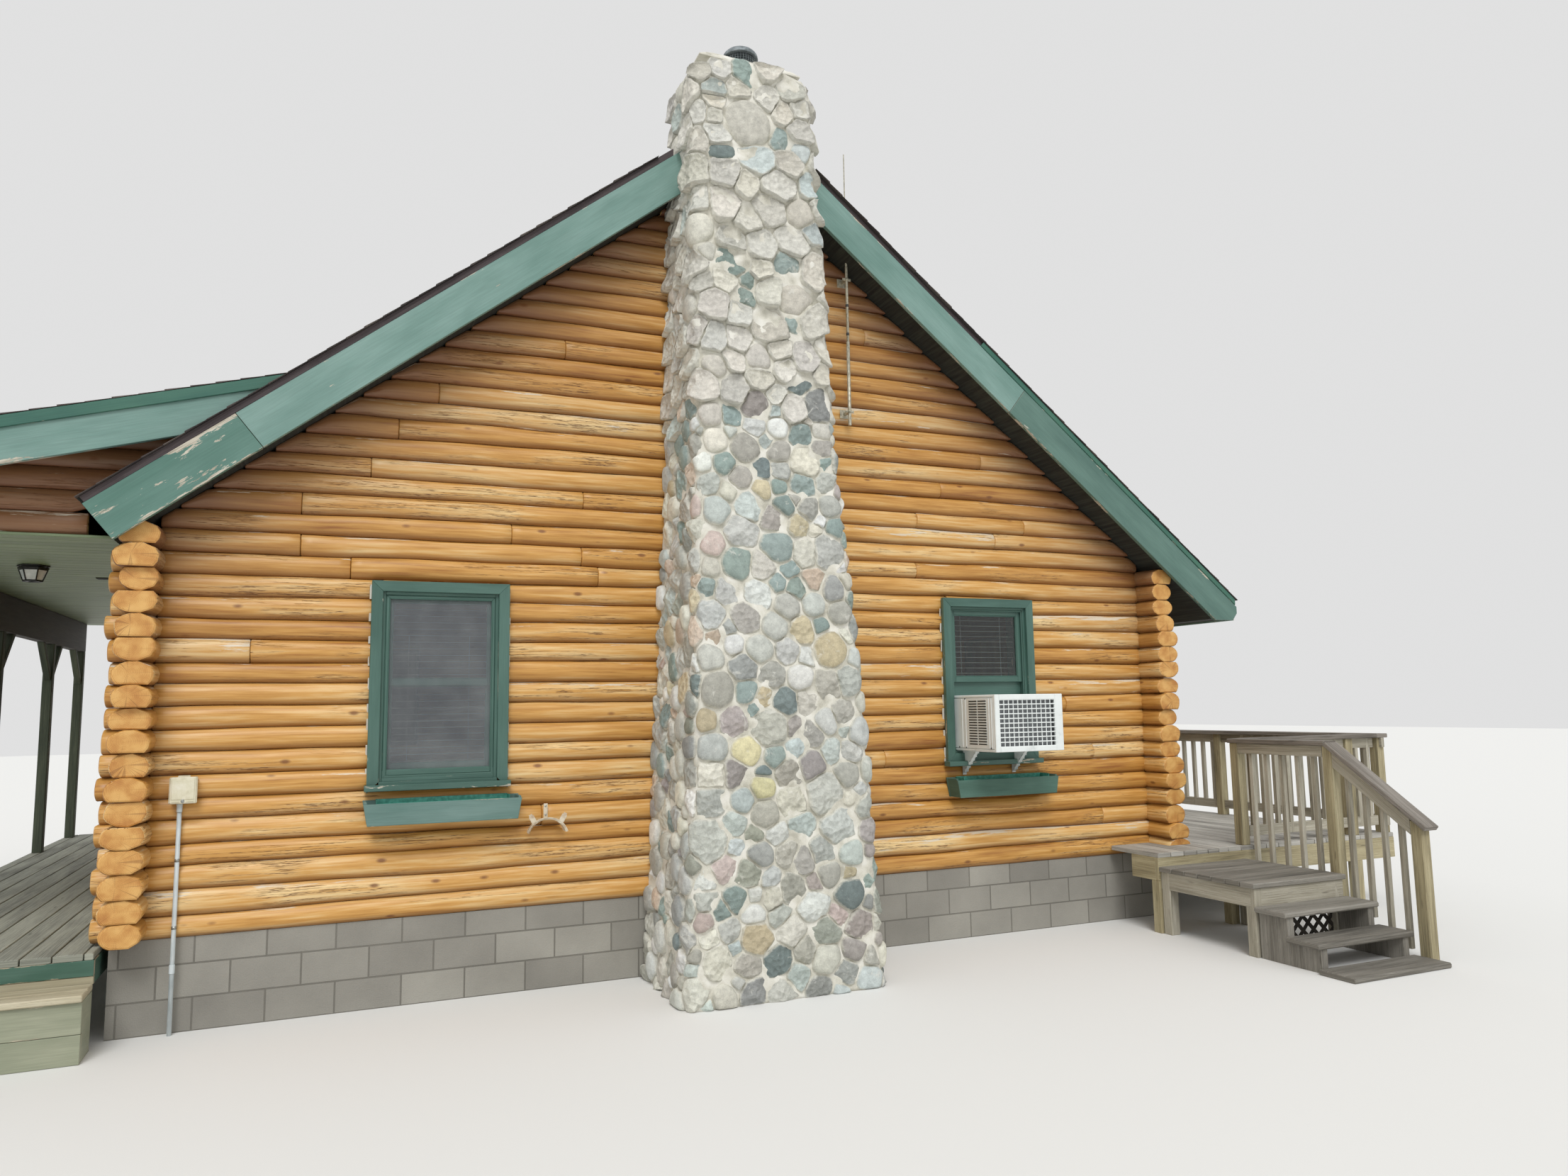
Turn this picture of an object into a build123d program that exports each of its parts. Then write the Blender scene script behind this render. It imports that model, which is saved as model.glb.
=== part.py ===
from build123d import *
import math
import os

os.makedirs("parts", exist_ok=True)

# A log cabin under a steep gable roof, with a fieldstone chimney on its front gable,
# a covered porch on the left side and an open deck with a stair on the right side.
# Millimetres. X runs along the front gable to the right, Y into the house, Z up.
# The origin is the middle of the chimney foot, on the ground.

# Log courses
course = 140.0
log_bulge = 38.0
wall_depth = 240.0
eave_courses = 18
stub_courses = 17
sill_height = 560.0
log_end_reach = 250.0
stub_reach = 100.0

# House body
house_width = 8204.0
house_length = 7320.0
ridge_x = 70.0

# Chimney: levels above the ground, with the width and the reach in front of the wall
chimney_foot_width = 1440.0
chimney_foot_depth = 1000.0
chimney_waist_height = 2100.0
chimney_waist_width = 1240.0
chimney_waist_depth = 960.0
chimney_shoulder_height = 3850.0
chimney_shoulder_width = 1090.0
chimney_shoulder_depth = 740.0
stack_above_ridge = 186.0
chimney_top_width = 950.0
chimney_top_depth = 560.0
chimney_corner_radius = 90.0
crown_thickness = 60.0
crown_inset = 60.0
flue_radius = 140.0
flue_wall = 22.0
flue_height = 190.0

gable_y = chimney_foot_depth / 2
back_y = gable_y + house_length
wall_out_left = ridge_x - house_width / 2
wall_out_right = ridge_x + house_width / 2
wall_in_left = wall_out_left + wall_depth
wall_in_right = wall_out_right - wall_depth
log_front_y = gable_y - log_end_reach
log_back_y = back_y + log_end_reach

# Roof
roof_pitch = 0.797
roof_angle = math.degrees(math.atan(roof_pitch))
soffit_at_wall = 2991.0
rake_drop = 394.0
soffit_lift = 40.0
rake_overhang = 297.0
board = 38.0
right_overhang = 672.0
left_overhang = 196.0
right_soffit_drop = 351.0
chimney_gap = 6.0
rake_gap = 95.0

soffit_apex = soffit_at_wall + roof_pitch * house_width / 2
roof_apex = soffit_apex + rake_drop - soffit_lift
eave_soffit_height = soffit_at_wall - right_soffit_drop
right_eave_reach = house_width / 2 + right_overhang
left_eave_reach = house_width / 2 + left_overhang
rake_front_y = gable_y - rake_overhang
rake_back_y = back_y + rake_overhang
chimney_top_height = roof_apex + stack_above_ridge
roof_front_y = rake_front_y + board
roof_back_y = rake_back_y - board
right_eave_x = ridge_x + right_eave_reach
left_eave_x = ridge_x - left_eave_reach
slope_thickness = (rake_drop - soffit_lift) * math.cos(math.radians(roof_angle))

# Porch
porch_pitch = 0.28
porch_roof_rise = 835.0
porch_post_reach = 1484.0
porch_eave_reach = 334.0
porch_rake_drop = 295.0
porch_slab_drop = 110.0
porch_rake_set_back = 8.0
porch_ceiling_rise = 12.0
ceiling_thickness = 20.0
porch_floor_height = 546.0
floor_board = 38.0
porch_floor_reach = 62.0
porch_front_reach = 140.0
post_size = 89.0
porch_post_count = 5
porch_last_bay = 1442.0
porch_back_set = 290.0
porch_beam_depth = 329.0
porch_beam_width = 89.0
brace_reach = 380.0
brace_size = 60.0
infill_set_back = 60.0
infill_depth = 60.0
rim_height = 140.0
step_rise = 170.0
step_depth = 290.0
step_nosing = 25.0
light_reach = 784.0
light_set_back = 1540.0
light_width = 200.0
light_height = 120.0

porch_top_at_wall = soffit_at_wall + porch_roof_rise
porch_ceiling_height = soffit_at_wall + porch_ceiling_rise
porch_beam_foot = porch_ceiling_height - porch_beam_depth
porch_post_x = wall_out_left - porch_post_reach
porch_eave_x = porch_post_x - porch_eave_reach
light_x = wall_out_left - light_reach
light_y = gable_y + light_set_back

# Deck and stair
deck_height = 644.0
deck_width = 2156.0
deck_left_overlap = 672.0
deck_middle_post_set = 475.0
deck_front_reach = 574.0
deck_length = 5300.0
deck_rim = 184.0
deck_wall_gap = 0.3
corner_gap = 8.0
rail_height = 914.0
cap_width = 140.0
cap_thickness = 38.0
sub_rail = 89.0
baluster = 38.0
baluster_gap = 105.0
stair_width = 966.0
landing_height = 536.0
landing_front_reach = 1554.0
tread_count = 3
tread_run = 266.0
tread_depth = 286.0
mid_post_reach = 1456.0
bottom_post_reach = 2160.0
rail_drop = 525.0
stringer_depth = 60.0
lattice_strip = 32.0
lattice_pitch = 110.0
lattice_thickness = 8.0

deck_right_x = wall_out_right + deck_width
deck_left_x = wall_out_right - deck_left_overlap
stair_left_x = deck_left_x
stair_right_x = stair_left_x + stair_width
deck_front_y = gable_y - deck_front_reach
deck_back_y = gable_y + deck_length
landing_front_y = gable_y - landing_front_reach
tread_rise = (landing_height - floor_board) / tread_count

# Windows
window_width = 762.0
window_height = 1219.0
casing_width = 70.0
casing_thickness = 40.0
jamb = 22.0
left_window_set = 2206.0
right_window_set = 2230.0
window_middle = 2104.0
sill_reach = 45.0
sash_rail = 45.0
sash_thickness = 32.0
glass_thickness = 5.0
sash_clearance = 0.5
eave_window_share = 0.587
door_width = 915.0
door_height = 2030.0
door_thickness = 45.0
porch_door_share = 0.41
deck_door_share = 0.328
house_floor_thickness = 38.0

left_window_x = ridge_x - left_window_set
right_window_x = ridge_x + right_window_set
eave_window_y = gable_y + eave_window_share * house_length
porch_door_y = gable_y + porch_door_share * house_length
deck_door_y = gable_y + deck_door_share * house_length
sill_board = 40.0
sill_under = window_middle - window_height / 2 - casing_width - 0.8 * sill_board

# Small fittings
ac_width = 650.0
ac_height = 450.0
ac_reach = 585.0
ac_inside = 180.0
ac_side_gap = 5.0
ac_foot_gap = 1.5
bracket_reach = 420.0
bracket_drop = 200.0
bracket_plate = 35.0
ac_corner = 14.0
grille_cells_across = 12
grille_cells_up = 10
box_top_width = 1000.0
box_foot_width = 945.0
box_height = 155.0
box_reach = 180.0
box_wall = 19.0
left_box_shift = 28.0
right_box_shift = 40.0
left_box_gap = 57.0
right_box_gap = 92.0
meter_inset = 402.0
meter_foot = 1372.0
meter_width = 152.0
meter_height = 158.0
meter_depth = 72.0
conduit_radius = 13.0
hanger_x = -1420.0
hanger_foot = 1035.0
hanger_radius = 140.0
hanger_depth = 110.0
mast_x = 990.0
mast_length = 1350.0
mast_clearance = 17.0
mast_radius = 14.0
mast_reach = 90.0
whip_radius = 6.0
whip_above_roof = 600.0
bracket_set = 115.0

ac_left_x = right_window_x - window_width / 2 + jamb + ac_side_gap
ac_foot = window_middle - window_height / 2 + jamb + ac_foot_gap
left_box_x = left_window_x + left_box_shift
right_box_x = right_window_x + right_box_shift
left_box_foot = sill_under - left_box_gap - box_height
right_box_foot = sill_under - right_box_gap - box_height
meter_x = wall_out_left + meter_inset


def write(part, name):
    part.label = name
    export_step(part, f"parts/{name}.step")
    print(name, round(part.volume / 1e9, 4), "cubic metres")


def group(parts):
    solids = []
    for p in parts:
        solids.extend(p.solids())
    return Part(solids)


def roof_line(x, apex):
    return apex - roof_pitch * abs(x - ridge_x)


def porch_line(x):
    return porch_top_at_wall + porch_pitch * (x - wall_out_left)


def log_profile(outer, inner, foot, courses):
    # Upright section of a log wall: every course bulges out between its two flat seams.
    toward = 1 if inner > outer else -1
    seam_out = outer + toward * log_bulge
    seam_in = inner - toward * log_bulge
    top = foot + courses * course
    with BuildLine() as outline:
        for n in range(courses):
            z = foot + n * course
            ThreePointArc((seam_out, z), (outer, z + course / 2), (seam_out, z + course))
            ThreePointArc((seam_in, z), (inner, z + course / 2), (seam_in, z + course))
        Line((seam_out, foot), (seam_in, foot))
        Line((seam_out, top), (seam_in, top))
    make_face(outline.edges())


def under_roof(lowest):
    # The house section below the roof boards, as a closed outline.
    with BuildLine() as outline:
        Polyline((wall_out_left - stub_reach, lowest), (wall_out_right + stub_reach, lowest),
                 (wall_out_right + stub_reach, roof_line(wall_out_right + stub_reach, soffit_apex)),
                 (ridge_x, soffit_apex),
                 (wall_out_left - stub_reach, roof_line(wall_out_left - stub_reach, soffit_apex)),
                 close=True)
    make_face(outline.edges())


# Foundation under the log walls
foundation_inset = 40.0
foundation_thickness = 300.0
with BuildPart() as foundation:
    with BuildSketch():
        with Locations((ridge_x, (gable_y + back_y) / 2)):
            Rectangle(house_width - 2 * foundation_inset, house_length - 2 * foundation_inset)
            Rectangle(house_width - 2 * (foundation_inset + foundation_thickness),
                      house_length - 2 * (foundation_inset + foundation_thickness),
                      mode=Mode.SUBTRACT)
    extrude(amount=sill_height)
write(foundation.part, "foundation")

# House floor, laid on the inner ledge of the foundation
with BuildPart() as house_floor:
    with BuildSketch(Plane.XY.offset(sill_height)):
        with Locations((ridge_x, (gable_y + back_y) / 2)):
            Rectangle(house_width - 2 * wall_depth - 4, house_length - 2 * wall_depth - 4)
    extrude(amount=house_floor_thickness)
write(house_floor.part, "house_floor")


def eave_wall(outer, inner, door_y):
    # A long wall: its logs run past both gables, and short stubs cross them at each corner.
    toward = 1 if inner > outer else -1
    with BuildPart() as wall:
        with BuildSketch(Plane.XZ.offset(-log_back_y)):
            log_profile(outer, inner, sill_height, eave_courses)
        extrude(amount=log_back_y - log_front_y)
        for near, far in ((gable_y, gable_y + wall_depth), (back_y - wall_depth, back_y)):
            with BuildSketch(Plane.YZ.offset(outer - toward * stub_reach)):
                log_profile(near, far, sill_height, stub_courses)
            extrude(amount=toward * (stub_reach + wall_depth / 2))
        with BuildSketch(Plane.XZ.offset(-log_back_y)):
            under_roof(sill_height)
        extrude(amount=log_back_y - log_front_y, mode=Mode.INTERSECT)
        with BuildSketch(Plane.YZ.offset(min(outer, inner) - stub_reach)):
            with Locations((door_y, sill_height + house_floor_thickness + door_height / 2)):
                Rectangle(door_width, door_height)
            with Locations((eave_window_y, window_middle)):
                Rectangle(window_width, window_height)
        extrude(amount=wall_depth + 2 * stub_reach, mode=Mode.SUBTRACT)
    return wall.part


porch_side_wall = eave_wall(wall_out_left, wall_in_left, porch_door_y)
write(porch_side_wall, "porch_side_wall")
deck_side_wall = eave_wall(wall_out_right, wall_in_right, deck_door_y)
write(deck_side_wall, "deck_side_wall")

gable_courses = math.ceil((soffit_apex - sill_height) / course)
gable_left_x = wall_in_left - log_bulge
gable_right_x = wall_in_right + log_bulge


def gable_wall(outer, inner):
    # A gable wall: its logs are coped to the round inner face of the long walls.
    with BuildPart() as wall:
        with BuildSketch(Plane.YZ.offset(gable_left_x)):
            log_profile(outer, inner, sill_height, gable_courses)
        extrude(amount=gable_right_x - gable_left_x)
        with BuildSketch(Plane.XZ.offset(-log_back_y)):
            under_roof(sill_height)
        extrude(amount=log_back_y - log_front_y, mode=Mode.INTERSECT)
        with BuildSketch(Plane.XZ.offset(-log_back_y)):
            with Locations((left_window_x, window_middle), (right_window_x, window_middle)):
                Rectangle(window_width, window_height)
        extrude(amount=log_back_y - log_front_y, mode=Mode.SUBTRACT)
        add(porch_side_wall, mode=Mode.SUBTRACT)
        add(deck_side_wall, mode=Mode.SUBTRACT)
    return wall.part


front_gable_wall = gable_wall(gable_y, gable_y + wall_depth)
write(front_gable_wall, "front_gable_wall")
back_gable_wall = gable_wall(back_y, back_y - wall_depth)
write(back_gable_wall, "back_gable_wall")


# Chimney: one tapering mass of masonry, flat against the wall
with BuildPart() as chimney:
    with BuildSketch(Plane.XY):
        with Locations((0, gable_y - chimney_foot_depth / 2)):
            Rectangle(chimney_foot_width, chimney_foot_depth)
        fillet(vertices().group_by(Axis.Y)[0], chimney_corner_radius)
    with BuildSketch(Plane.XY.offset(chimney_waist_height)):
        with Locations((0, gable_y - chimney_waist_depth / 2)):
            Rectangle(chimney_waist_width, chimney_waist_depth)
        fillet(vertices().group_by(Axis.Y)[0], chimney_corner_radius)
    with BuildSketch(Plane.XY.offset(chimney_shoulder_height)):
        with Locations((0, gable_y - chimney_shoulder_depth / 2)):
            Rectangle(chimney_shoulder_width, chimney_shoulder_depth)
        fillet(vertices().group_by(Axis.Y)[0], chimney_corner_radius)
    with BuildSketch(Plane.XY.offset(chimney_top_height)):
        with Locations((0, gable_y - chimney_top_depth / 2)):
            Rectangle(chimney_top_width, chimney_top_depth)
        fillet(vertices().group_by(Axis.Y)[0], chimney_corner_radius)
    loft(ruled=True)
write(chimney.part, "chimney")

chimney_top_y = gable_y - chimney_top_depth / 2
with BuildPart() as chimney_crown:
    with BuildSketch(Plane.XY.offset(chimney_top_height)):
        with Locations((0, chimney_top_y)):
            Rectangle(chimney_top_width - 2 * crown_inset, chimney_top_depth - 2 * crown_inset)
    extrude(amount=crown_thickness, taper=20)
    with BuildSketch(Plane.XY.offset(chimney_top_height + crown_thickness)):
        with Locations((0, chimney_top_y)):
            Circle(flue_radius - flue_wall)
    extrude(amount=-crown_thickness, mode=Mode.SUBTRACT)
    with BuildSketch(Plane.XY.offset(chimney_top_height + crown_thickness)):
        with Locations((0, chimney_top_y)):
            Circle(flue_radius)
            Circle(flue_radius - flue_wall, mode=Mode.SUBTRACT)
    extrude(amount=flue_height)
write(chimney_crown.part, "chimney_crown")


# Main roof: two boarded slopes, notched round the chimney
def chimney_notch():
    # The space that the roof leaves for the stack where it passes the overhang.
    with BuildSketch(Plane.XZ.offset(-gable_y)) as space:
        with Locations((0, (roof_apex + eave_soffit_height) / 2)):
            Rectangle(chimney_shoulder_width + 2 * chimney_gap, roof_apex)
    extrude(space.sketch, amount=rake_overhang + 10, mode=Mode.SUBTRACT)


mast_y = gable_y - mast_reach
mast_top = roof_line(mast_x, soffit_apex) - mast_clearance
mast_foot = mast_top - mast_length
whip_top = roof_line(mast_x, roof_apex) + whip_above_roof


def log_crest(height):
    return sill_height + (math.floor((height - sill_height) / course) + 0.5) * course


with BuildPart() as right_roof_slope:
    with BuildSketch(Plane.XZ.offset(-roof_back_y)):
        with BuildLine():
            tail_x = right_eave_x - board
            box_x = ridge_x + (soffit_apex - eave_soffit_height) / roof_pitch
            Polyline((ridge_x, soffit_apex), (box_x, eave_soffit_height),
                     (tail_x, eave_soffit_height), (tail_x, roof_line(tail_x, roof_apex)),
                     (ridge_x, roof_apex), close=True)
        make_face()
    extrude(amount=roof_back_y - roof_front_y)
    chimney_notch()
    with BuildSketch(Plane.XY.offset(mast_foot)):
        with Locations((mast_x, mast_y)):
            Circle(whip_radius + 2)
    extrude(amount=whip_top - mast_foot, mode=Mode.SUBTRACT)
write(right_roof_slope.part, "right_roof_slope")

square_cut = slope_thickness * math.sin(math.radians(roof_angle))
with BuildPart() as left_roof_slope:
    with BuildSketch(Plane.XZ.offset(-roof_back_y)):
        with BuildLine():
            foot_x = left_eave_x + square_cut
            Polyline((ridge_x, soffit_apex), (foot_x, roof_line(foot_x, soffit_apex)),
                     (left_eave_x, roof_line(left_eave_x, roof_apex)),
                     (ridge_x, roof_apex), close=True)
        make_face()
    extrude(amount=roof_back_y - roof_front_y)
    chimney_notch()
write(left_roof_slope.part, "left_roof_slope")

rake_foot_apex = roof_apex - rake_drop
rake_plumb_foot = roof_line(right_eave_x, roof_apex) - 185.0


def rake_outline(side, start, reach):
    # Outline of a rake board on one side of the ridge, from start to reach, square at its end.
    cut = rake_drop * math.cos(math.radians(roof_angle)) * math.sin(math.radians(roof_angle))
    with BuildLine() as outline:
        Polyline((ridge_x + side * start, roof_apex - roof_pitch * start),
                 (ridge_x + side * reach, roof_apex - roof_pitch * reach),
                 (ridge_x + side * (reach - cut), rake_foot_apex - roof_pitch * (reach - cut)),
                 (ridge_x + side * max(start - cut, 0),
                  rake_foot_apex - roof_pitch * max(start - cut, 0)), close=True)
    make_face(outline.edges())


def right_rake_outline():
    # The right board ends in a plumb cut over a level cut.
    plumb_x = right_eave_x
    level_x = ridge_x + (rake_foot_apex - rake_plumb_foot) / roof_pitch
    with BuildLine() as outline:
        Polyline((ridge_x, roof_apex), (plumb_x, roof_line(plumb_x, roof_apex)),
                 (plumb_x, rake_plumb_foot), (level_x, rake_plumb_foot),
                 (ridge_x, rake_foot_apex), close=True)
    make_face(outline.edges())


def notch_board(front):
    # The space that a rake board leaves for the stack and its rough stones.
    with BuildSketch(Plane.XZ.offset(-front - board - 5)) as space:
        with Locations((0, roof_apex)):
            Rectangle(chimney_top_width + 2 * rake_gap, 8 * rake_drop)
    extrude(space.sketch, amount=board + 10, mode=Mode.SUBTRACT)


with BuildPart() as front_rakes:
    with BuildSketch(Plane.XZ.offset(-rake_front_y - board)):
        rake_outline(-1, 0, left_eave_reach)
        right_rake_outline()
    extrude(amount=board)
    notch_board(rake_front_y)
write(front_rakes.part, "front_rakes")

with BuildPart() as back_rake:
    with BuildSketch(Plane.XZ.offset(-rake_back_y)):
        right_rake_outline()
        rake_outline(-1, 0, left_eave_reach)
    extrude(amount=board)
write(back_rake.part, "back_rake")

with BuildPart() as right_eave_fascia:
    with BuildSketch(Plane.XY.offset(rake_plumb_foot)):
        with Locations((right_eave_x - board / 2, (roof_front_y + roof_back_y) / 2)):
            Rectangle(board, roof_back_y - roof_front_y)
    extrude(amount=roof_line(right_eave_x, roof_apex) - rake_plumb_foot)
write(right_eave_fascia.part, "right_eave_fascia")

# Porch roof: a low slope that springs from the main roof
join_x = (roof_apex - roof_pitch * ridge_x - porch_top_at_wall + porch_pitch * wall_out_left)
join_x = join_x / (porch_pitch - roof_pitch)
porch_front_y = roof_front_y + porch_rake_set_back
porch_back_y = roof_back_y - porch_rake_set_back - board
with BuildPart() as porch_roof:
    with BuildSketch(Plane.XZ.offset(-porch_back_y)):
        with BuildLine():
            Polyline((join_x, porch_line(join_x)), (porch_eave_x + board, porch_line(porch_eave_x + board)),
                     (porch_eave_x + board, porch_line(porch_eave_x + board) - porch_slab_drop),
                     (wall_out_left - 400, porch_line(wall_out_left - 400) - porch_slab_drop),
                     (join_x, porch_line(join_x) - porch_slab_drop), close=True)
        make_face()
    extrude(amount=porch_back_y - porch_front_y - board)
    add(left_roof_slope.part, mode=Mode.SUBTRACT)
porch_roof_part = porch_roof.part.solids().sort_by(SortBy.VOLUME)[-1]
write(Part([porch_roof_part]), "porch_roof")


def porch_rake(y):
    with BuildPart() as rake:
        with BuildSketch(Plane.XZ.offset(-y - board)):
            with BuildLine():
                Polyline((join_x, porch_line(join_x)), (porch_eave_x, porch_line(porch_eave_x)),
                         (porch_eave_x, porch_line(porch_eave_x) - porch_rake_drop),
                         (join_x, porch_line(join_x) - porch_rake_drop), close=True)
            make_face()
        extrude(amount=board)
        add(left_roof_slope.part, mode=Mode.SUBTRACT)
        add(porch_side_wall, mode=Mode.SUBTRACT)
    return Part([rake.part.solids().sort_by(SortBy.VOLUME)[-1]])


write(group([porch_rake(porch_front_y), porch_rake(porch_back_y)]), "porch_rakes")

eave_fascia_height = porch_rake_drop
with BuildPart() as porch_eave_fascia:
    with BuildSketch(Plane.XY.offset(porch_line(porch_eave_x) - eave_fascia_height)):
        with Locations((porch_eave_x + board / 2, (porch_front_y + board + porch_back_y) / 2)):
            Rectangle(board, porch_back_y - porch_front_y - board)
    extrude(amount=eave_fascia_height)
write(porch_eave_fascia.part, "porch_eave_fascia")

# Porch ceiling and the log siding that closes each end of the roof space above it
ceiling_left = porch_eave_x + board
valley_x = join_x + porch_slab_drop / (porch_pitch - roof_pitch)
infill_front_y = gable_y + infill_set_back
infill_back_y = back_y - infill_set_back
with BuildPart() as porch_ceiling:
    with BuildSketch(Plane.XY.offset(porch_ceiling_height)):
        with Locations(((ceiling_left + wall_out_left) / 2, (infill_front_y + infill_back_y) / 2)):
            Rectangle(wall_out_left - ceiling_left, infill_back_y - infill_front_y)
    extrude(amount=ceiling_thickness)
    add(left_roof_slope.part, mode=Mode.SUBTRACT)
write(porch_ceiling.part, "porch_ceiling")


def porch_infill(face, toward):
    foot = porch_ceiling_height + ceiling_thickness
    rows = 8
    with BuildPart() as infill:
        with BuildSketch(Plane.YZ.offset(ceiling_left)):
            with BuildLine():
                for n in range(rows):
                    z = foot + n * course
                    ThreePointArc((face + toward * 25, z), (face, z + course / 2),
                                  (face + toward * 25, z + course))
                Polyline((face + toward * 25, foot), (face + toward * infill_depth, foot),
                         (face + toward * infill_depth, foot + rows * course),
                         (face + toward * 25, foot + rows * course))
            make_face()
        extrude(amount=valley_x - ceiling_left)
        with BuildSketch(Plane.XZ.offset(-log_back_y)):
            with BuildLine():
                Polyline((ceiling_left, foot), (wall_out_left, foot),
                         (wall_out_left, roof_line(wall_out_left, roof_apex)),
                         (valley_x, porch_line(valley_x) - porch_slab_drop),
                         (ceiling_left, porch_line(ceiling_left) - porch_slab_drop), close=True)
            make_face()
        extrude(amount=log_back_y - log_front_y, mode=Mode.INTERSECT)
        add(left_roof_slope.part, mode=Mode.SUBTRACT)
        add(porch_side_wall, mode=Mode.SUBTRACT)
    return Part([infill.part.solids().sort_by(SortBy.VOLUME)[-1]])


write(group([porch_infill(infill_front_y, 1), porch_infill(infill_back_y, -1)]), "porch_end_infill")

# Porch beam, posts with braces, floor and step
porch_floor_front = gable_y - porch_front_reach
first_post_y = gable_y - 40
last_post_y = back_y - porch_back_set
porch_bay = (last_post_y - porch_last_bay - first_post_y) / (porch_post_count - 2)
post_ys = [first_post_y + n * porch_bay for n in range(porch_post_count - 1)]
post_ys.append(last_post_y)
beam_start = post_ys[0] - post_size / 2
beam_end = post_ys[-1] + post_size / 2
with BuildPart() as porch_beam:
    with BuildSketch(Plane.XY.offset(porch_beam_foot)):
        with Locations((porch_post_x, (beam_start + beam_end) / 2)):
            Rectangle(porch_beam_width, beam_end - beam_start)
    extrude(amount=porch_ceiling_height - porch_beam_foot)
write(porch_beam.part, "porch_beam")

with BuildPart() as porch_posts:
    with BuildSketch(Plane.XY.offset(porch_floor_height)):
        with Locations(*[(porch_post_x, y) for y in post_ys]):
            Rectangle(post_size, post_size)
    extrude(amount=porch_beam_foot - porch_floor_height)
    with BuildSketch(Plane.YZ.offset(porch_post_x - brace_size / 2)):
        for y in post_ys:
            for side in (-1, 1):
                if side < 0 and y == post_ys[0]:
                    continue
                if side > 0 and y == post_ys[-1]:
                    continue
                edge = y + side * post_size / 2
                with BuildLine():
                    Polyline((edge, porch_beam_foot - brace_reach),
                             (edge + side * brace_reach, porch_beam_foot),
                             (edge + side * (brace_reach - brace_size * 1.4), porch_beam_foot),
                             (edge, porch_beam_foot - brace_reach + brace_size * 1.4), close=True)
                make_face()
    extrude(amount=brace_size)
write(porch_posts.part, "porch_posts")

porch_floor_left = porch_post_x - porch_floor_reach
with BuildPart() as porch_floor:
    with BuildSketch(Plane.XY.offset(porch_floor_height - floor_board)):
        with Locations(((porch_floor_left + wall_out_left) / 2, (porch_floor_front + back_y) / 2)):
            Rectangle(wall_out_left - porch_floor_left, back_y - porch_floor_front)
    extrude(amount=floor_board)
write(porch_floor.part, "porch_floor")

porch_frame_top = porch_floor_height - floor_board
porch_joist_bays = 7
with BuildPart() as porch_frame:
    with BuildSketch(Plane.XY.offset(porch_frame_top - rim_height)):
        with Locations(((porch_floor_left + wall_out_left) / 2, (porch_floor_front + back_y) / 2)):
            Rectangle(wall_out_left - porch_floor_left, back_y - porch_floor_front)
            Rectangle(wall_out_left - porch_floor_left - 2 * board,
                      back_y - porch_floor_front - 2 * board, mode=Mode.SUBTRACT)
        porch_joist_step = (back_y - porch_floor_front) / porch_joist_bays
        with Locations(*[((porch_floor_left + wall_out_left) / 2, porch_floor_front + n * porch_joist_step)
                         for n in range(1, porch_joist_bays)]):
            Rectangle(wall_out_left - porch_floor_left - 2, board)
    extrude(amount=rim_height)
write(porch_frame.part, "porch_frame")

step_top = porch_floor_height - step_rise
with BuildPart() as porch_step:
    with BuildSketch(Plane.YZ.offset(porch_floor_left)):
        with BuildLine():
            Polyline((porch_floor_front, 0), (porch_floor_front, step_top),
                     (porch_floor_front - step_depth, step_top),
                     (porch_floor_front - step_depth, step_top - board),
                     (porch_floor_front - step_depth + step_nosing, step_top - board),
                     (porch_floor_front - step_depth + step_nosing, 0), close=True)
        make_face()
    extrude(amount=wall_out_left - porch_floor_left)
write(porch_step.part, "porch_step")

with BuildPart() as porch_light:
    with BuildSketch(Plane.XY.offset(porch_ceiling_height)):
        with Locations((light_x, light_y)):
            RegularPolygon(light_width / 2, 6)
    extrude(amount=-25)
    with BuildSketch(Plane.XY.offset(porch_ceiling_height - 25)):
        with Locations((light_x, light_y)):
            RegularPolygon(light_width / 2 - 8, 6)
    extrude(amount=-(light_height - 25), taper=18)
write(porch_light.part, "porch_light")

# Deck beside the house, with its corner in front of the gable
with BuildPart() as deck_floor:
    with BuildSketch(Plane.XY.offset(deck_height - floor_board)):
        side = wall_out_right + deck_wall_gap
        column = wall_in_right - corner_gap
        stub = wall_out_right + stub_reach + corner_gap
        with BuildLine():
            Polyline((deck_left_x, deck_front_y), (deck_right_x, deck_front_y),
                     (deck_right_x, deck_back_y), (side, deck_back_y),
                     (side, gable_y + wall_depth + corner_gap),
                     (stub, gable_y + wall_depth + corner_gap),
                     (stub, gable_y - corner_gap), (side, gable_y - corner_gap),
                     (side, log_front_y - corner_gap), (column, log_front_y - corner_gap),
                     (column, gable_y - corner_gap), (deck_left_x, gable_y - corner_gap),
                     close=True)
        make_face()
    extrude(amount=floor_board)
write(deck_floor.part, "deck_floor")

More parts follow.
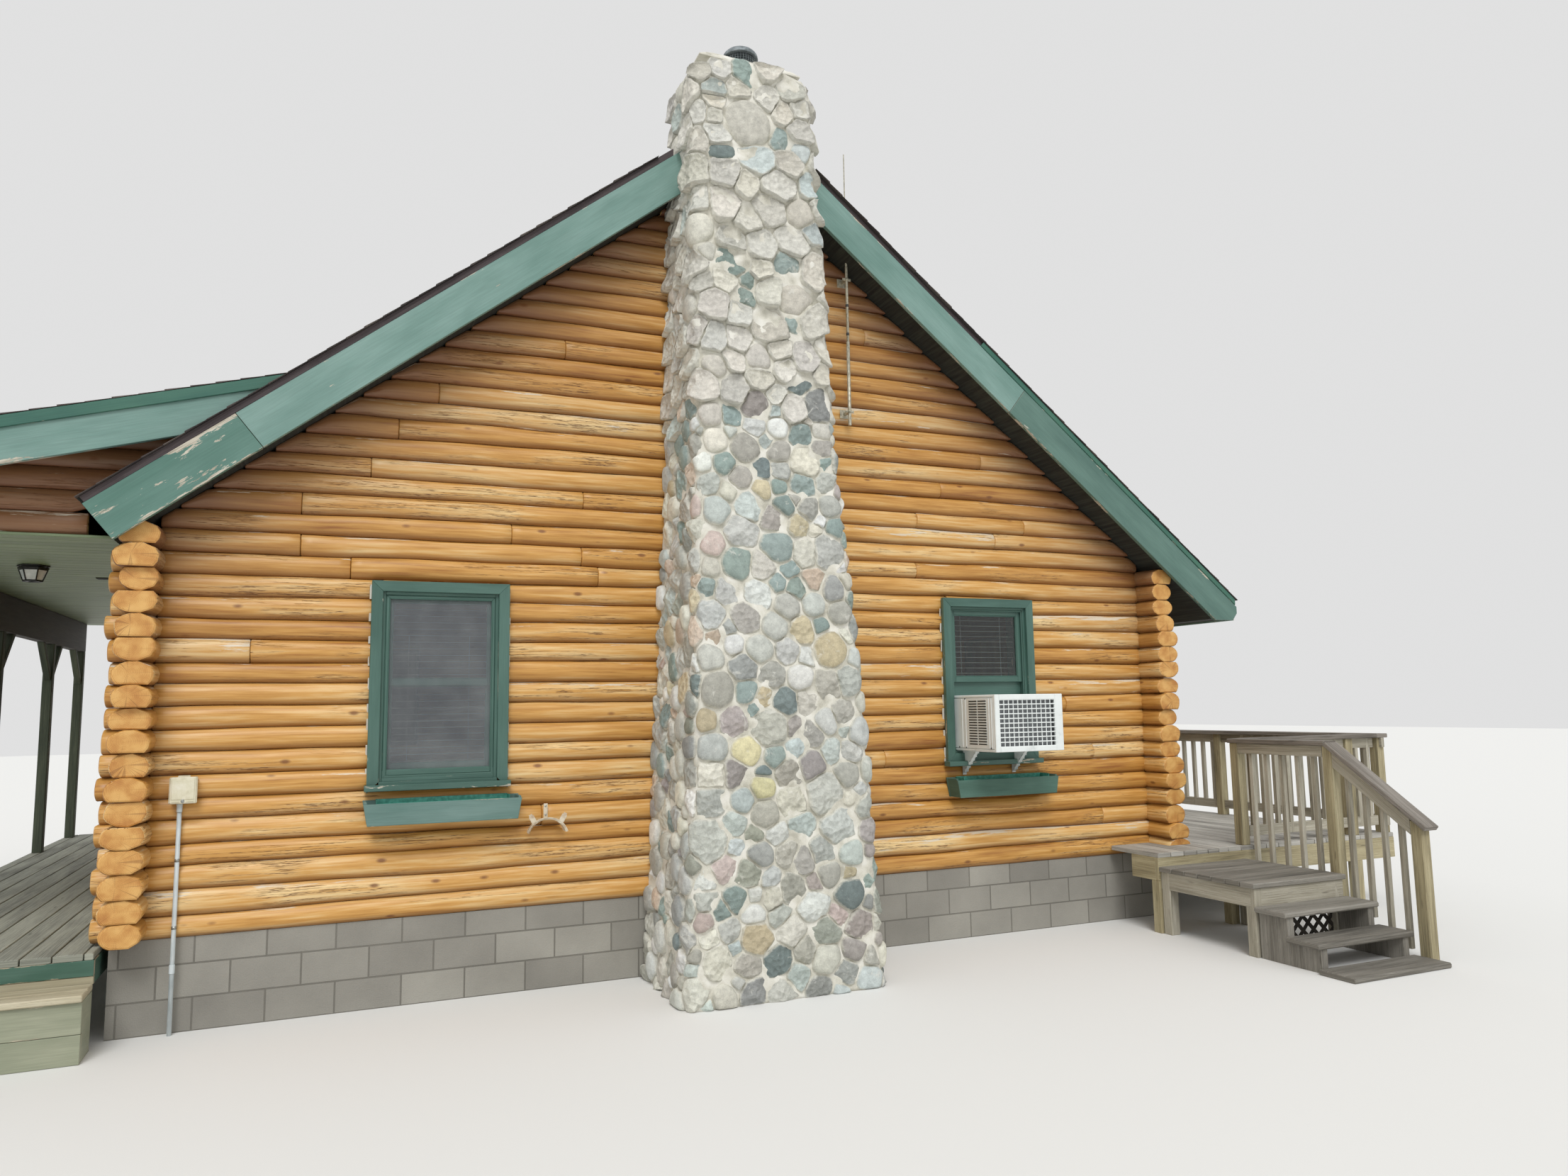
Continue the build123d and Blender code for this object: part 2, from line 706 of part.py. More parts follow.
deck_frame_top = deck_height - floor_board
with BuildPart() as deck_frame:
    with BuildSketch(Plane.XY.offset(deck_frame_top - deck_rim)):
        with Locations(((deck_left_x + deck_right_x) / 2, deck_front_y + board / 2)):
            Rectangle(deck_right_x - deck_left_x, board)
        with Locations((deck_right_x - board / 2, (deck_front_y + deck_back_y) / 2)):
            Rectangle(board, deck_back_y - deck_front_y)
        with Locations(((side + deck_right_x) / 2, deck_back_y - board / 2)):
            Rectangle(deck_right_x - side, board)
        with Locations((deck_left_x + board / 2, (deck_front_y + log_front_y) / 2)):
            Rectangle(board, log_front_y - deck_front_y)
        with Locations((stub + board, (deck_front_y + deck_back_y) / 2)):
            Rectangle(board, deck_back_y - deck_front_y)
        for n in range(1, 6):
            with Locations(((stub + deck_right_x) / 2, deck_front_y + n * (deck_back_y - deck_front_y) / 6)):
                Rectangle(deck_right_x - stub, board)
    extrude(amount=deck_rim)
write(deck_frame.part, "deck_frame")

# Short posts that carry both floors on the ground
porch_pier_top = porch_frame_top - rim_height
deck_pier_top = deck_frame_top - deck_rim
deck_pier_ys = [deck_front_y + post_size / 2 + n * (deck_back_y - deck_front_y - post_size) / 3
                for n in range(4)]
with BuildPart() as floor_posts:
    with BuildSketch(Plane.XY):
        with Locations(*[(porch_floor_left + post_size / 2 + 10, y) for y in post_ys[1:]]):
            Rectangle(post_size, post_size)
        with Locations(*[(wall_out_left - post_size / 2, y) for y in post_ys[1:]]):
            Rectangle(post_size, post_size)
    extrude(amount=porch_pier_top)
    with BuildSketch(Plane.XY):
        with Locations(*[(deck_right_x - post_size / 2, y) for y in deck_pier_ys[1:]]):
            Rectangle(post_size, post_size)
        with Locations((deck_right_x - deck_middle_post_set, deck_pier_ys[0])):
            Rectangle(post_size, post_size)
        with Locations(*[(stub + board, y) for y in deck_pier_ys]):
            Rectangle(post_size, post_size)
        with Locations((deck_left_x + post_size / 2, deck_pier_ys[0])):
            Rectangle(post_size, post_size)
    extrude(amount=deck_pier_top)
write(floor_posts.part, "floor_posts")

rail_top = deck_height + rail_height
stair_post_x = stair_right_x + post_size / 2


def rail_panel(plane, start, end, posts):
    # A straight rail: posts, flat cap, sub rail and square balusters, all in one upright plane.
    foot = deck_height
    with BuildPart() as rail:
        for p in posts:
            with BuildSketch(plane.offset(-post_size / 2)):
                with Locations((p, (foot + rail_top - cap_thickness) / 2)):
                    Rectangle(post_size, rail_top - cap_thickness - foot)
            extrude(amount=post_size)
        with BuildSketch(plane.offset(-cap_width / 2)):
            with Locations(((start + end) / 2, rail_top - cap_thickness / 2)):
                Rectangle(end - start, cap_thickness)
        extrude(amount=cap_width)
        with BuildSketch(plane.offset(-baluster / 2)):
            low = foot + 70
            with Locations(((start + end) / 2, rail_top - cap_thickness - sub_rail / 2),
                           ((start + end) / 2, low + sub_rail / 2)):
                Rectangle(end - start, sub_rail)
            count = int((end - start) / (baluster + baluster_gap))
            step = (end - start) / count
            with Locations(*[(start + (n + 0.5) * step, (low + rail_top - cap_thickness) / 2)
                             for n in range(count)]):
                Rectangle(baluster, rail_top - cap_thickness - low)
        extrude(amount=baluster)
    return rail.part


rail_inset = 60.0
middle_post_x = deck_right_x - deck_middle_post_set
front_rail_y = deck_front_y + rail_inset
side_rail_x = deck_right_x - rail_inset
back_rail_y = deck_back_y - rail_inset
rail_join = cap_width / 2 + 0.3
write(rail_panel(Plane.XZ.offset(-front_rail_y),
                 stair_post_x + rail_join, side_rail_x - rail_join, [middle_post_x]), "deck_front_rail")
write(rail_panel(Plane.YZ.offset(side_rail_x),
                 front_rail_y - rail_join + 0.3, back_rail_y + rail_join - 0.3,
                 [front_rail_y + n * (back_rail_y - front_rail_y) / 3 for n in range(4)]),
      "deck_side_rail")
write(rail_panel(Plane.XZ.offset(-back_rail_y),
                 wall_out_right + deck_wall_gap, side_rail_x - rail_join, [wall_out_right + 60]),
      "deck_back_rail")

# Stair: landing, open treads, stringers, posts and rail
with BuildPart() as stair_landing:
    with BuildSketch(Plane.XY.offset(landing_height - floor_board)):
        with Locations(((stair_left_x + stair_right_x) / 2, (landing_front_y + deck_front_y) / 2)):
            Rectangle(stair_right_x - stair_left_x, deck_front_y - landing_front_y)
    extrude(amount=floor_board)
    with BuildSketch(Plane.XY.offset(landing_height - floor_board - rim_height)):
        with Locations(((stair_left_x + stair_right_x) / 2, (landing_front_y + deck_front_y) / 2 + 10)):
            Rectangle(stair_right_x - stair_left_x - 40, deck_front_y - landing_front_y - 20)
            Rectangle(stair_right_x - stair_left_x - 40 - 2 * board,
                      deck_front_y - landing_front_y - 20 - 2 * board, mode=Mode.SUBTRACT)
    extrude(amount=rim_height)
    with BuildSketch(Plane.XY):
        with Locations((stair_left_x + 65, landing_front_y + 65), (stair_right_x - 65, landing_front_y + 65),
                       (stair_left_x + 65, deck_front_y - 50), (stair_right_x - 65, deck_front_y - 50)):
            Rectangle(post_size, post_size)
    extrude(amount=landing_height - floor_board)
write(stair_landing.part, "stair_landing")

tread_fronts = [landing_front_y - (n + 1) * tread_run for n in range(tread_count)]
with BuildPart() as stair_treads:
    for n, front in enumerate(tread_fronts):
        top = landing_height - (n + 1) * tread_rise
        with BuildSketch(Plane.XY.offset(top - floor_board)):
            with Locations(((stair_left_x + stair_right_x) / 2, front + tread_depth / 2)):
                Rectangle(stair_right_x - stair_left_x, tread_depth)
        extrude(amount=floor_board)
write(stair_treads.part, "stair_treads")

with BuildPart() as stair_stringers:
    for x in (stair_left_x + 40, stair_right_x - 40 - stringer_depth):
        with BuildSketch(Plane.YZ.offset(x)):
            with BuildLine():
                points = [(landing_front_y + 9.7, 0),
                          (landing_front_y + 9.7, landing_height - tread_rise - floor_board)]
                for n, front in enumerate(tread_fronts[:-1]):
                    under = landing_height - (n + 1) * tread_rise - floor_board
                    points.append((front + 20, under))
                    points.append((front + 20, under - tread_rise))
                Polyline(*points, close=True)
            make_face()
        extrude(amount=stringer_depth)
write(stair_stringers.part, "stair_stringers")

left_post_y = front_rail_y
mid_post_y = gable_y - mid_post_reach
bottom_post_y = gable_y - bottom_post_reach
low_rail_top = rail_top - rail_drop
rail_slope = rail_drop / (mid_post_y - bottom_post_y)
with BuildPart() as stair_rail:
    with BuildSketch(Plane.XY.offset(deck_height)):
        with Locations((stair_post_x, left_post_y)):
            Rectangle(post_size, post_size)
    extrude(amount=rail_top - cap_thickness - deck_height)
    with BuildSketch(Plane.XY):
        with Locations((stair_post_x, mid_post_y)):
            Rectangle(post_size, post_size)
    extrude(amount=rail_top - cap_thickness)
    with BuildSketch(Plane.XY):
        with Locations((stair_post_x, bottom_post_y)):
            Rectangle(post_size, post_size)
    extrude(amount=low_rail_top - cap_thickness)
    with BuildSketch(Plane.YZ.offset(stair_post_x - cap_width / 2)):
        with BuildLine():
            end_y = bottom_post_y - 90
            end_z = rail_top - rail_slope * (mid_post_y - end_y)
            Polyline((left_post_y + post_size / 2, rail_top), (mid_post_y, rail_top), (end_y, end_z),
                     (end_y, end_z - cap_thickness * 1.25), (mid_post_y, rail_top - cap_thickness * 1.1),
                     (left_post_y + post_size / 2, rail_top - cap_thickness), close=True)
        make_face()
    extrude(amount=cap_width)
    with BuildSketch(Plane.YZ.offset(stair_post_x - baluster / 2)):
        with BuildLine():
            low_z = rail_top - rail_drop
            Polyline((left_post_y, rail_top - cap_thickness), (mid_post_y, rail_top - cap_thickness),
                     (bottom_post_y, low_z - cap_thickness),
                     (bottom_post_y, low_z - cap_thickness - sub_rail * 1.3),
                     (mid_post_y, rail_top - cap_thickness - sub_rail * 1.1),
                     (left_post_y, rail_top - cap_thickness - sub_rail), close=True)
        make_face()
        level_count = 5
        for n in range(level_count):
            y = left_post_y + (n + 1) * (mid_post_y - left_post_y) / (level_count + 1)
            foot = landing_height - 120
            with Locations((y, (foot + rail_top - cap_thickness - 20) / 2)):
                Rectangle(baluster, rail_top - cap_thickness - 20 - foot)
        slope_count = 4
        for n in range(slope_count):
            y = mid_post_y + (n + 1) * (bottom_post_y - mid_post_y) / (slope_count + 1)
            top = rail_top - rail_slope * (mid_post_y - y) - cap_thickness - 20
            foot = landing_height - 120 - (mid_post_y - y) * tread_rise / tread_run
            with Locations((y, (foot + top) / 2)):
                Rectangle(baluster, top - foot)
    extrude(amount=baluster)
write(stair_rail.part, "stair_rail")

# Crossed lattice that closes the space under the landing
lattice_foot = 30.0
lattice_top = landing_height - floor_board - rim_height
lattice_left = stair_left_x + 65 + post_size / 2
lattice_right = stair_right_x - 65 - post_size / 2
with BuildPart() as lattice:
    with BuildSketch(Plane.XZ.offset(-(landing_front_y + 65))):
        for lean in (-45, 45):
            with Locations(*[((lattice_left + lattice_right) / 2 + n * lattice_pitch,
                              (lattice_foot + lattice_top) / 2) for n in range(-6, 7)]):
                Rectangle(lattice_strip, 2 * (lattice_right - lattice_left), rotation=lean)
        with Locations(((lattice_left + lattice_right) / 2, (lattice_foot + lattice_top) / 2)):
            Rectangle(lattice_right - lattice_left, lattice_top - lattice_foot, mode=Mode.INTERSECT)
    extrude(amount=lattice_thickness)
write(lattice.part, "lattice")


# Windows: frame with casing, sashes and glass
def window_frame(centre, frame_plane):
    # frame_plane has its origin on the outer log face and its normal pointing out of the house.
    with BuildPart() as frame:
        with BuildSketch(frame_plane):
            with Locations((centre, window_middle)):
                Rectangle(window_width + 2 * casing_width, window_height + 2 * casing_width)
                Rectangle(window_width - 2 * jamb, window_height - 2 * jamb, mode=Mode.SUBTRACT)
        extrude(amount=casing_thickness)
        with BuildSketch(frame_plane):
            with Locations((centre, window_middle)):
                Rectangle(window_width, window_height)
                Rectangle(window_width - 2 * jamb, window_height - 2 * jamb, mode=Mode.SUBTRACT)
        extrude(amount=-wall_depth)
        with BuildSketch(frame_plane):
            with Locations((centre, sill_under + sill_board / 2)):
                Rectangle(window_width + 2 * casing_width + 30, sill_board)
        extrude(amount=casing_thickness + sill_reach)
    return frame.part


def sash(centre_u, middle, plane, depth, height):
    with BuildPart() as ring:
        with BuildSketch(plane.offset(-depth)):
            with Locations((centre_u, middle)):
                Rectangle(window_width - 2 * jamb - 2 * sash_clearance, height)
                Rectangle(window_width - 2 * jamb - 2 * sash_rail, height - 2 * sash_rail,
                          mode=Mode.SUBTRACT)
        extrude(amount=-sash_thickness)
    return ring.part


def pane(centre_u, middle, plane, depth, height):
    with BuildPart() as glass:
        with BuildSketch(plane.offset(-depth - sash_thickness / 2 + glass_thickness / 2)):
            with Locations((centre_u, middle)):
                Rectangle(window_width - 2 * jamb - 2 * sash_rail, height - 2 * sash_rail)
        extrude(amount=-glass_thickness)
    return glass.part


sash_height = (window_height - 2 * jamb) / 2 + sash_rail / 2
upper_middle = window_middle + (window_height - 2 * jamb - sash_height) / 2 - sash_clearance
lower_middle = window_middle - (window_height - 2 * jamb - sash_height) / 2 + sash_clearance
outer_sash_depth = 20.0
inner_sash_depth = outer_sash_depth + sash_thickness + 2.0
front_plane = Plane.XZ.offset(-gable_y)
back_plane = Plane(origin=(0, back_y, 0), x_dir=(-1, 0, 0), z_dir=(0, 1, 0))
left_plane = Plane(origin=(wall_out_left, 0, 0), x_dir=(0, -1, 0), z_dir=(-1, 0, 0))
right_plane = Plane(origin=(wall_out_right, 0, 0), x_dir=(0, 1, 0), z_dir=(1, 0, 0))

write(group([window_frame(left_window_x, front_plane), window_frame(right_window_x, front_plane)]),
      "front_window_frames")


hidden_spots = [(-left_window_x, back_plane), (-right_window_x, back_plane),
                (-eave_window_y, left_plane), (eave_window_y, right_plane)]
write(group([sash(left_window_x, upper_middle, front_plane, outer_sash_depth, sash_height),
             sash(left_window_x, lower_middle, front_plane, inner_sash_depth, sash_height),
             sash(right_window_x, upper_middle, front_plane, outer_sash_depth, sash_height)]),
      "front_window_sashes")
other_frames = [window_frame(u, p) for u, p in hidden_spots]
other_sashes = []
panes = [pane(left_window_x, upper_middle, front_plane, outer_sash_depth, sash_height),
         pane(left_window_x, lower_middle, front_plane, inner_sash_depth, sash_height),
         pane(right_window_x, upper_middle, front_plane, outer_sash_depth, sash_height)]
for u, p in hidden_spots:
    other_sashes.append(sash(u, upper_middle, p, outer_sash_depth, sash_height))
    other_sashes.append(sash(u, lower_middle, p, inner_sash_depth, sash_height))
    panes.append(pane(u, upper_middle, p, outer_sash_depth, sash_height))
    panes.append(pane(u, lower_middle, p, inner_sash_depth, sash_height))
write(group(other_frames + other_sashes), "other_windows")
write(group(panes), "window_glass")

# Filler panel that closes the window round the air conditioner
with BuildPart() as window_filler:
    with BuildSketch(front_plane.offset(-inner_sash_depth)):
        clear = window_width - 2 * jamb - 2 * sash_clearance
        foot = window_middle - window_height / 2 + jamb
        top = upper_middle - sash_height / 2 + sash_rail
        with Locations((right_window_x, (foot + top) / 2)):
            Rectangle(clear, top - foot)
        with Locations((ac_left_x + ac_width / 2, ac_foot + ac_height / 2)):
            Rectangle(ac_width, ac_height, mode=Mode.SUBTRACT)
    extrude(amount=-sash_thickness)
write(window_filler.part, "window_filler")

# Air conditioner: a cabinet with a cross-barred grille on its outer face
ac_front_y = gable_y - ac_reach
with BuildPart() as air_conditioner:
    with BuildSketch(Plane.XZ.offset(-ac_front_y)):
        with Locations((ac_left_x + ac_width / 2, ac_foot + ac_height / 2)):
            RectangleRounded(ac_width, ac_height, ac_corner)
    extrude(amount=-(ac_reach + ac_inside))
    with BuildSketch(Plane.XZ.offset(-ac_front_y)):
        cell_w = (ac_width - 100) / grille_cells_across
        cell_h = (ac_height - 75) / grille_cells_up
        with Locations((ac_left_x + ac_width / 2, ac_foot + ac_height / 2 - 8)):
            with GridLocations(cell_w, cell_h, grille_cells_across, grille_cells_up):
                Rectangle(cell_w - 8, cell_h - 8)
    extrude(amount=-12, mode=Mode.SUBTRACT)
write(air_conditioner.part, "air_conditioner")

with BuildPart() as ac_brackets:
    for x in (ac_left_x + 60, ac_left_x + ac_width - 100):
        with BuildSketch(Plane.YZ.offset(x)):
            with BuildLine():
                clear = casing_thickness + sill_reach + 5
                slope = (bracket_drop - 22) / bracket_reach
                Polyline((gable_y - clear, ac_foot), (gable_y - bracket_reach, ac_foot),
                         (gable_y - bracket_reach, ac_foot - 22), (gable_y, ac_foot - bracket_drop),
                         (gable_y, ac_foot - bracket_drop + bracket_plate),
                         (gable_y - clear, ac_foot - bracket_drop + bracket_plate + slope * clear),
                         close=True)
            make_face()
        extrude(amount=36)
write(ac_brackets.part, "ac_brackets")


def window_box(centre, foot):
    # An open planter box with sloping ends, fixed under the window.
    with BuildPart() as box:
        with BuildSketch(Plane.XZ.offset(-gable_y)):
            with BuildLine():
                Polyline((centre - box_foot_width / 2, foot), (centre + box_foot_width / 2, foot),
                         (centre + box_top_width / 2, foot + box_height),
                         (centre - box_top_width / 2, foot + box_height), close=True)
            make_face()
        extrude(amount=box_reach)
        with BuildSketch(Plane.XZ.offset(-gable_y + box_wall)):
            inset = box_wall * 1.1
            with BuildLine():
                Polyline((centre - box_foot_width / 2 + inset, foot + box_wall),
                         (centre + box_foot_width / 2 - inset, foot + box_wall),
                         (centre + box_top_width / 2 - inset, foot + box_height),
                         (centre - box_top_width / 2 + inset, foot + box_height), close=True)
            make_face()
        extrude(amount=box_reach - 2 * box_wall, mode=Mode.SUBTRACT)
    return box.part


write(group([window_box(left_box_x, left_box_foot), window_box(right_box_x, right_box_foot)]),
      "window_boxes")

# Meter box with its conduit, hose hanger
with BuildPart() as utility_box:
    with BuildSketch(Plane.XZ.offset(-gable_y)):
        with Locations((meter_x, meter_foot + meter_height / 2)):
            RectangleRounded(meter_width, meter_height, 10)
    extrude(amount=meter_depth)
    with BuildSketch(Plane.XY):
        with Locations((meter_x - 20, gable_y - conduit_radius - 0.3)):
            Circle(conduit_radius)
    extrude(amount=meter_foot + 10)
write(utility_box.part, "utility_box")

with BuildPart() as hose_hanger:
    with BuildSketch(Plane.XZ.offset(-gable_y)):
        with BuildLine():
            CenterArc((hanger_x, hanger_foot), hanger_radius, 0, 180)
            CenterArc((hanger_x, hanger_foot), hanger_radius - 18, 0, 180)
            Line((hanger_x - hanger_radius, hanger_foot), (hanger_x - hanger_radius + 18, hanger_foot))
            Line((hanger_x + hanger_radius, hanger_foot), (hanger_x + hanger_radius - 18, hanger_foot))
        make_face()
    extrude(amount=hanger_depth)
write(hose_hanger.part, "hose_hanger")

# Antenna mast, on two brackets that are screwed to the crests of logs
with BuildPart() as antenna_mast:
    with BuildSketch(Plane.XY.offset(mast_foot)):
        with Locations((mast_x, mast_y)):
            Circle(mast_radius)
    extrude(amount=mast_top - mast_foot)
    with BuildSketch(Plane.XY.offset(mast_top)):
        with Locations((mast_x, mast_y)):
            Circle(whip_radius)
    extrude(amount=whip_top - mast_top)
    for z in (log_crest(mast_foot + bracket_set), log_crest(mast_top - bracket_set)):
        with BuildSketch(Plane.XY.offset(z - 15)):
            with Locations((mast_x, (mast_y + gable_y) / 2)):
                Rectangle(20, gable_y - mast_y)
        extrude(amount=30)
        with BuildSketch(Plane.XZ.offset(-gable_y)):
            with Locations((mast_x, z)):
                Rectangle(90, 50)
        extrude(amount=6)
write(antenna_mast.part, "antenna_mast")


# Doors of the two long walls
def door(name, centre, plane):
    leaf_set = 90.0
    with BuildPart() as leaf:
        with BuildSketch(plane.offset(-leaf_set)):
            with Locations((centre, sill_height + house_floor_thickness + door_height / 2)):
                Rectangle(door_width - 2 * jamb, door_height - jamb)
        extrude(amount=-door_thickness)
        with BuildSketch(plane):
            with Locations((centre, sill_height + house_floor_thickness + door_height / 2)):
                Rectangle(door_width, door_height)
                Rectangle(door_width - 2 * jamb, door_height - jamb, mode=Mode.SUBTRACT)
        extrude(amount=-wall_depth)
    write(leaf.part, name)


door("porch_door", -porch_door_y, left_plane)
door("deck_door", deck_door_y, right_plane)
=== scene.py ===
# %% [markdown]
# # A log cabin with a fieldstone chimney
#
# The cabin stands on a fixed frame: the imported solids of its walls, roof, chimney, porch and deck.
# Everything below is placed from the boxes of those solids, in metres, with +X along the front
# gable, +Y into the house and +Z up. The solids give the true sizes, and this script gives each
# surface what the eye expects from it: round logs, laid stones, shingles, boards and paint.

# %% Load the frame
import bpy
import bmesh
import math
import random
from mathutils import Vector, Matrix, noise


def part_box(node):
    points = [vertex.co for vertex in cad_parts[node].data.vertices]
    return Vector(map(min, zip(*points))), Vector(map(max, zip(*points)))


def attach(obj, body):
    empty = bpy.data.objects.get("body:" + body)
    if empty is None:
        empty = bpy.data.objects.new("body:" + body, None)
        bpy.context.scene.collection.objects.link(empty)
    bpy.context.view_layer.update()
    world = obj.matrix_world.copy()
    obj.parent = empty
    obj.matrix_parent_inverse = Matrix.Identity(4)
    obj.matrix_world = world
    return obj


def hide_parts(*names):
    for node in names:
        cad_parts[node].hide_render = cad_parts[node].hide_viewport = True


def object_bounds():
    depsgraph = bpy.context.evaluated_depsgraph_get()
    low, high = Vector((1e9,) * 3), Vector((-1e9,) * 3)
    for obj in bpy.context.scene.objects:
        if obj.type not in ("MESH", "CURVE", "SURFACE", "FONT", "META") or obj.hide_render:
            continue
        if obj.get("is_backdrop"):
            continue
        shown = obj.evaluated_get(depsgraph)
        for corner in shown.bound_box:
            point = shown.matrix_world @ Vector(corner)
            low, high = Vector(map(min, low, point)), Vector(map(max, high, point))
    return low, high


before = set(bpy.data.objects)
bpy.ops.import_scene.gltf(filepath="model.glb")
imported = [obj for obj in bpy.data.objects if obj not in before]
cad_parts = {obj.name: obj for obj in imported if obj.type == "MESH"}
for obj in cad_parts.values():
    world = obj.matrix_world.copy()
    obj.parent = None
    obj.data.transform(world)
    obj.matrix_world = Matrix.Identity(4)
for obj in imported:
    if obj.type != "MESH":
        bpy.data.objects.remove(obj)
cad_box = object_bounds()
rng = random.Random(12)
print("solids in the frame:", len(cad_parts))

# %% [markdown]
# ## Two small tools
#
# Colours are written as sRGB hex, the way a paint chart gives them, and one function turns them
# into the linear numbers that shaders want. One more function adds a shader node with its
# settings, its values and its links, so that each material below reads as a short list of steps.

# %% Colours and shader nodes
def colour(code):
    channels = [int(code[i:i + 2], 16) / 255 for i in (1, 3, 5)]
    return tuple(c / 12.92 if c <= 0.04045 else ((c + 0.055) / 1.055) ** 2.4
        for c in channels) + (1.0,)


def feed(node, inputs):
    # Each input is set to a value, or linked to the output of another node. A list fills them
    # from the top.
    for key, value in inputs.items() if isinstance(inputs, dict) else enumerate(inputs):
        if isinstance(value, bpy.types.NodeSocket):
            node.id_data.links.new(value, node.inputs[key])
        else:
            node.inputs[key].default_value = value


def add(tree, kind, inputs=(), stops=(), give=None, **settings):
    # Returns the node's first output in use, the one that give names, or all of them.
    node = tree.nodes.new("ShaderNode" + kind)
    for key, value in settings.items():
        setattr(node, key, value)
    if stops:
        elements = node.color_ramp.elements
        for _ in stops[2:]:
            elements.new(0.5)
        for element, (place, code) in zip(elements, stops):
            element.position, element.color = place, colour(code)
    feed(node, inputs)
    if give == "all":
        return node.outputs
    return node.outputs[give] if give else next(out for out in node.outputs if out.enabled)


def new_material(name, roughness, base="#808080"):
    material = bpy.data.materials.new(name)
    material.use_nodes = True
    shader = material.node_tree.nodes["Principled BSDF"]
    feed(shader, {"Roughness": roughness, "Base Color": colour(base)})
    material.diffuse_color = colour(base)
    return material, material.node_tree, shader


def middle_of(node):
    # The low corner, the high corner and the middle of a solid of the frame.
    low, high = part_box(node)
    return low, high, (low + high) / 2


def dress(node, *materials):
    # Gives a solid of the frame its own materials, in place of the plain ones.
    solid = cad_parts[node]
    for n, place in enumerate(solid.material_slots):
        place.link = "OBJECT"
        place.material = materials[min(n, len(materials) - 1)]


def new_piece(name, vertices, faces, materials, node=None, face_materials=None):
    # A mesh piece that rides with the cabin; it may stand for one or more solids of the frame.
    # Points that would leave the outer box of the solids by a hair are set back onto it.
    mesh = bpy.data.meshes.new(name)
    low, high = cad_box
    vertices = [[min(max(v[i], low[i]), high[i]) for i in range(3)] for v in vertices]
    mesh.from_pydata(vertices, [], faces)
    for material in materials:
        mesh.materials.append(material)
    if face_materials:
        mesh.polygons.foreach_set("material_index", face_materials)
    piece = bpy.data.objects.new(name, mesh)
    bpy.context.collection.objects.link(piece)
    if node:
        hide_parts(*([node] if isinstance(node, str) else node))
    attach(piece, "root")
    print(name, len(vertices), "points")
    return piece


def mark(piece, **marks):
    # Writes three numbers on each corner of each face, for a material to read by their name.
    for label, data in marks.items():
        attribute = piece.data.attributes.new(label, "FLOAT_VECTOR", "CORNER")
        attribute.data.foreach_set("vector", [c for v in data for c in v])
    return piece

# %% [markdown]
# ## Sawn boards
#
# Everything on the cabin that isn't a log or a stone is a sawn board: roof edges, decks, rails,
# window trim. A real board has eased edges that catch the light, ends cut at an angle, and grain
# that runs along it. One collector makes them: it sweeps an eight-sided section from end to end,
# and writes on each point how far along and across it lies, so wood and paint follow the board.

# %% The board collector
X, Y, Z = (1, 0, 0), (0, 1, 0), (0, 0, 1)
# The thickness of a planed two-inch board.
PLANK = 0.038


class Boards:
    def __init__(self):
        self.points, self.faces, self.kinds, self.space, self.tone = [], [], [], [], []
        self.count = 0

    def add(self, start, end, across, width, thick, cut=(0, 0), ease=0.003, kind=0, wear=0.0,
            bow=0.0015, step=0.45):
        # The centre line runs from start to end. cut slants an end: along per metre across.
        start, end = Vector(start), Vector(end)
        along = (end - start).normalized()
        across = Vector(across)
        across = (across - along * across.dot(along)).normalized()
        normal = along.cross(across)
        length = (end - start).length
        w, t, e = width / 2, thick / 2, min(ease, thick * 0.35, width * 0.35)
        ring = [(-w + e, -t), (w - e, -t), (w, -t + e), (w, t - e), (w - e, t), (-w + e, t),
            (-w, t - e), (-w, -t + e)]
        around = [-w, w, w + e, w + thick, w + thick + e, 3 * w + thick, 3 * w + thick + e,
            3 * w + 2 * thick]
        self.count += 1
        number, tone, size = self.count, random.Random(self.count * 31
            + int(length * 999)).random(), len(ring)
        inner = max(1, int(length / step))
        stations = [0.0, e * 0.7] + [length * j / inner for j in range(1,
            inner)] + [length - e * 0.7, length]
        first = len(self.points)
        for j, s in enumerate(stations):
            tip = j in (0, len(stations) - 1)
            share = s / length
            for a, n in ring:
                if tip:
                    a, n = a * (1 - e * 0.6 / w), n * (1 - e * 0.6 / t)
                slant = (cut[0] * (1 - share) + cut[1] * share) * a
                wave = noise.noise((s * 1.1 + number * 7.3, a * 2, number)) * bow
                self.points.append(tuple(start + along * (s + slant) + across * (a + wave)
                    + normal * (n + wave)))
        for j in range(len(stations) - 1):
            for k in range(size):
                m = (k + 1) % size
                base = first + j * size
                corners = ((j, k), (j, m), (j + 1, m), (j + 1, k))
                self.faces.append((base + k, base + m, base + size + m, base + size + k))
                self.kinds.append(kind)
                for row, column in corners:
                    lap = around[column] if not (k == size - 1 and column == 0) else around[-1] + e
                    self.space.append((stations[row], lap, number))
                    self.tone.append((tone, ring[column][0] / w, wear))
        for row, order in ((0, range(size - 1, -1, -1)), (len(stations) - 1, range(size))):
            self.faces.append(tuple(first + row * size + k for k in order))
            self.kinds.append(kind)
            for k in order:
                self.space.append((ring[k][0] * 0.1, ring[k][1], number + 0.5))
                self.tone.append((tone, 0.9, wear + 0.1))

    def span(self, x, y, z, *size, **more):
        # A board given by its coordinates: the one it runs along is a pair, from and to.
        ends = zip(*(c if isinstance(c, tuple) else (c, c) for c in (x, y, z)))
        self.add(*ends, *size, **more)

    def piece(self, name, node, slot, materials):
        piece = new_piece(name, self.points, self.faces, materials, node, self.kinds)
        return mark(piece, wood_space=self.space, wood_tone=self.tone)


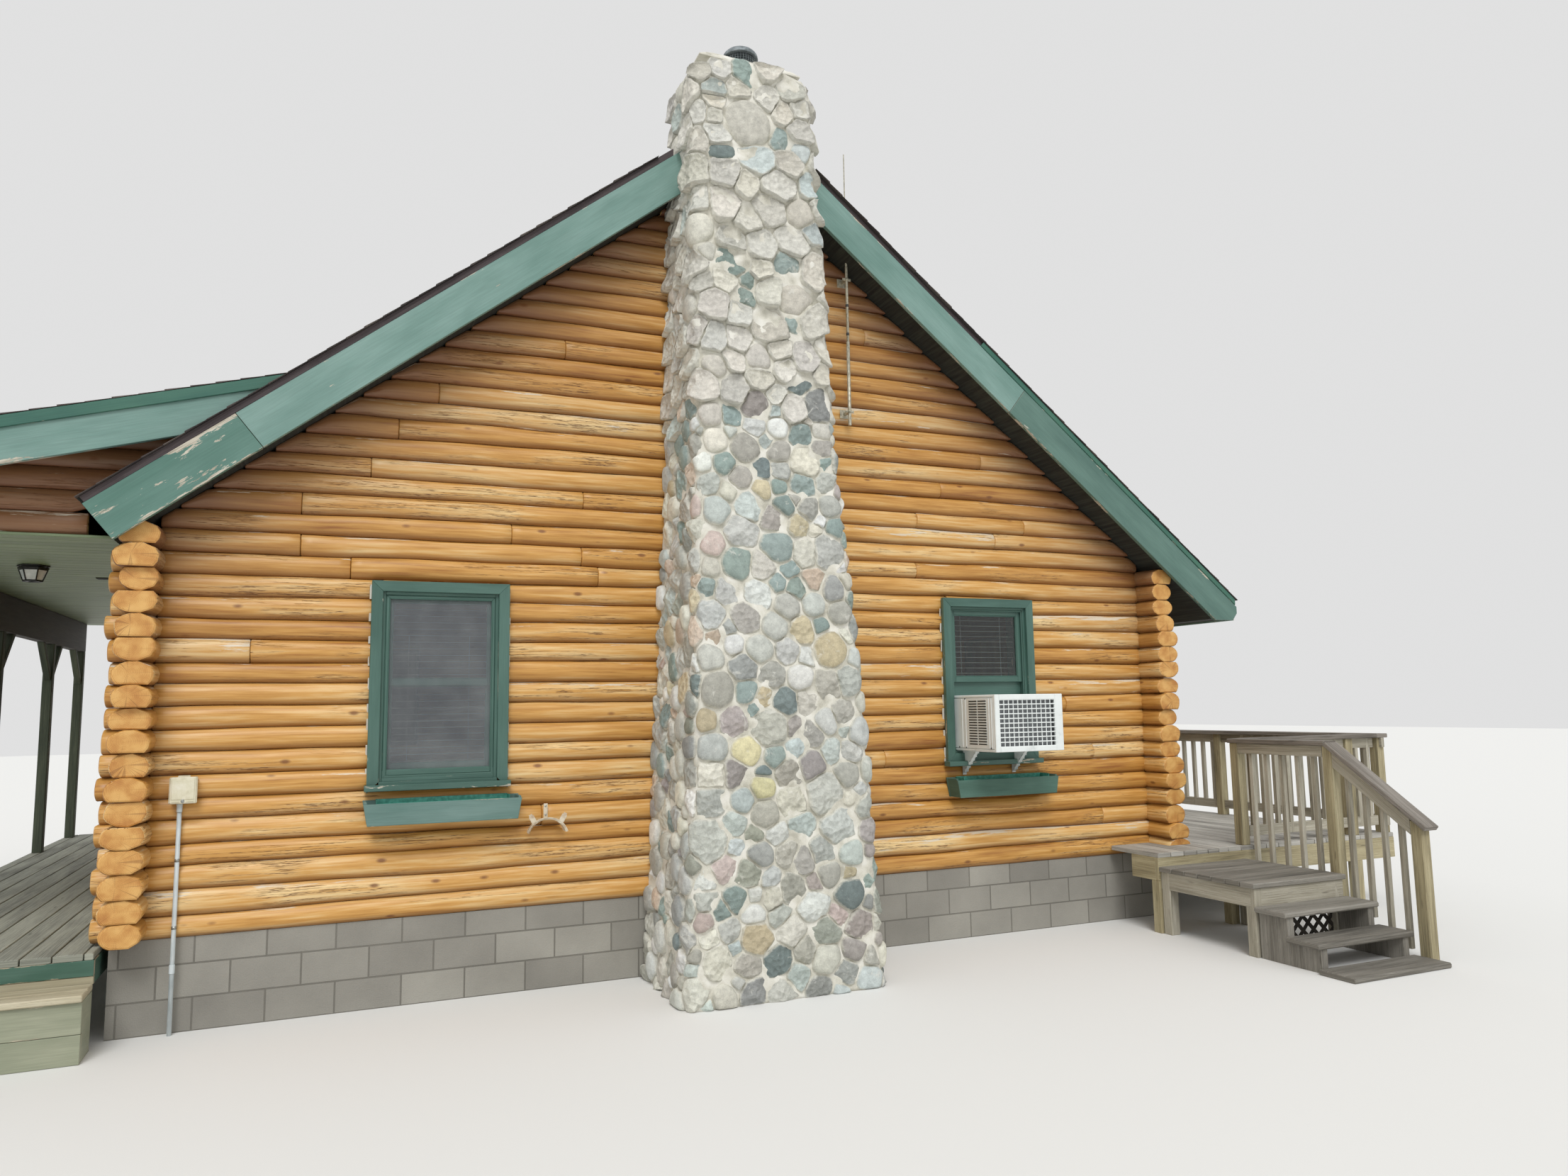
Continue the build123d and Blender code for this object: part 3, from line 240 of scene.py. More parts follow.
# %% [markdown]
# ### Paint and bare wood
#
# House paint on a rough board fails at its edges and ends first, where water gets in, and in flakes
# along the grain. So the mask of bare wood adds three things: noise stretched along the board, the
# distance from the middle of its face, and the wear given to that board. Under the paint the wood
# is pale grey-beige. Bare deck wood has streaks 4 to 8 mm wide, greyed by rain, and small checks.

# %% Materials of the boards
def read_marks(tree, wood):
    # The place on a board or log, and its three tones, as mark wrote them.
    place = add(tree, "Attribute", give="Vector", attribute_name=wood + "_space")
    tone = add(tree, "Attribute", give="Vector", attribute_name=wood + "_tone")
    return place, add(tree, "SeparateXYZ", [tone], give="all")


def streaks(tree, place, scale, detail=4.0, rough=0.6):
    # scale is how many streaks a metre holds along the wood, round it, and from piece to piece.
    drawn = add(tree, "VectorMath", [place, scale], operation="MULTIPLY")
    drawn = {"Vector": drawn, "Scale": 1.0, "Detail": detail, "Roughness": rough}
    return add(tree, "TexNoise", drawn)


def hairlines(tree, clouds, thin, wide, strength):
    # Thin lines where the clouds pass their middle value, as drying checks do.
    line = add(tree, "Math", [clouds, 0.5], operation="SUBTRACT")
    line = add(tree, "Math", [line], operation="ABSOLUTE")
    return add(tree, "MapRange", [line, thin, wide, strength, 0.0])


def knots(tree, place, scale, core, rim, strength):
    spots = add(tree, "VectorMath", [place, scale], operation="MULTIPLY")
    spots = add(tree, "TexVoronoi", {"Vector": spots, "Scale": 1.0})
    return add(tree, "MapRange", [spots, core, rim, strength, 0.0])


def painted_board(name, paint, faded, bare="#c9c2b2", peel=0.0, roughness=0.5):
    # Oil paint, brushed on: even colour that has chalked a little, and flakes.
    material, tree, shader = new_material(name, roughness, paint)
    place, tone = read_marks(tree, "wood")
    clouds = streaks(tree, place, (1.3, 5.0, 3.1), 3.0)
    body = add(tree, "ValToRGB", {"Fac": clouds}, stops=[(0.35, paint), (0.68, faded)])
    streak = streaks(tree, place, (5.0, 120.0, 1.3))
    shade = add(tree, "MapRange", [streak, 0.3, 0.7, 0.9, 1.06])
    body = add(tree, "VectorMath", {0: body, 3: shade}, operation="SCALE")
    flake = streaks(tree, place, (3.2, 15.0, 5.7), 7.0, 0.68)
    edge = add(tree, "Math", [tone[1]], operation="ABSOLUTE")
    edge = add(tree, "MapRange", [edge, 0.72, 1.0, 0.0, 0.13])
    flake = add(tree, "Math", [flake, edge], operation="ADD")
    flake = add(tree, "Math", [tone[2], 1.0, flake], operation="MULTIPLY_ADD")
    mask = add(tree, "MapRange", [flake, 0.735 - peel, 0.75 - peel])
    rim = add(tree, "MapRange", [flake, 0.715 - peel, 0.735 - peel, 0.0, 0.5])
    body = add(tree, "Mix", {0: rim, 6: body, 7: colour(faded)}, data_type="RGBA")
    wood = add(tree, "ValToRGB", {"Fac": streak}, stops=[(0.35, "#98907f"), (0.6, bare)])
    body = add(tree, "Mix", {0: mask, 6: body, 7: wood}, data_type="RGBA")
    rough = add(tree, "MapRange", [mask, 0.0, 1.0, roughness, 0.85])
    height = add(tree, "Math", [mask, -0.6, streak], operation="MULTIPLY_ADD")
    bump = add(tree, "Bump", {"Height": height, "Strength": 0.35, "Distance": 0.002})
    feed(shader, {"Base Color": body, "Roughness": rough, "Normal": bump})
    return material


def bare_board(name, dark, mid, light, tint=0.10, roughness=0.72):
    # Softwood with no film on it: streaks, checks and a knot here and there.
    material, tree, shader = new_material(name, roughness, mid)
    place, tone = read_marks(tree, "wood")
    streak = streaks(tree, place, (2.4, 130.0, 1.9), 5.0, 0.62)
    broad = streaks(tree, place, (1.2, 9.0, 2.7), 3.0)
    mixed = add(tree, "Math", [streak, 0.55], operation="MULTIPLY")
    mixed = add(tree, "Math", [broad, 0.45, mixed], operation="MULTIPLY_ADD")
    mixed = add(tree, "Math", [tone[0], tint, mixed], operation="MULTIPLY_ADD")
    body = add(tree, "ValToRGB", {"Fac": mixed}, stops=[(0.38, dark), (0.52, mid), (0.68, light)])
    knot = knots(tree, place, (2.2, 12.0, 1.7), 0.05, 0.11, 0.7)
    body = add(tree, "Mix", {0: knot, 6: body, 7: colour(dark)}, data_type="RGBA")
    line = streaks(tree, place, (1.6, 75.0, 2.9), 4.0, 0.7)
    line = hairlines(tree, line, 0.003, 0.012, 0.55)
    body = add(tree, "Mix", {0: line, 6: body, 7: colour(dark)}, data_type="RGBA")
    height = add(tree, "Math", [line, -0.7, streak], operation="MULTIPLY_ADD")
    bump = add(tree, "Bump", {"Height": height, "Strength": 0.45, "Distance": 0.002})
    feed(shader, {"Base Color": body, "Normal": bump})
    return material


teal_paint = painted_board("chalked_teal_house_paint", "#66887f", "#7c9b93", peel=0.015)
worn_teal_paint = painted_board("peeling_teal_house_paint", "#4d7468", "#5f8378", peel=0.10)
shaded_teal_paint = painted_board("shaded_teal_house_paint", "#4c6b62", "#5d7c72", peel=0.02)
green_trim_paint = painted_board("dark_green_trim_paint", "#2f5f52", "#44715f", peel=0.0)
window_green_paint = painted_board("semi_gloss_window_green", "#3f5f55", "#507066", peel=-0.02,
    roughness=0.42)
fascia_brown = bare_board("dark_stained_roof_edge", "#2c2523", "#41383a", "#524848")

# %% [markdown]
# ## Log walls
#
# The walls are stacked round pine logs, flattened where they meet. No two courses run quite
# straight, and long walls are made of several logs end to end. A displaced plane would give bumps
# but no real seams, so each log is its own closed tube: a ring of points, rounded on the outside
# and the inside and flat above and below, swept along the wall. Neighbours share the same wavy
# seam line, so they always fit, while each has its own thickness and its own hewn surface.
#
# Each point also carries its place on the log, which the wood material uses: how far along, how
# far around, and which log it is.

# %% Where the walls stand
COURSE = 0.140
BULGE = 0.038
WALL = 0.240
PITCH = 0.797
front_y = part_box("front_gable_wall")[0].y
back_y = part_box("back_gable_wall")[1].y
sill_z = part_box("front_gable_wall")[0].z
left_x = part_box("porch_side_wall")[0].x + 0.1
right_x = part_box("deck_side_wall")[1].x - 0.1
ridge_x = (left_x + right_x) / 2
roof_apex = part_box("right_roof_slope")[1].z
soffit_apex = roof_apex - 0.354
print("wall faces", left_x, right_x, front_y, back_y, "ridge", ridge_x, roof_apex)


def soffit(x):
    return soffit_apex - PITCH * abs(x - ridge_x)


def seam(course, s, seed):
    # Height of the joint under a course: level at the sill, and wavy above it.
    if course == 0:
        return sill_z
    slow = noise.noise((s * 0.45, course * 5.17, seed)) * 0.020
    quick = noise.noise((s * 1.9, course * 2.71, seed + 9)) * 0.007
    return sill_z + course * COURSE + slow + quick


# %% One log
OUTER = [-1, -0.93, -0.78, -0.5, -0.18, 0.18, 0.5, 0.78, 0.93, 1]
INNER = [1, 0.6, 0, -0.6, -1]


def round_face(t):
    # 0 at the crest of the log and 1 at its seam.
    return (1 - math.sqrt(1 - 0.88 * t * t)) / (1 - math.sqrt(1 - 0.88))


class Tubes:
    # Collects the points and faces of many logs, with what the wood material needs to know.
    def __init__(self):
        self.points, self.faces, self.kinds, self.space, self.tone = [], [], [], [], []

    def face(self, corners, kind, space, tone):
        self.faces.append(corners)
        self.kinds.append(kind)
        self.space.extend(space)
        self.tone.extend(tone)

    def log(self, place, a, b, low, high, number, spacing, flare=(0, 0), shade=None):
        # low and high give the log's underside and top at each s. flare rounds an open end more.
        # shade(s, z) is painted shadow from a roof over the log, 0 to 1; the wood material darkens
        # by it.
        random_log = random.Random(number * 7919 + 13)
        crest = random_log.uniform(-0.004, 0.011)
        tone = random_log.random()
        # Open ends were cut by eye: each is a little short, and flat below, flat above or round.
        a += random_log.uniform(0.0, 0.018) if flare[0] else 0.0
        b -= random_log.uniform(0.0, 0.018) if flare[1] else 0.0
        flat_side = random_log.choice((-1, -1, 0, 1))
        spare = random_log.uniform(-0.012, 0.020)
        count = max(2, math.ceil((b - a) / spacing))
        stations = [a, a + 0.006] + [a + (b - a) * j / count for j in range(1, count)] + [b - 0.006,
            b]
        ring_size = len(OUTER) + len(INNER)
        first = len(self.points)
        rows = []
        for s in stations:
            zl, zh = low(s) + 0.001, high(s) - 0.001
            half, middle = max((zh - zl) / 2, 0.0005), (zh + zl) / 2
            full = min(1.0, 2 * half / COURSE)
            at_end = 1.0 if s in (a, b) else 0.0
            swell = 0.0
            if flare[0]:
                swell = max(swell, 1 - (s - a) / 0.32)
            if flare[1]:
                swell = max(swell, 1 - (b - s) / 0.32)
            row = []
            around = 0.0
            for k, t in enumerate(OUTER):
                z = middle + half * t * (1 - 0.05 * at_end)
                lean = (0.45 if t * flat_side < 0 else -0.55) * abs(flat_side)
                turn = round_face(t) * (1 + max(swell, 0) * lean)
                depth = crest + (BULGE + 0.024 * max(swell, 0)) * full * turn + 0.005 * at_end
                depth += spare * max(swell, 0)
                rough = noise.noise((s * 2.3, t * 0.8 + number * 3.3, number)) * 0.007
                rough += noise.noise((s * 9.0, t * 2.2, number + 50)) * 0.003
                self.points.append(place(s, depth + rough * full, z))
                row.append((around, t))
                around += COURSE / len(OUTER) * 1.2
            for t in INNER:
                z = middle + half * t
                lean = (0.45 if t * flat_side < 0 else -0.55) * abs(flat_side)
                turn = round_face(t) * (1 + max(swell, 0) * lean)
                depth = WALL - (BULGE + 0.024 * max(swell, 0)) * full * turn - 0.005 * at_end
                self.points.append(place(s, depth, z))
                row.append((around, t))
                around += COURSE / len(INNER) * 1.2
            rows.append((s, row, middle))
        roof_shadow = shade or (lambda s, z: 0.0)
        for j in range(len(stations) - 1):
            base = first + j * ring_size
            (s1, r1, m1), (s2, r2, m2) = rows[j], rows[j + 1]
            roof_shadow_start, roof_shadow_end = roof_shadow(s1, m1), roof_shadow(s2, m2)
            for k in range(ring_size):
                n = (k + 1) % ring_size
                a1 = r1[k][0]
                a2 = r1[n][0] if n else a1 + 0.02
                self.face((base + k, base + n, base + ring_size + n, base + ring_size + k), 0,
                    ((s1, a1, number), (s1, a2, number), (s2, a2, number), (s2, a1, number)),
                    ((tone, r1[k][1], roof_shadow_start), (tone, r1[n][1], roof_shadow_start), (tone, r1[n][1], roof_shadow_end),
                    (tone, r1[k][1], roof_shadow_end)))
        for end, station in ((0, 0), (1, len(stations) - 1)):
            self.cap(first + station * ring_size, ring_size, end, flare[end], number, tone)

    def cap(self, base, size, end, open_end, number, tone):
        ring = list(range(base, base + size))
        centre = sum((Vector(self.points[i]) for i in ring), Vector()) / size
        kind = 1 if open_end else 0
        if open_end:
            outward = (Vector(self.points[base]) - Vector(self.points[base + (size if end == 0
                else -size)]))
            outward.normalize()
            inner = []
            for i in ring:
                p = Vector(self.points[i])
                inner.append(len(self.points))
                self.points.append(tuple(p + (centre - p) * 0.09 + outward * 0.007))
            for k in range(size):
                n = (k + 1) % size
                corners = [ring[k], ring[n], inner[n], inner[k]]
                self.add_cap_face(corners if end == 1 else corners[::-1], kind, centre, number,
                    tone)
            ring = inner
            centre = centre + outward * 0.008
        hub = len(self.points)
        self.points.append(tuple(centre))
        for k in range(size):
            n = (k + 1) % size
            corners = [ring[k], ring[n], hub]
            self.add_cap_face(corners if end == 1 else corners[::-1], kind, centre, number, tone)

    def add_cap_face(self, corners, kind, centre, number, tone):
        # On a sawn end the place on the log is measured from its heart.
        space = []
        for i in corners:
            p = Vector(self.points[i]) - centre
            space.append((p.x + p.y, p.z, number))
        self.face(tuple(corners), kind, space, [(tone, 0, 0)] * len(corners))

    def piece(self, name, node, materials):
        piece = new_piece(name, self.points, self.faces, materials, node, self.kinds)
        piece.data.polygons.foreach_set("use_smooth", [kind == 0 for kind in self.kinds])
        return mark(piece, log_space=self.space, log_tone=self.tone)


# %% One wall of logs
def split(a, b, cuts):
    marks = [a] + sorted(c for c in cuts if a + 0.15 < c < b - 0.15) + [b]
    return list(zip(marks[:-1], marks[1:]))


def lay_wall(tubes, place, courses, ends, openings, joints, seed, spacing, top=None, flare=0):
    # ends(course) gives the reach of a course. openings are (from, to, low, high).
    for course in range(courses):
        a, b = ends(course)
        if b - a < 0.12:
            continue
        z0, z1 = sill_z + course * COURSE, sill_z + (course + 1) * COURSE
        pieces = [(p, q, -9.0, 99.0) for p, q in split(a, b, joints(course))]
        for o0, o1, low, high in openings:
            if high < z0 + 0.01 or low > z1 - 0.01:
                continue
            kept = []
            for p, q, c0, c1 in pieces:
                if q <= o0 or p >= o1:
                    kept.append((p, q, c0, c1))
                    continue
                if p < o0:
                    kept.append((p, o0, c0, c1))
                if low > z0 + 0.02:
                    kept.append((max(p, o0), min(q, o1), c0, low))
                if high < z1 - 0.02:
                    kept.append((max(p, o0), min(q, o1), high, c1))
                if q > o1:
                    kept.append((o1, q, c0, c1))
            pieces = kept
        for k, (p, q, c0, c1) in enumerate(pieces):
            roof = top or (lambda s: 99.0)
            low = lambda s, n=course, c=c0: max(seam(n, s, seed), c)
            high = lambda s, n=course, c=c1: min(seam(n + 1, s, seed), c, roof(s))
            open_ends = (flare and p == a, flare and q == b)
            # Under a roof the logs get painted shadow, full at the roof line and fading over about
            # half a metre below it.
            shade = (lambda s, z: math.exp(-max(roof(s) - z, 0) / 0.48)) if top else None
            tubes.log(place, p + 0.0015, q - 0.0015, low, high, seed * 1000 + course * 10 + k,
                spacing, open_ends, shade)


# %% [markdown]
# ### Stained pine
#
# The logs are peeled pine under a translucent orange-brown stain. The eye reads three things:
# long streaks where the stain took unevenly, fine dark drying checks along the grain, and a darker
# lower half, which is painted shade on the underside of each log. Near a roof the logs also get
# painted shadow. Where the film has broken, the wood under it has turned pale and grey. All
# patterns are stretched along the log: grain lines sit about 8 mm apart around it and run for half
# a metre.

# %% Materials of the logs
def log_stain(name, light, dark):
    material, tree, shader = new_material(name, 0.48, light)
    place, tone = read_marks(tree, "log")
    # Streaks: 0.5 m long and 8 mm wide.
    streak = streaks(tree, place, (2.0, 60.0, 1.7))
    broad = streaks(tree, place, (1.1, 7.0, 1.3), 3.0, 0.5)
    mixed = add(tree, "Math", [streak, 0.55], operation="MULTIPLY")
    mixed = add(tree, "Math", [broad, 0.45, mixed], operation="MULTIPLY_ADD")
    toned = add(tree, "Math", [tone[0], 0.16, mixed], operation="MULTIPLY_ADD")
    body = add(tree, "ValToRGB", {"Fac": toned}, stops=[(0.36, dark), (0.47, "#b9853f"),
        (0.58, light), (0.76, "#e8ca93")])
    # Painted shade on the underside of each log, darkest at its lower seam: tone y runs from
    # -1 at the lower seam to 1 at the upper one.
    low = add(tree, "MapRange", [tone[1], -0.35, -1.0, 0.0, 0.78], interpolation_type="SMOOTHSTEP")
    body = add(tree, "Mix", {0: low, 6: body, 7: colour("#7d4f26")}, data_type="RGBA")
    # Painted shadow of the roof: logs close under the roof line, and the porch siding,
    # are darkened towards a deep brown by tone z.
    kept = add(tree, "Math", [tone[2], 0.95], operation="MULTIPLY")
    body = add(tree, "Mix", {0: kept, 6: body, 7: colour("#744c36")}, data_type="RGBA")
    # Drying checks: dark hairlines along the grain, here 2 mm wide so that they show.
    fine = streaks(tree, place, (0.9, 42.0, 3.1), 5.0, 0.7)
    check = hairlines(tree, fine, 0.004, 0.016, 1.0)
    gate = add(tree, "MapRange", [broad, 0.52, 0.6])
    check = add(tree, "Math", [check, gate], operation="MULTIPLY")
    body = add(tree, "Mix", {0: check, 6: body, 7: colour("#6a4222")}, data_type="RGBA")
    # Knots: about one in half a metre, 25 mm across, longer along the log.
    knot = knots(tree, place, (3.0, 9.0, 1.9), 0.05, 0.12, 0.85)
    body = add(tree, "Mix", {0: knot, 6: body, 7: colour("#7a4b26")}, data_type="RGBA")
    # Broken film: pale grey wood, in patches on the upper half of the more weathered logs.
    worn = streaks(tree, place, (1.4, 22.0, 2.3), 6.0, 0.7)
    upper = add(tree, "MapRange", [tone[1], 0.2, 1.0, 0.0, 0.13])
    worn = add(tree, "Math", [worn, upper], operation="ADD")
    # About one log in twelve has lost much of its film.
    bare = add(tree, "MapRange", [tone[0], 0.91, 0.93, 0.0, 0.09])
    worn = add(tree, "Math", [worn, bare], operation="ADD")
    worn = add(tree, "MapRange", [worn, 0.7, 0.74, 0.0, 0.85])
    body = add(tree, "Mix", {0: worn, 6: body, 7: colour("#d6cdbb")}, data_type="RGBA")
    rough = add(tree, "MapRange", [streak, 0.0, 1.0, 0.3, 0.52])
    height = add(tree, "Math", [check, -0.8, streak], operation="MULTIPLY_ADD")
    bump = add(tree, "Bump", {"Height": height, "Strength": 0.5, "Distance": 0.004})
    feed(shader, {"Base Color": body, "Roughness": rough, "Normal": bump})
    return material


def sawn_end(name):
    # Chainsawn pine, sealed with the same stain: rings 6 mm apart and a few radial cracks.
    material, tree, shader = new_material(name, 0.6, "#c8843c")
    place = add(tree, "Attribute", give="Vector", attribute_name="log_space")
    axes = add(tree, "SeparateXYZ", [place], give="all")
    wobble = add(tree, "TexNoise", {"Vector": place, "Scale": 14.0, "Detail": 3.0})
    flat = add(tree, "VectorMath", [place, (1.0, 1.0, 0.0)], operation="MULTIPLY")
    away = add(tree, "VectorMath", [flat], operation="LENGTH")
    away = add(tree, "Math", [wobble, 0.016, away], operation="MULTIPLY_ADD")
    ring = add(tree, "Math", [away, 1050.0], operation="MULTIPLY")
    ring = add(tree, "Math", [ring], operation="SINE")
    patch = add(tree, "TexNoise", {"Vector": place, "Scale": 9.0, "Detail": 4.0})
    mixed = add(tree, "Math", [ring, 0.09, patch], operation="MULTIPLY_ADD")
    body = add(tree, "ValToRGB", {"Fac": mixed}, stops=[(0.3, "#b0763a"), (0.48, "#c8934e"),
        (0.64, "#d9ab66")])
    angle = add(tree, "Math", [axes[1], axes[0]], operation="ARCTAN2")
    turned = add(tree, "CombineXYZ", [angle, 0.0, axes[2]])
    crack = add(tree, "TexNoise", {"Vector": turned, "Scale": 0.6, "Detail": 2.0, "Roughness": 0.4})
    crack = hairlines(tree, crack, 0.0008, 0.003, 0.45)
    body = add(tree, "Mix", {0: crack, 6: body, 7: colour("#7f5026")}, data_type="RGBA")
    bump = add(tree, "Bump", {"Height": mixed, "Strength": 0.4, "Distance": 0.003})
    feed(shader, {"Base Color": body, "Normal": bump})
    return material


stained_pine = log_stain("stained_pine_log", "#cf9c54", "#945b29")
sawn_pine = sawn_end("sawn_pine_end")

# %% Front gable
window_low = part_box("front_window_frames")[0].z + 0.125
window_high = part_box("front_window_frames")[1].z - 0.070
WINDOW_HALF = 0.381
left_window_x, right_window_x = ridge_x - 2.206, ridge_x + 2.230
# Where two logs of the front gable meet end to end: the course, and the places along it.
front_joints = {
    2: [3.45], 4: [-1.44], 6: [1.29, 3.38], 9: [3.1], 12: [-3.3], 16: [-2.72, -1.05],
    17: [-3.03, -1.17, 1.63], 18: [-1.67], 19: [-3.03, 2.42], 20: [-1.16, 1.65, 2.73],
    21: [-2.61], 22: [1.89], 23: [-2.44], 24: [2.31], 25: [-2.18], 28: [-1.3], 31: [1.2],
}
gable_from, gable_to = left_x + WALL - BULGE, right_x - WALL + BULGE
gable_courses = math.ceil((soffit_apex - sill_z) / COURSE)


def window_opening(middle):
    return middle - WINDOW_HALF, middle + WINDOW_HALF, window_low, window_high


def gable_ends(course):
    spread = (soffit_apex - (sill_z + course * COURSE + 0.015)) / PITCH
    return max(gable_from, ridge_x - spread), min(gable_to, ridge_x + spread)


gable_windows = [window_opening(left_window_x), window_opening(right_window_x)]
front_logs = Tubes()
lay_wall(front_logs, lambda s, d, z: (s, front_y + d, z), gable_courses, gable_ends, gable_windows,
    lambda c: [0.02 * (c % 5)] + front_joints.get(c, []), 1, 0.075, top=soffit)
front_logs.piece("front_gable_logs", "front_gable_wall", [stained_pine, sawn_pine])

# %% Back gable
back_logs = Tubes()
lay_wall(back_logs, lambda s, d, z: (s, back_y - d, z), gable_courses, gable_ends, gable_windows,
    lambda c: [-2.4 + (c * 1.37) % 2.0, 0.9 + (c * 0.83) % 2.1], 2, 0.12, top=soffit)
back_logs.piece("back_gable_logs", "back_gable_wall", [stained_pine, sawn_pine])

# %% [markdown]
# The long walls run past the gables, so their log ends stack up in a column at each corner.
# Builders saw them by eye, so each end stops at its own distance and swells a little where it is
# free. Short stubs of the gable logs show on the outer side of each column.

# %% Long walls with their log ends
eave_window_y = front_y + 0.587 * (back_y - front_y)
for side, node, door in ((1, "porch_side_wall", "porch_door"), (-1, "deck_side_wall", "deck_door")):
    logs = Tubes()
    outer = left_x if side > 0 else right_x
    reach = random.Random(5 + side)
    front_reach = [reach.uniform(-0.035, 0.030) for _ in range(30)]
    log_front, log_back = (corner.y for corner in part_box(node))
    door_low, door_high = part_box(door)
    door_opening = door_low.y, door_high.y, door_low.z, door_high.z

    def long_ends(course):
        return log_front + 0.02 + front_reach[course], log_back - 0.02 - front_reach[-course - 1]

    def place(s, d, z, side=side, outer=outer):
        return (outer + side * d, s, z)

    eave_top = soffit(left_x + 0.09)
    lay_wall(logs, place, 18, long_ends, [window_opening(eave_window_y), door_opening],
        lambda c: [2.2 + (c * 1.13) % 1.7, 5.3 + (c * 0.77) % 1.5], 3 + side, 0.085,
        top=lambda s: eave_top + 0.02, flare=1)
    for n, near in ((0, front_y), (1, back_y - WALL)):
        def stub(s, d, z, near=near, side=side, outer=outer):
            return (outer - side * s, near + d, z)
        lay_wall(logs, stub, 17, lambda c: (-0.10, 0.060 + front_reach[c + 5] * 0.8), [],
            lambda c: [], 20 + n + side, 0.05, flare=1)
    logs.piece(node + "_logs", node, [stained_pine, sawn_pine])

# %% [markdown]
# ## Fieldstone chimney
#
# The chimney is a tapering mortar core faced with stones from the field: rounded cobbles low down,
# larger and rougher pieces high up, set so close that mortar only shows as a pale net. Copies of a
# few modelled stones would not fit each other. Here the face is unrolled to a flat sheet, stones
# are dropped on it, and each one grows until it meets the line it shares with its neighbours, as in
# a power diagram. Its outline is that many-sided cell with softened corners, pulled in by half a
# joint, and its face rises from the mortar like a shallow loaf.
#
# The stones that catch the eye in the real chimney are listed, as middle and half size in
# millimetres on the unrolled face, and the random ones fill the rest.

# %% The tapering core
LEVELS = [(0.0, 0.72, 0.50), (2.10, 0.62, 0.46), (3.85, 0.545, 0.24)]
chimney_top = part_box("chimney")[1].z
LEVELS.append((chimney_top, 0.475, 0.06))
CORNER = 0.09
JOINT = 0.003


def chimney_size(z):
    # Half width, and how far the front face stands forward of the origin.
    for (z0, w0, y0), (z1, w1, y1) in zip(LEVELS, LEVELS[1:]):
        if z <= z1:
            t = (z - z0) / (z1 - z0)
            return w0 + (w1 - w0) * t, y0 + (y1 - y0) * t
    return LEVELS[-1][1], LEVELS[-1][2]


def chimney_place(u, z, out):
    # From the unrolled sheet to space: u runs both ways from the middle of the front.
    half, forward = chimney_size(z)
    a, turn = abs(u), math.copysign(1, u)
    flat, arc = half - CORNER, CORNER * math.pi / 2
    if a <= flat:
        x, y, nx, ny = a, -forward, 0, -1
    elif a <= flat + arc:
        angle = (a - flat) / CORNER
        nx, ny = math.sin(angle), -math.cos(angle)
        x, y = flat + CORNER * nx, -forward + CORNER + CORNER * ny
    else:
        x, y, nx, ny = half, -forward + CORNER + a - flat - arc, 1, 0
    return turn * (x + nx * out), y + ny * out, z


def half_sheet(z):
    half, forward = chimney_size(z)
    return half - CORNER + CORNER * math.pi / 2 + front_y + forward - CORNER


def top_line(u):
    # The stack is lower at its corners, more so at the left one.
    return chimney_top - 0.03 - (0.36 if u < 0 else 0.24) * max(0.0, min(abs(u), 0.5) - 0.16)


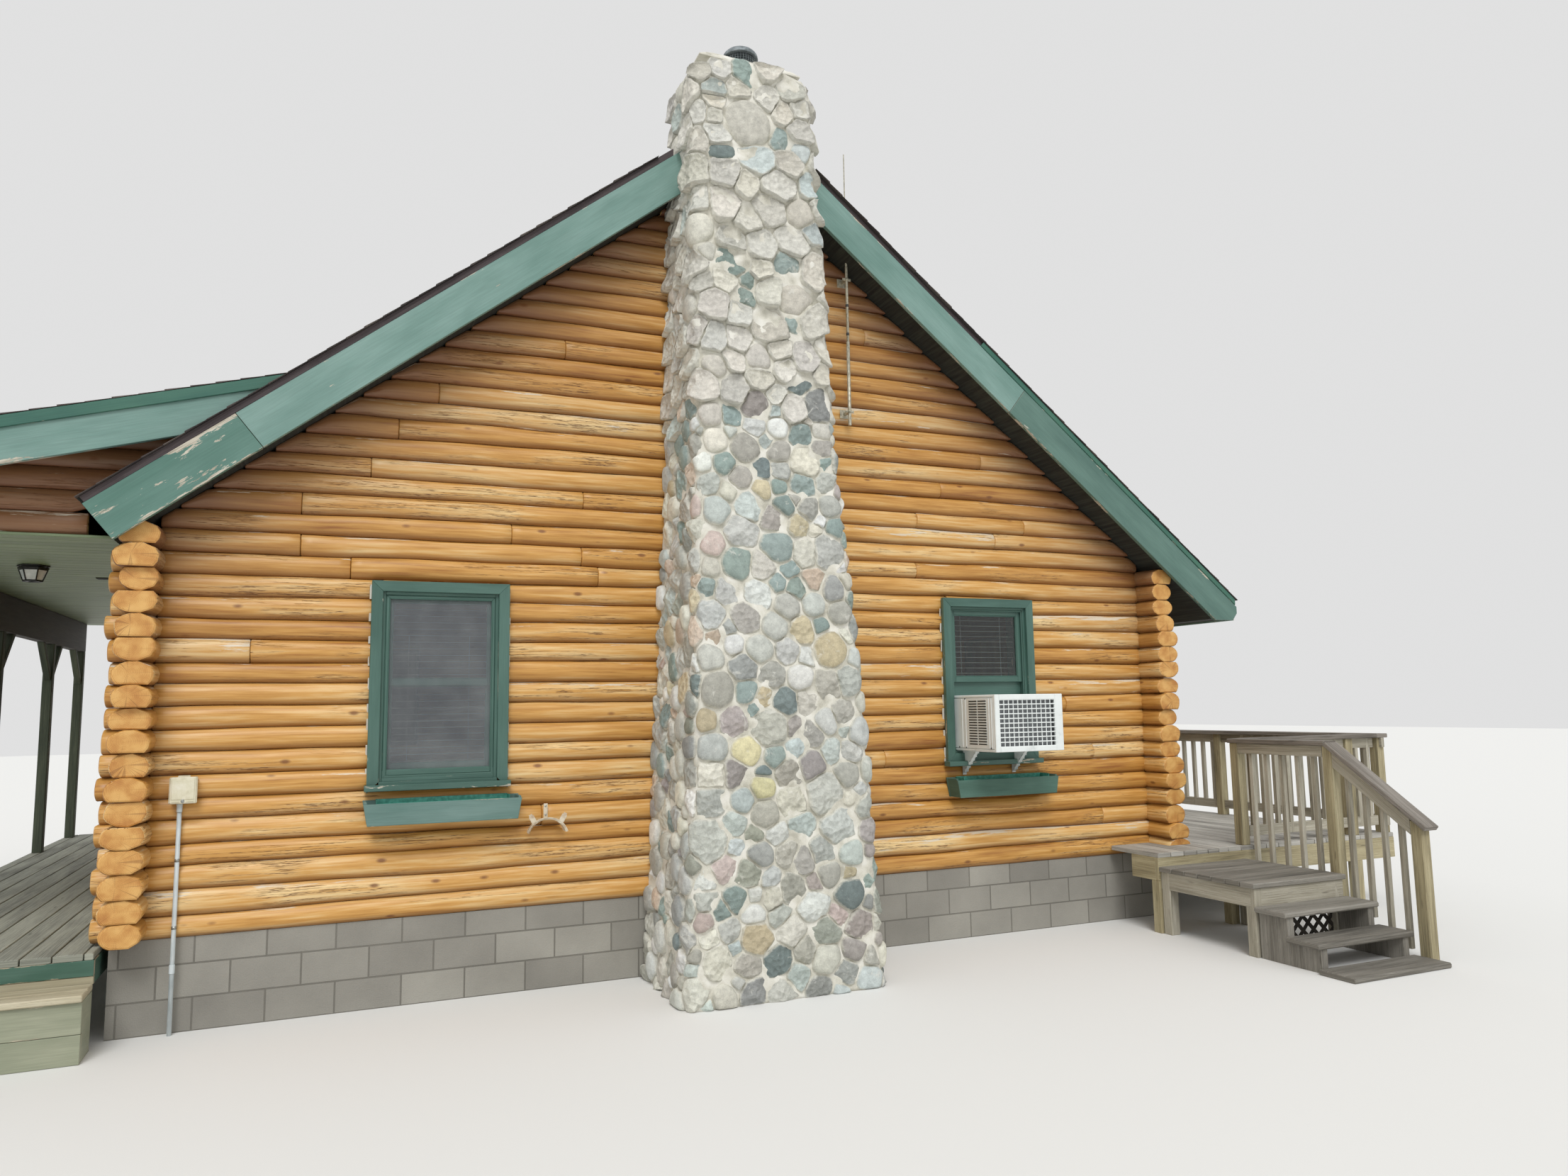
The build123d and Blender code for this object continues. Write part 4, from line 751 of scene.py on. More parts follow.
# %% The stones that catch the eye
LANDMARKS = {
    "white": [(-100, 3895, 80, 75), (75, 3895, 85, 75), (320, 4440, 115, 105),
        (-145, 2665, 110, 95), (-75, 1065, 80, 70), (170, 585, 110, 100), (-250, 680, 45, 60),
        (-250, 555, 95, 75), (-590, 790, 55, 65), (120, 2100, 85, 105), (160, 2245, 55, 75),
        (-355, 2325, 75, 65), (95, 6480, 95, 95), (-315, 6100, 100, 105), (355, 6280, 100, 105),
        (355, 6450, 85, 85), (290, 6600, 105, 70), (-295, 6650, 85, 60), (-55, 4410, 115, 90)],
    "teal": [(260, 3855, 100, 85), (-350, 3595, 90, 85), (245, 3480, 100, 90), (55, 3450, 60, 55),
        (85, 3310, 80, 85), (475, 3170, 75, 95), (20, 3010, 135, 105), (-295, 2880, 115, 115),
        (-525, 2700, 70, 75), (140, 2720, 60, 100), (-80, 1570, 75, 75), (-365, 665, 75, 90),
        (-470, 595, 40, 55), (-235, 5125, 165, 90), (-115, 4990, 80, 60), (-155, 4855, 95, 65),
        (205, 6170, 95, 80), (-65, 6660, 105, 90)],
    "grey": [(420, 3910, 90, 80), (80, 3575, 75, 65), (430, 3505, 85, 70), (-505, 2520, 105, 105),
        (-255, 3110, 120, 100), (410, 2990, 130, 135), (60, 2590, 95, 100), (-40, 2445, 95, 100),
        (255, 2605, 80, 95), (-380, 2680, 85, 105), (285, 1315, 150, 145), (260, 920, 95, 85),
        (-785, 1005, 85, 90), (-775, 800, 95, 85), (-555, 1045, 130, 150), (385, 1090, 130, 130),
        (-535, 1295, 100, 110), (-525, 1640, 115, 90), (-420, 470, 65, 90), (-590, 670, 75, 65),
        (-75, 535, 90, 70), (315, 1795, 95, 80), (485, 2085, 90, 125), (45, 2280, 85, 105),
        (-525, 2230, 100, 90), (-165, 2290, 120, 85), (480, 1575, 80, 75), (-195, 4725, 100, 95),
        (-210, 4525, 80, 115), (-385, 4525, 85, 100)],
    "slate": [(420, 4085, 160, 120), (425, 2715, 70, 120), (-290, 2160, 100, 90),
        (-195, 935, 95, 85)],
    "blue": [(-70, 3570, 65, 65), (275, 4240, 80, 70), (-5, 1930, 95, 95), (-165, 1475, 55, 35),
        (450, 630, 125, 100), (-90, 255, 110, 80), (-295, 5990, 130, 60)],
    "ochre": [(-80, 3420, 80, 70), (190, 3175, 80, 75), (160, 2425, 110, 85)],
    "pale": [(-425, 3260, 100, 100), (-175, 3295, 140, 85), (80, 1615, 60, 80), (90, 1120, 85, 85),
        (-375, 1135, 70, 95), (470, 910, 105, 80), (55, 155, 85, 70), (330, 1580, 75, 90),
        (5, 5975, 140, 140), (-325, 6485, 70, 85), (440, 5840, 70, 140), (430, 5450, 85, 65)],
    "mauve": [(5, 3210, 100, 100), (-90, 4045, 140, 95), (-375, 1810, 95, 90), (-355, 1475, 85, 85),
        (190, 730, 45, 90), (520, 425, 110, 105), (460, 280, 100, 80), (195, 1500, 90, 135)],
    "peach": [(275, 2790, 70, 90)],
    "cream": [(-600, 3100, 70, 95), (-55, 4235, 90, 100), (-410, 3760, 115, 90),
        (235, 2975, 105, 105), (-110, 2855, 90, 100), (275, 3645, 140, 100), (5, 440, 95, 95),
        (-540, 1460, 115, 80), (40, 1270, 130, 95), (-125, 655, 80, 80), (260, 235, 125, 100),
        (-510, 295, 120, 85), (-555, 430, 75, 55), (170, 1940, 85, 80), (-70, 6265, 195, 210),
        (225, 6400, 80, 115), (-280, 5570, 135, 110), (240, 5980, 125, 110), (-315, 6380, 95, 45),
        (-100, 5475, 105, 90), (0, 5275, 105, 120), (-285, 4975, 90, 95), (50, 4920, 135, 100),
        (-245, 4365, 75, 60), (395, 4735, 95, 145)],
    "pink": [(-605, 3275, 65, 80), (-465, 3005, 90, 80), (-445, 875, 95, 70), (-605, 545, 80, 60),
        (365, 510, 80, 65)],
    "tan": [(370, 2285, 155, 115), (-240, 410, 140, 95), (-560, 1815, 60, 85)],
    "taupe": [(-245, 4135, 125, 90), (-185, 3725, 115, 110), (-255, 2500, 95, 105),
        (415, 3770, 85, 70), (-480, 2020, 150, 110), (-110, 1770, 160, 100), (445, 1430, 110, 100),
        (-300, 255, 95, 85), (120, 295, 90, 80), (-160, 1200, 125, 85), (110, 865, 90, 75),
        (-15, 930, 70, 80), (30, 700, 110, 85), (295, 780, 100, 85), (205, 1700, 75, 85),
        (335, 2050, 95, 105), (-85, 2125, 95, 80), (25, 1450, 125, 75), (435, 1840, 80, 95),
        (-225, 5280, 120, 90), (-260, 5815, 145, 100), (-110, 5755, 115, 95), (80, 5595, 155, 100),
        (325, 5595, 110, 110), (155, 5785, 160, 110), (-330, 6250, 70, 60), (245, 5340, 115, 115),
        (-375, 4770, 95, 125), (245, 4885, 140, 125), (40, 4665, 135, 140)],
    "yellow": [(-280, 1605, 105, 95), (-175, 1365, 95, 80)],
    "olive": [(-280, 825, 110, 75), (-240, 1075, 75, 50), (260, 400, 130, 75)],
}
STONE_COLOURS = {
    "white": "#e2e3dd", "grey": "#c2c4bd", "taupe": "#b4b2a8", "cream": "#d9d7c9", "tan": "#c8bb9d",
    "ochre": "#d2c8a8", "yellow": "#d6cea4", "olive": "#9fa295", "teal": "#94a39d",
    "pale": "#c1cac5", "blue": "#7b8886", "slate": "#9b9e99", "mauve": "#aaa39e",
    "pink": "#c7b7ae", "peach": "#cfbdaa",
}


# %% Filling the sheet
def scatter_stones():
    # Each stone is (u, z, half width, half height, colour word). Large ones go first.
    stones = [(u / 1000, min(z / 1000, top_line(u / 1000) - 0.05), a / 1000, b / 1000, kind)
        for kind, rows in LANDMARKS.items() for u, z, a, b in rows]
    grid = {}

    def keep(stone):
        grid.setdefault((int(stone[0] // 0.3), int(stone[1] // 0.3)), []).append(stone)

    def near(u, z):
        i, j = int(u // 0.3), int(z // 0.3)
        return [s for a in (-1, 0, 1) for b in (-1, 0, 1) for s in grid.get((i + a, j + b), [])]

    for stone in stones:
        keep(stone)
    words = ["grey"] * 7 + ["taupe"] * 6 + ["cream"] * 7 + ["white"] * 3 + ["teal"] * 3
    words += ["pale"] * 3 + ["slate"] * 3
    words += ["mauve", "pink", "ochre", "olive", "tan", "blue", "peach"]
    high_words = ["cream"] * 9 + ["taupe"] * 5 + ["white"] * 3 + ["pale", "grey", "teal"]
    tries = 16000
    for step in range(tries):
        z = rng.uniform(0.0, chimney_top)
        u = rng.uniform(-1, 1) * (half_sheet(z) - 0.03)
        high = z > 4.1
        size = (0.125 if high else 0.100) - (0.060 if high else 0.062) * step / tries
        size *= rng.uniform(0.85, 1.1)
        a, b = size * rng.uniform(1.0, 1.18), size * rng.uniform(0.85, 1.0)
        if z > top_line(u) - 0.03:
            continue
        if all((s[0] - u) ** 2 + (s[1] - z) ** 2 > (0.86 * ((s[2] + s[3]) / 2 + size)) ** 2
                for s in near(u, z)):
            stone = (u, z, a, b, rng.choice(high_words if high else words))
            stones.append(stone)
            keep(stone)
    return stones, near


stones, stones_near = scatter_stones()
print(len(stones), "stones on the chimney")


# %% One stone
RINGS = [(1.0, -0.2), (0.96, 0.40), (0.86, 0.74), (0.66, 0.93), (0.36, 1.0)]
SIDES = 24


def grow_stone(stone, neighbours, number, edge):
    # Returns rings of (u, z, height) on the sheet.
    u0, z0, a, b, kind = stone
    own = ((a + b) / 2) ** 2
    rounded = rng.random() < (0.42 if z0 < 3.9 else 0.15)
    walls = []
    for other in neighbours:
        du, dz = other[0] - u0, other[1] - z0
        apart = math.hypot(du, dz)
        if 0 < apart < 0.6:
            share = (apart ** 2 + own - ((other[2] + other[3]) / 2) ** 2) / (2 * apart)
            gap = JOINT * rng.uniform(0.5, 1.5)
            walls.append((du / apart, dz / apart, max(share - gap, 0.018)))
    walls.append((1, 0, edge - u0 + 0.012))
    walls.append((-1, 0, edge + u0 + 0.012))
    walls.append((0, -1, z0 + 0.001))
    walls.append((0, 1, top_line(u0) - z0 + 0.01))
    soft = 11 if rounded else 30
    outline = []
    for k in range(SIDES):
        t = 2 * math.pi * (k + 0.5 * (number % 2)) / SIDES
        c, s = math.cos(t), math.sin(t)
        total = (math.hypot(c / a, s / b) / (1.30 if rounded else 1.7)) ** min(soft, 12)
        total = total ** (soft / min(soft, 12))
        for nx, nz, d in walls:
            facing = nx * c + nz * s
            if facing > 0.02:
                total += (facing / max(d, 0.004)) ** soft
        reach = total ** (-1 / soft)
        reach *= 1 + (0.06 if rounded else 0.13) * noise.noise((c * 1.9 + number, s * 1.9, 3.0))
        outline.append((c * reach, s * reach))
    size = min(a, b)
    rise = 0.032 + (0.022 if rounded else 0.018) * min(1.3, size / 0.08) * rng.uniform(0.3, 1.3)
    facets = [(rng.uniform(-1, 1), rng.uniform(-1, 1), rng.uniform(0.80, 1.05)) for _ in range(3)]
    tilt_u, tilt_z = rng.uniform(-0.16, 0.16), rng.uniform(-0.08, 0.20)
    dished = z0 > 3.95 and not rounded and kind not in ("teal", "blue", "slate", "mauve")
    if dished:
        # High up the faces are hollow, deep under the ledge above and sharp at their lower edge.
        tilt_u, tilt_z = tilt_u * 1.3, rng.uniform(-0.38, -0.06)
    rough = 0.002 if rounded else 0.011
    rings = []
    for shrink, level in RINGS:
        if not rounded:
            level = level ** 0.6 if level > 0 else level
        ring = []
        for c, s in outline:
            u, z = c * shrink, s * shrink
            height = rise * level
            if level > 0 and dished:
                height = rise * (0.55 + 0.60 * shrink ** 2)
            elif level > 0 and not rounded:
                # A broken stone is flat in a few planes, which meet in ridges.
                height = min([height] + [rise * (d + 0.75 * (p * u + q * z) / size) for p, q,
                    d in facets])
                height = max(height, rise * 0.28 * level)
            if level > 0:
                height += (tilt_u * u + tilt_z * z) * (0.4 if rounded else 1.0) * level
                height += rough * noise.noise(((u0 + u) * 26, (z0 + z) * 26,
                    number * 1.7)) * (1.2 - shrink)
                height += rough * 1.6 * noise.noise(((u0 + u) * 9, (z0 + z) * 9, number * 0.9))
            ring.append((u0 + u, z0 + z, height, shrink))
        rings.append(ring)
    return rings, (u0, z0, rise, 0.0), kind, rounded


# %% All stones as one piece
def lay_stones(chosen, neighbours, place, edge):
    points, faces, tints, spots = [], [], [], []
    for number, stone in enumerate(chosen):
        rings, hub, kind, rounded = grow_stone(stone, [s for s in neighbours(stone)
            if s is not stone], number, edge(stone[1]))
        tint = Vector(colour(STONE_COLOURS[kind])[:3])
        if stone[1] > 3.9 and kind in ("cream", "taupe", "grey", "tan", "white"):
            tint = tint.lerp(Vector(colour("#d6d2c6")[:3]), 0.75)
        tint = tint * rng.uniform(0.80, 1.10)
        tint.x *= rng.uniform(0.97, 1.02)
        tint.z *= rng.uniform(0.97, 1.04)
        first = len(points)
        spot = []
        for ring in rings:
            for u, z, height, shrink in ring:
                points.append(place(u, max(z, 0.002), height - 0.028))
                spot.append((shrink, 1.0 if rounded else 0.0, number * 0.618 % 1))
        points.append(place(hub[0], hub[1], hub[2] - 0.028))
        spot.append((0.0, 1.0 if rounded else 0.0, number * 0.618 % 1))
        shapes = []
        for r in range(len(rings) - 1):
            for k in range(SIDES):
                n = (k + 1) % SIDES
                shapes.append((r * SIDES + k, r * SIDES + n, (r + 1) * SIDES + n,
                    (r + 1) * SIDES + k))
        last = (len(rings) - 1) * SIDES
        shapes += [(last + k, last + (k + 1) % SIDES, last + SIDES) for k in range(SIDES)]
        for shape in shapes:
            faces.append(tuple(first + i for i in shape))
            tints.extend([tint] * len(shape))
            spots.extend(spot[i] for i in shape)
    return points, faces, tints, spots


def stone_piece(name, parts, node=None):
    points, faces, tints, spots = [], [], [], []
    for p, f, t, s in parts:
        start = len(points)
        points += p
        faces += [tuple(start + i for i in face) for face in f]
        tints += t
        spots += s
    piece = new_piece(name, points, faces, [field_stone], node)
    piece.data.polygons.foreach_set("use_smooth", [True] * len(faces))
    return mark(piece, stone_colour=tints, stone_spot=spots)


# %% [markdown]
# ### Stone and mortar
#
# Field stones are many kinds of rock, so each carries its own colour, and the material adds what
# they share: grains of 2 to 5 mm, soft clouds and a smear of mortar along the edge. River-worn ones
# are smooth, quarried ones are broken and rough. The mortar is a pale, sandy cement, struck back
# with a tool, so its surface waves by a few millimetres.

# %% Materials of the chimney
field_stone, tree, shader = new_material("weathered_field_stone", 0.78, "#b3aca0")
tint = add(tree, "Attribute", give="Vector", attribute_name="stone_colour")
spot = add(tree, "Attribute", give="Vector", attribute_name="stone_spot")
spot = add(tree, "SeparateXYZ", [spot], give="all")
place = add(tree, "TexCoord", give="Object")
shifted = add(tree, "VectorMath", [place, tint], operation="ADD")
clouds = add(tree, "TexNoise", {"Vector": shifted, "Scale": 19.0, "Detail": 7.0, "Roughness": 0.7})
grains = add(tree, "TexNoise", {"Vector": place, "Scale": 160.0, "Detail": 3.0, "Roughness": 0.7})
shade = add(tree, "MapRange", [clouds, 0.32, 0.68, 0.78, 1.2])
grit = add(tree, "MapRange", [grains, 0.3, 0.7, 0.88, 1.1])
shade = add(tree, "Math", [shade, grit], operation="MULTIPLY")
body = add(tree, "VectorMath", {0: tint, 3: shade}, operation="SCALE")
veins = add(tree, "TexNoise", {"Vector": shifted, "Scale": 11.0, "Detail": 6.0, "Roughness": 0.7,
    "Distortion": 0.8})
veins = add(tree, "MapRange", [veins, 0.6, 0.66, 0.0, 0.45])
body = add(tree, "Mix", {0: veins, 6: body, 7: colour("#e2e1d8")}, data_type="RGBA")
smear = add(tree, "Math", [clouds, 0.3, spot[0]], operation="MULTIPLY_ADD")
smear = add(tree, "MapRange", [smear, 1.02, 1.14, 0.0, 0.9])
body = add(tree, "Mix", {0: smear, 6: body, 7: colour("#d8d6ca")}, data_type="RGBA")
broken = add(tree, "TexVoronoi", {"Vector": shifted, "Scale": 24.0})
rugged = add(tree, "MapRange", [spot[1], 0.0, 1.0, 0.9, 0.12])
height = add(tree, "Math", [broken, rugged], operation="MULTIPLY")
height = add(tree, "Math", [clouds, 0.5, height], operation="MULTIPLY_ADD")
height = add(tree, "Math", [grains, 0.1, height], operation="MULTIPLY_ADD")
bump = add(tree, "Bump", {"Height": height, "Strength": 0.8, "Distance": 0.026})
feed(shader, {"Base Color": body, "Normal": bump})

sandy_mortar, tree, shader = new_material("tooled_cement_mortar", 0.92, "#cfcbba")
place = add(tree, "TexCoord", give="Object")
sand = add(tree, "TexNoise", {"Vector": place, "Scale": 220.0, "Detail": 4.0, "Roughness": 0.7})
waves = add(tree, "TexNoise", {"Vector": place, "Scale": 9.0, "Detail": 4.0})
mixed = add(tree, "Math", [sand, 0.35, waves], operation="MULTIPLY_ADD")
body = add(tree, "ValToRGB", {"Fac": mixed}, stops=[(0.48, "#b6b3a5"), (0.64, "#d6d3c6"),
    (0.82, "#e9e7de")])
bump = add(tree, "Bump", {"Height": mixed, "Strength": 0.7, "Distance": 0.012})
feed(shader, {"Base Color": body, "Normal": bump})

# %% Core, facing and the back of the stack
core_points, core_faces = [], []
ACROSS, UPWARD = 120, 300
for j in range(UPWARD + 1):
    z = chimney_top * j / UPWARD
    for i in range(ACROSS + 1):
        u = (2 * i / ACROSS - 1) * (half_sheet(z) + 0.034)
        wave = 0.007 * noise.noise((u * 13, z * 13, 4.0))
        wave += 0.004 * noise.noise((u * 40, z * 40, 8.0))
        if z > 3.9:
            # High up the mortar was thrown on: dished hollows that meet in sharp edges.
            bend = 0.4 * noise.noise((u * 9, z * 9, 2.0))
            dish = noise.voronoi((u * 7.5 + bend, 3.0, z * 9.5))[0][0]
            wave += min(1.0, (z - 3.9) / 0.3) * (0.040 * dish - 0.014)
        core_points.append(chimney_place(u, z * top_line(u) / chimney_top, -0.017 + wave))
across = ACROSS + 1
for j in range(UPWARD):
    for i in range(ACROSS):
        a = j * across + i
        core_faces.append((a, a + 1, a + 1 + across, a + across))
    core_faces.append((j * across + ACROSS, j * across, (j + 1) * across,
        (j + 1) * across + ACROSS))
core_faces.append(tuple(reversed(range(across))))
core_faces.append(tuple(UPWARD * across + i for i in range(across)))
core = new_piece("chimney_mortar", core_points, core_faces, [sandy_mortar], "chimney")
core.data.polygons.foreach_set("use_smooth", [True] * len(core_faces))

STACK_FROM = roof_apex - 0.42
back_stones = []
for step in range(900):
    u, z = rng.uniform(-0.40, 0.40), rng.uniform(STACK_FROM, top_line(0.5) - 0.05)
    size = 0.10 - 0.05 * step / 900
    if all(math.hypot(s[0] - u, s[1] - z) > 0.88 * ((s[2] + s[3]) / 2 + size) for s in back_stones):
        back_stones.append((u, z, size * 1.1, size * 0.9, rng.choice(["cream", "taupe", "grey",
            "white", "teal"])))


def back_place(u, z, out):
    return -u, front_y + 0.034 + out + 0.012, z


facing = lay_stones(stones, lambda s: stones_near(s[0], s[1]), chimney_place, half_sheet)
behind = lay_stones(back_stones, lambda s: back_stones, back_place,
    lambda z: chimney_size(z)[0] - 0.03)
stone_piece("chimney_stones", [facing, behind], "chimney")

# %% [markdown]
# ## Roof
#
# The roof is boarded and covered with asphalt shingles. A shingle course shows about 140 mm, and
# each tab is a different width and one of two thicknesses, so the roof has a rhythm and its edge a
# ragged outline. Each tab is a thin wedge of its own here: cheap, and it gives true shadow lines
# and the layered dark edge that shows above the painted boards.

# %% Roof lines
ANGLE = math.atan(PITCH)
COS, SIN = math.cos(ANGLE), math.sin(ANGLE)
rake_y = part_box("front_rakes")[0].y
right_tip_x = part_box("front_rakes")[1].x
left_tip_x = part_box("front_rakes")[0].x
porch_low, porch_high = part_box("porch_roof")
porch_eave_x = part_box("porch_rakes")[0].x
PORCH_PITCH = 0.28
PORCH_ANGLE = math.atan(PORCH_PITCH)
porch_top_at_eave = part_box("porch_eave_fascia")[1].z


def roof_top(x):
    return roof_apex - PITCH * abs(x - ridge_x)


def porch_top(x):
    return porch_top_at_eave + PORCH_PITCH * (x - porch_eave_x)


valley_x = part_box("porch_rakes")[1].x
print("roof tips", left_tip_x, right_tip_x, "valley", valley_x)


# %% Shingles
class Shingles:
    def __init__(self):
        self.points, self.faces, self.tone = [], [], []

    def tab(self, corner, down, across, length, width, thick):
        # A wedge: thick at its butt, thin where the next course covers it.
        up = across.cross(down).normalized()
        up = up if up.z > 0 else -up
        first = len(self.points)
        high = corner + up * 0.0012
        low = corner + down * length
        for p in (high, high + across * width, low + across * width, low):
            self.points.append(tuple(p))
        for p, h in ((high, 0.001), (high + across * width, 0.001), (low + across * width, thick),
                (low, thick)):
            self.points.append(tuple(p + up * h))
        tone = rng.random()
        for face in ((4, 5, 6, 7), (7, 6, 2, 3), (5, 1, 2, 6), (4, 7, 3, 0), (4, 0, 1, 5),
                (0, 3, 2, 1)):
            self.faces.append(tuple(first + i for i in face))
            self.tone.extend([(tone, thick * 100, 0.0)] * 4)

    def slope(self, top_line, down, low_y, high_y, run, start=0.0, keep=None):
        # Lays courses from the eave up; top_line(s) is the point at s down the slope, at y = 0.
        exposure = 0.142
        courses = int(run / exposure)
        for n in range(courses + 1):
            s = max(start, run - (n + 1) * exposure)
            length = min(exposure + 0.012, run - s + 0.004)
            if run - n * exposure - s < 0.03:
                continue
            y = low_y - rng.uniform(0.0, 0.006)
            while y < high_y - 0.02:
                width = min(rng.uniform(0.09, 0.27), high_y - y)
                point = top_line(s)
                if keep is None or keep(point.x, y, width):
                    thick = rng.choice((0.006, 0.0095))
                    self.tab(Vector((point.x, y, point.z)), down, Vector((0, 1, 0)), length,
                        width - 0.002, thick)
                y += width

    def piece(self, name, nodes, slot, material):
        piece = new_piece(name, self.points, self.faces, [material], nodes)
        return mark(piece, shingle_tone=self.tone)


# %% Asphalt shingles
# Mineral granules of 1 to 2 mm in asphalt: dull, speckled, and paler where the granules bleach.
asphalt_shingle, tree, shader = new_material("brown_asphalt_shingle", 0.93, "#3f3a38")
tone = add(tree, "Attribute", give="Vector", attribute_name="shingle_tone")
tone = add(tree, "SeparateXYZ", [tone], give="all")
place = add(tree, "TexCoord", give="Object")
grit = add(tree, "TexNoise", {"Vector": place, "Scale": 420.0, "Detail": 2.0, "Roughness": 0.7})
stain = add(tree, "TexNoise", {"Vector": place, "Scale": 1.7, "Detail": 5.0})
mixed = add(tree, "Math", [tone[0], 0.35, grit], operation="MULTIPLY_ADD")
mixed = add(tree, "Math", [stain, 0.4, mixed], operation="MULTIPLY_ADD")
body = add(tree, "ValToRGB", {"Fac": mixed}, stops=[(0.55, "#2b2728"), (0.85, "#443d3b"),
    (1.0, "#5d5550")])
bump = add(tree, "Bump", {"Height": grit, "Strength": 0.5, "Distance": 0.001})
feed(shader, {"Base Color": body, "Normal": bump})

# %% Laying the main roof
def clear_of_stack(x, y, width):
    # No tab is laid where the chimney comes through the roof.
    return abs(x) > 0.60 or y > front_y + 0.03


shingles = Shingles()
apex = Vector((ridge_x, 0, roof_apex))
right_down = Vector((COS, 0, -SIN))
left_down = Vector((-COS, 0, -SIN))
right_run = (right_tip_x - ridge_x) / COS
left_run = (ridge_x - left_tip_x) / COS
edge_y = rake_y - 0.014
back_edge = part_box("back_rake")[1].y
shingles.slope(lambda s: apex + right_down * s, right_down, edge_y, back_edge, right_run, 0.0,
    clear_of_stack)


def left_keep(x, y, width):
    # Only the ends that stand in front of the porch roof, and the slope above it, are bare.
    return clear_of_stack(x, y, width) and (x > valley_x - 0.02 or y < porch_low.y
        or y + width > porch_high.y)


shingles.slope(lambda s: apex + left_down * s, left_down, edge_y, back_edge, left_run, 0.0,
    left_keep)
# Caps lie over the ridge, one half on each slope.
cap_y = front_y + 0.05
while cap_y < back_edge - 0.05:
    for down in (right_down, left_down):
        corner = Vector((ridge_x, cap_y, roof_apex + 0.010)) - down * 0.002
        shingles.tab(corner, down, Vector(Y), 0.15, min(0.30, back_edge - cap_y), 0.008)
    cap_y += 0.140
shingles.piece("roof_shingles", None, "shingle", asphalt_shingle)
porch_shingles = Shingles()
porch_down = Vector((-math.cos(PORCH_ANGLE), 0, -math.sin(PORCH_ANGLE)))
join = Vector((valley_x, 0, porch_top(valley_x)))
porch_run = (valley_x - porch_eave_x) / math.cos(PORCH_ANGLE) - 0.001
porch_shingles.slope(lambda s: join + porch_down * s, porch_down, porch_low.y - 0.045,
    porch_high.y + 0.045, porch_run)
porch_shingles.piece("porch_shingles", None, "shingle", asphalt_shingle)

# %% [markdown]
# The boards along the gable edges are teal. Above the paint runs a dark strip with the shingle
# ends, and on the lower part of the right edge a green moulding covers it. On the left the last
# metre is a separate, much more weathered board, spliced on with a square cut.

# %% Gable edge boards
rakes = Boards()
FACE = 0.262
EDGE = 0.046


def on_rake(side, x, below, y):
    # A point below the roof line, measured square to it; side is 1 on the right.
    foot = Vector((x, y, roof_top(x)))
    return foot - Vector((side * SIN, 0, COS)) * below


def rake_board(boards, side, x0, x1, below, width, y, thick, **more):
    a, b = on_rake(side, x0, below, y), on_rake(side, x1, below, y)
    boards.add(a, b, (side * SIN, 0, COS), width, thick, **more)


middle = EDGE + FACE / 2
# The boards stop beside the stack; the left one is spliced low down, the right one halfway.
notch = 0.570
splice = ridge_x - 3.514
rake_board(rakes, -1, -notch, splice, middle, FACE, rake_y + PLANK / 2, PLANK, cut=(-PITCH, 0),
    wear=0.01)
rake_board(rakes, -1, splice - 0.003, left_tip_x + 0.002, middle, FACE, rake_y + 0.0195, PLANK,
    kind=1, wear=0.03, step=0.2)
rake_board(rakes, -1, -notch, left_tip_x + 0.012, EDGE / 2, EDGE, rake_y + 0.024, 0.030,
    cut=(-PITCH, 0), kind=2)
joint_x = 2.60
rake_board(rakes, 1, notch, joint_x, middle, FACE, rake_y + PLANK / 2, PLANK, cut=(-PITCH, 0),
    wear=0.01)
rake_board(rakes, 1, joint_x + 0.003, right_tip_x + 0.06, middle, FACE, rake_y + PLANK / 2, PLANK,
    kind=4, wear=0.02)
rake_board(rakes, 1, notch, right_tip_x, EDGE / 2, EDGE, rake_y + 0.026, 0.026,
    cut=(-PITCH, -PITCH), kind=2)
rake_board(rakes, 1, 2.172, right_tip_x - 0.002, EDGE / 2 + 0.002, EDGE - 0.004, rake_y + 0.006,
    0.026, cut=(0, -PITCH), kind=3, wear=-0.02)
rake_piece = rakes.piece("front_rake_boards", "front_rakes", "rake_paint",
    [teal_paint, worn_teal_paint, fascia_brown, green_trim_paint, shaded_teal_paint])
mesh = bmesh.new()
mesh.from_mesh(rake_piece.data)
tip_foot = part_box("right_eave_fascia")[0].z
for point, normal in (((right_tip_x, 0, 0), (1, 0, 0)), ((0, 0, tip_foot), (0, 0, -1))):
    parts = [g for g in mesh.verts[:] + mesh.edges[:] + mesh.faces[:]
        if (g.co.x if isinstance(g, bmesh.types.BMVert) else min(v.co.x for v in g.verts)) > 3.0]
    cut = bmesh.ops.bisect_plane(mesh, geom=parts, plane_co=point, plane_no=normal,
        clear_outer=True)
    rim = [e for e in cut["geom_cut"] if isinstance(e, bmesh.types.BMEdge)]
    bmesh.ops.holes_fill(mesh, edges=rim)
mesh.to_mesh(rake_piece.data)
mesh.free()

back = Boards()
for side, tip in ((1, right_tip_x), (-1, left_tip_x)):
    for below, width, thick, kind in ((middle, FACE, PLANK, 0), (EDGE / 2, EDGE, 0.030, 1)):
        shift = side * SIN * below
        rake_board(back, side, ridge_x + shift, tip + shift, below, width,
            back_edge - PLANK / 2, thick,
            cut=(-PITCH, -PITCH), kind=kind, wear=0.02)
back.piece("back_rake_boards", "back_rake", "rake_paint", [teal_paint, fascia_brown])

# %% Porch edge, eave boards and slab undersides
porch_edge = Boards()
up = Vector((-math.sin(PORCH_ANGLE), 0, math.cos(PORCH_ANGLE)))
porch_rake_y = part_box("porch_rakes")[0].y
porch_rake_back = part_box("porch_rakes")[1].y
porch_width = 0.295 * math.cos(PORCH_ANGLE)


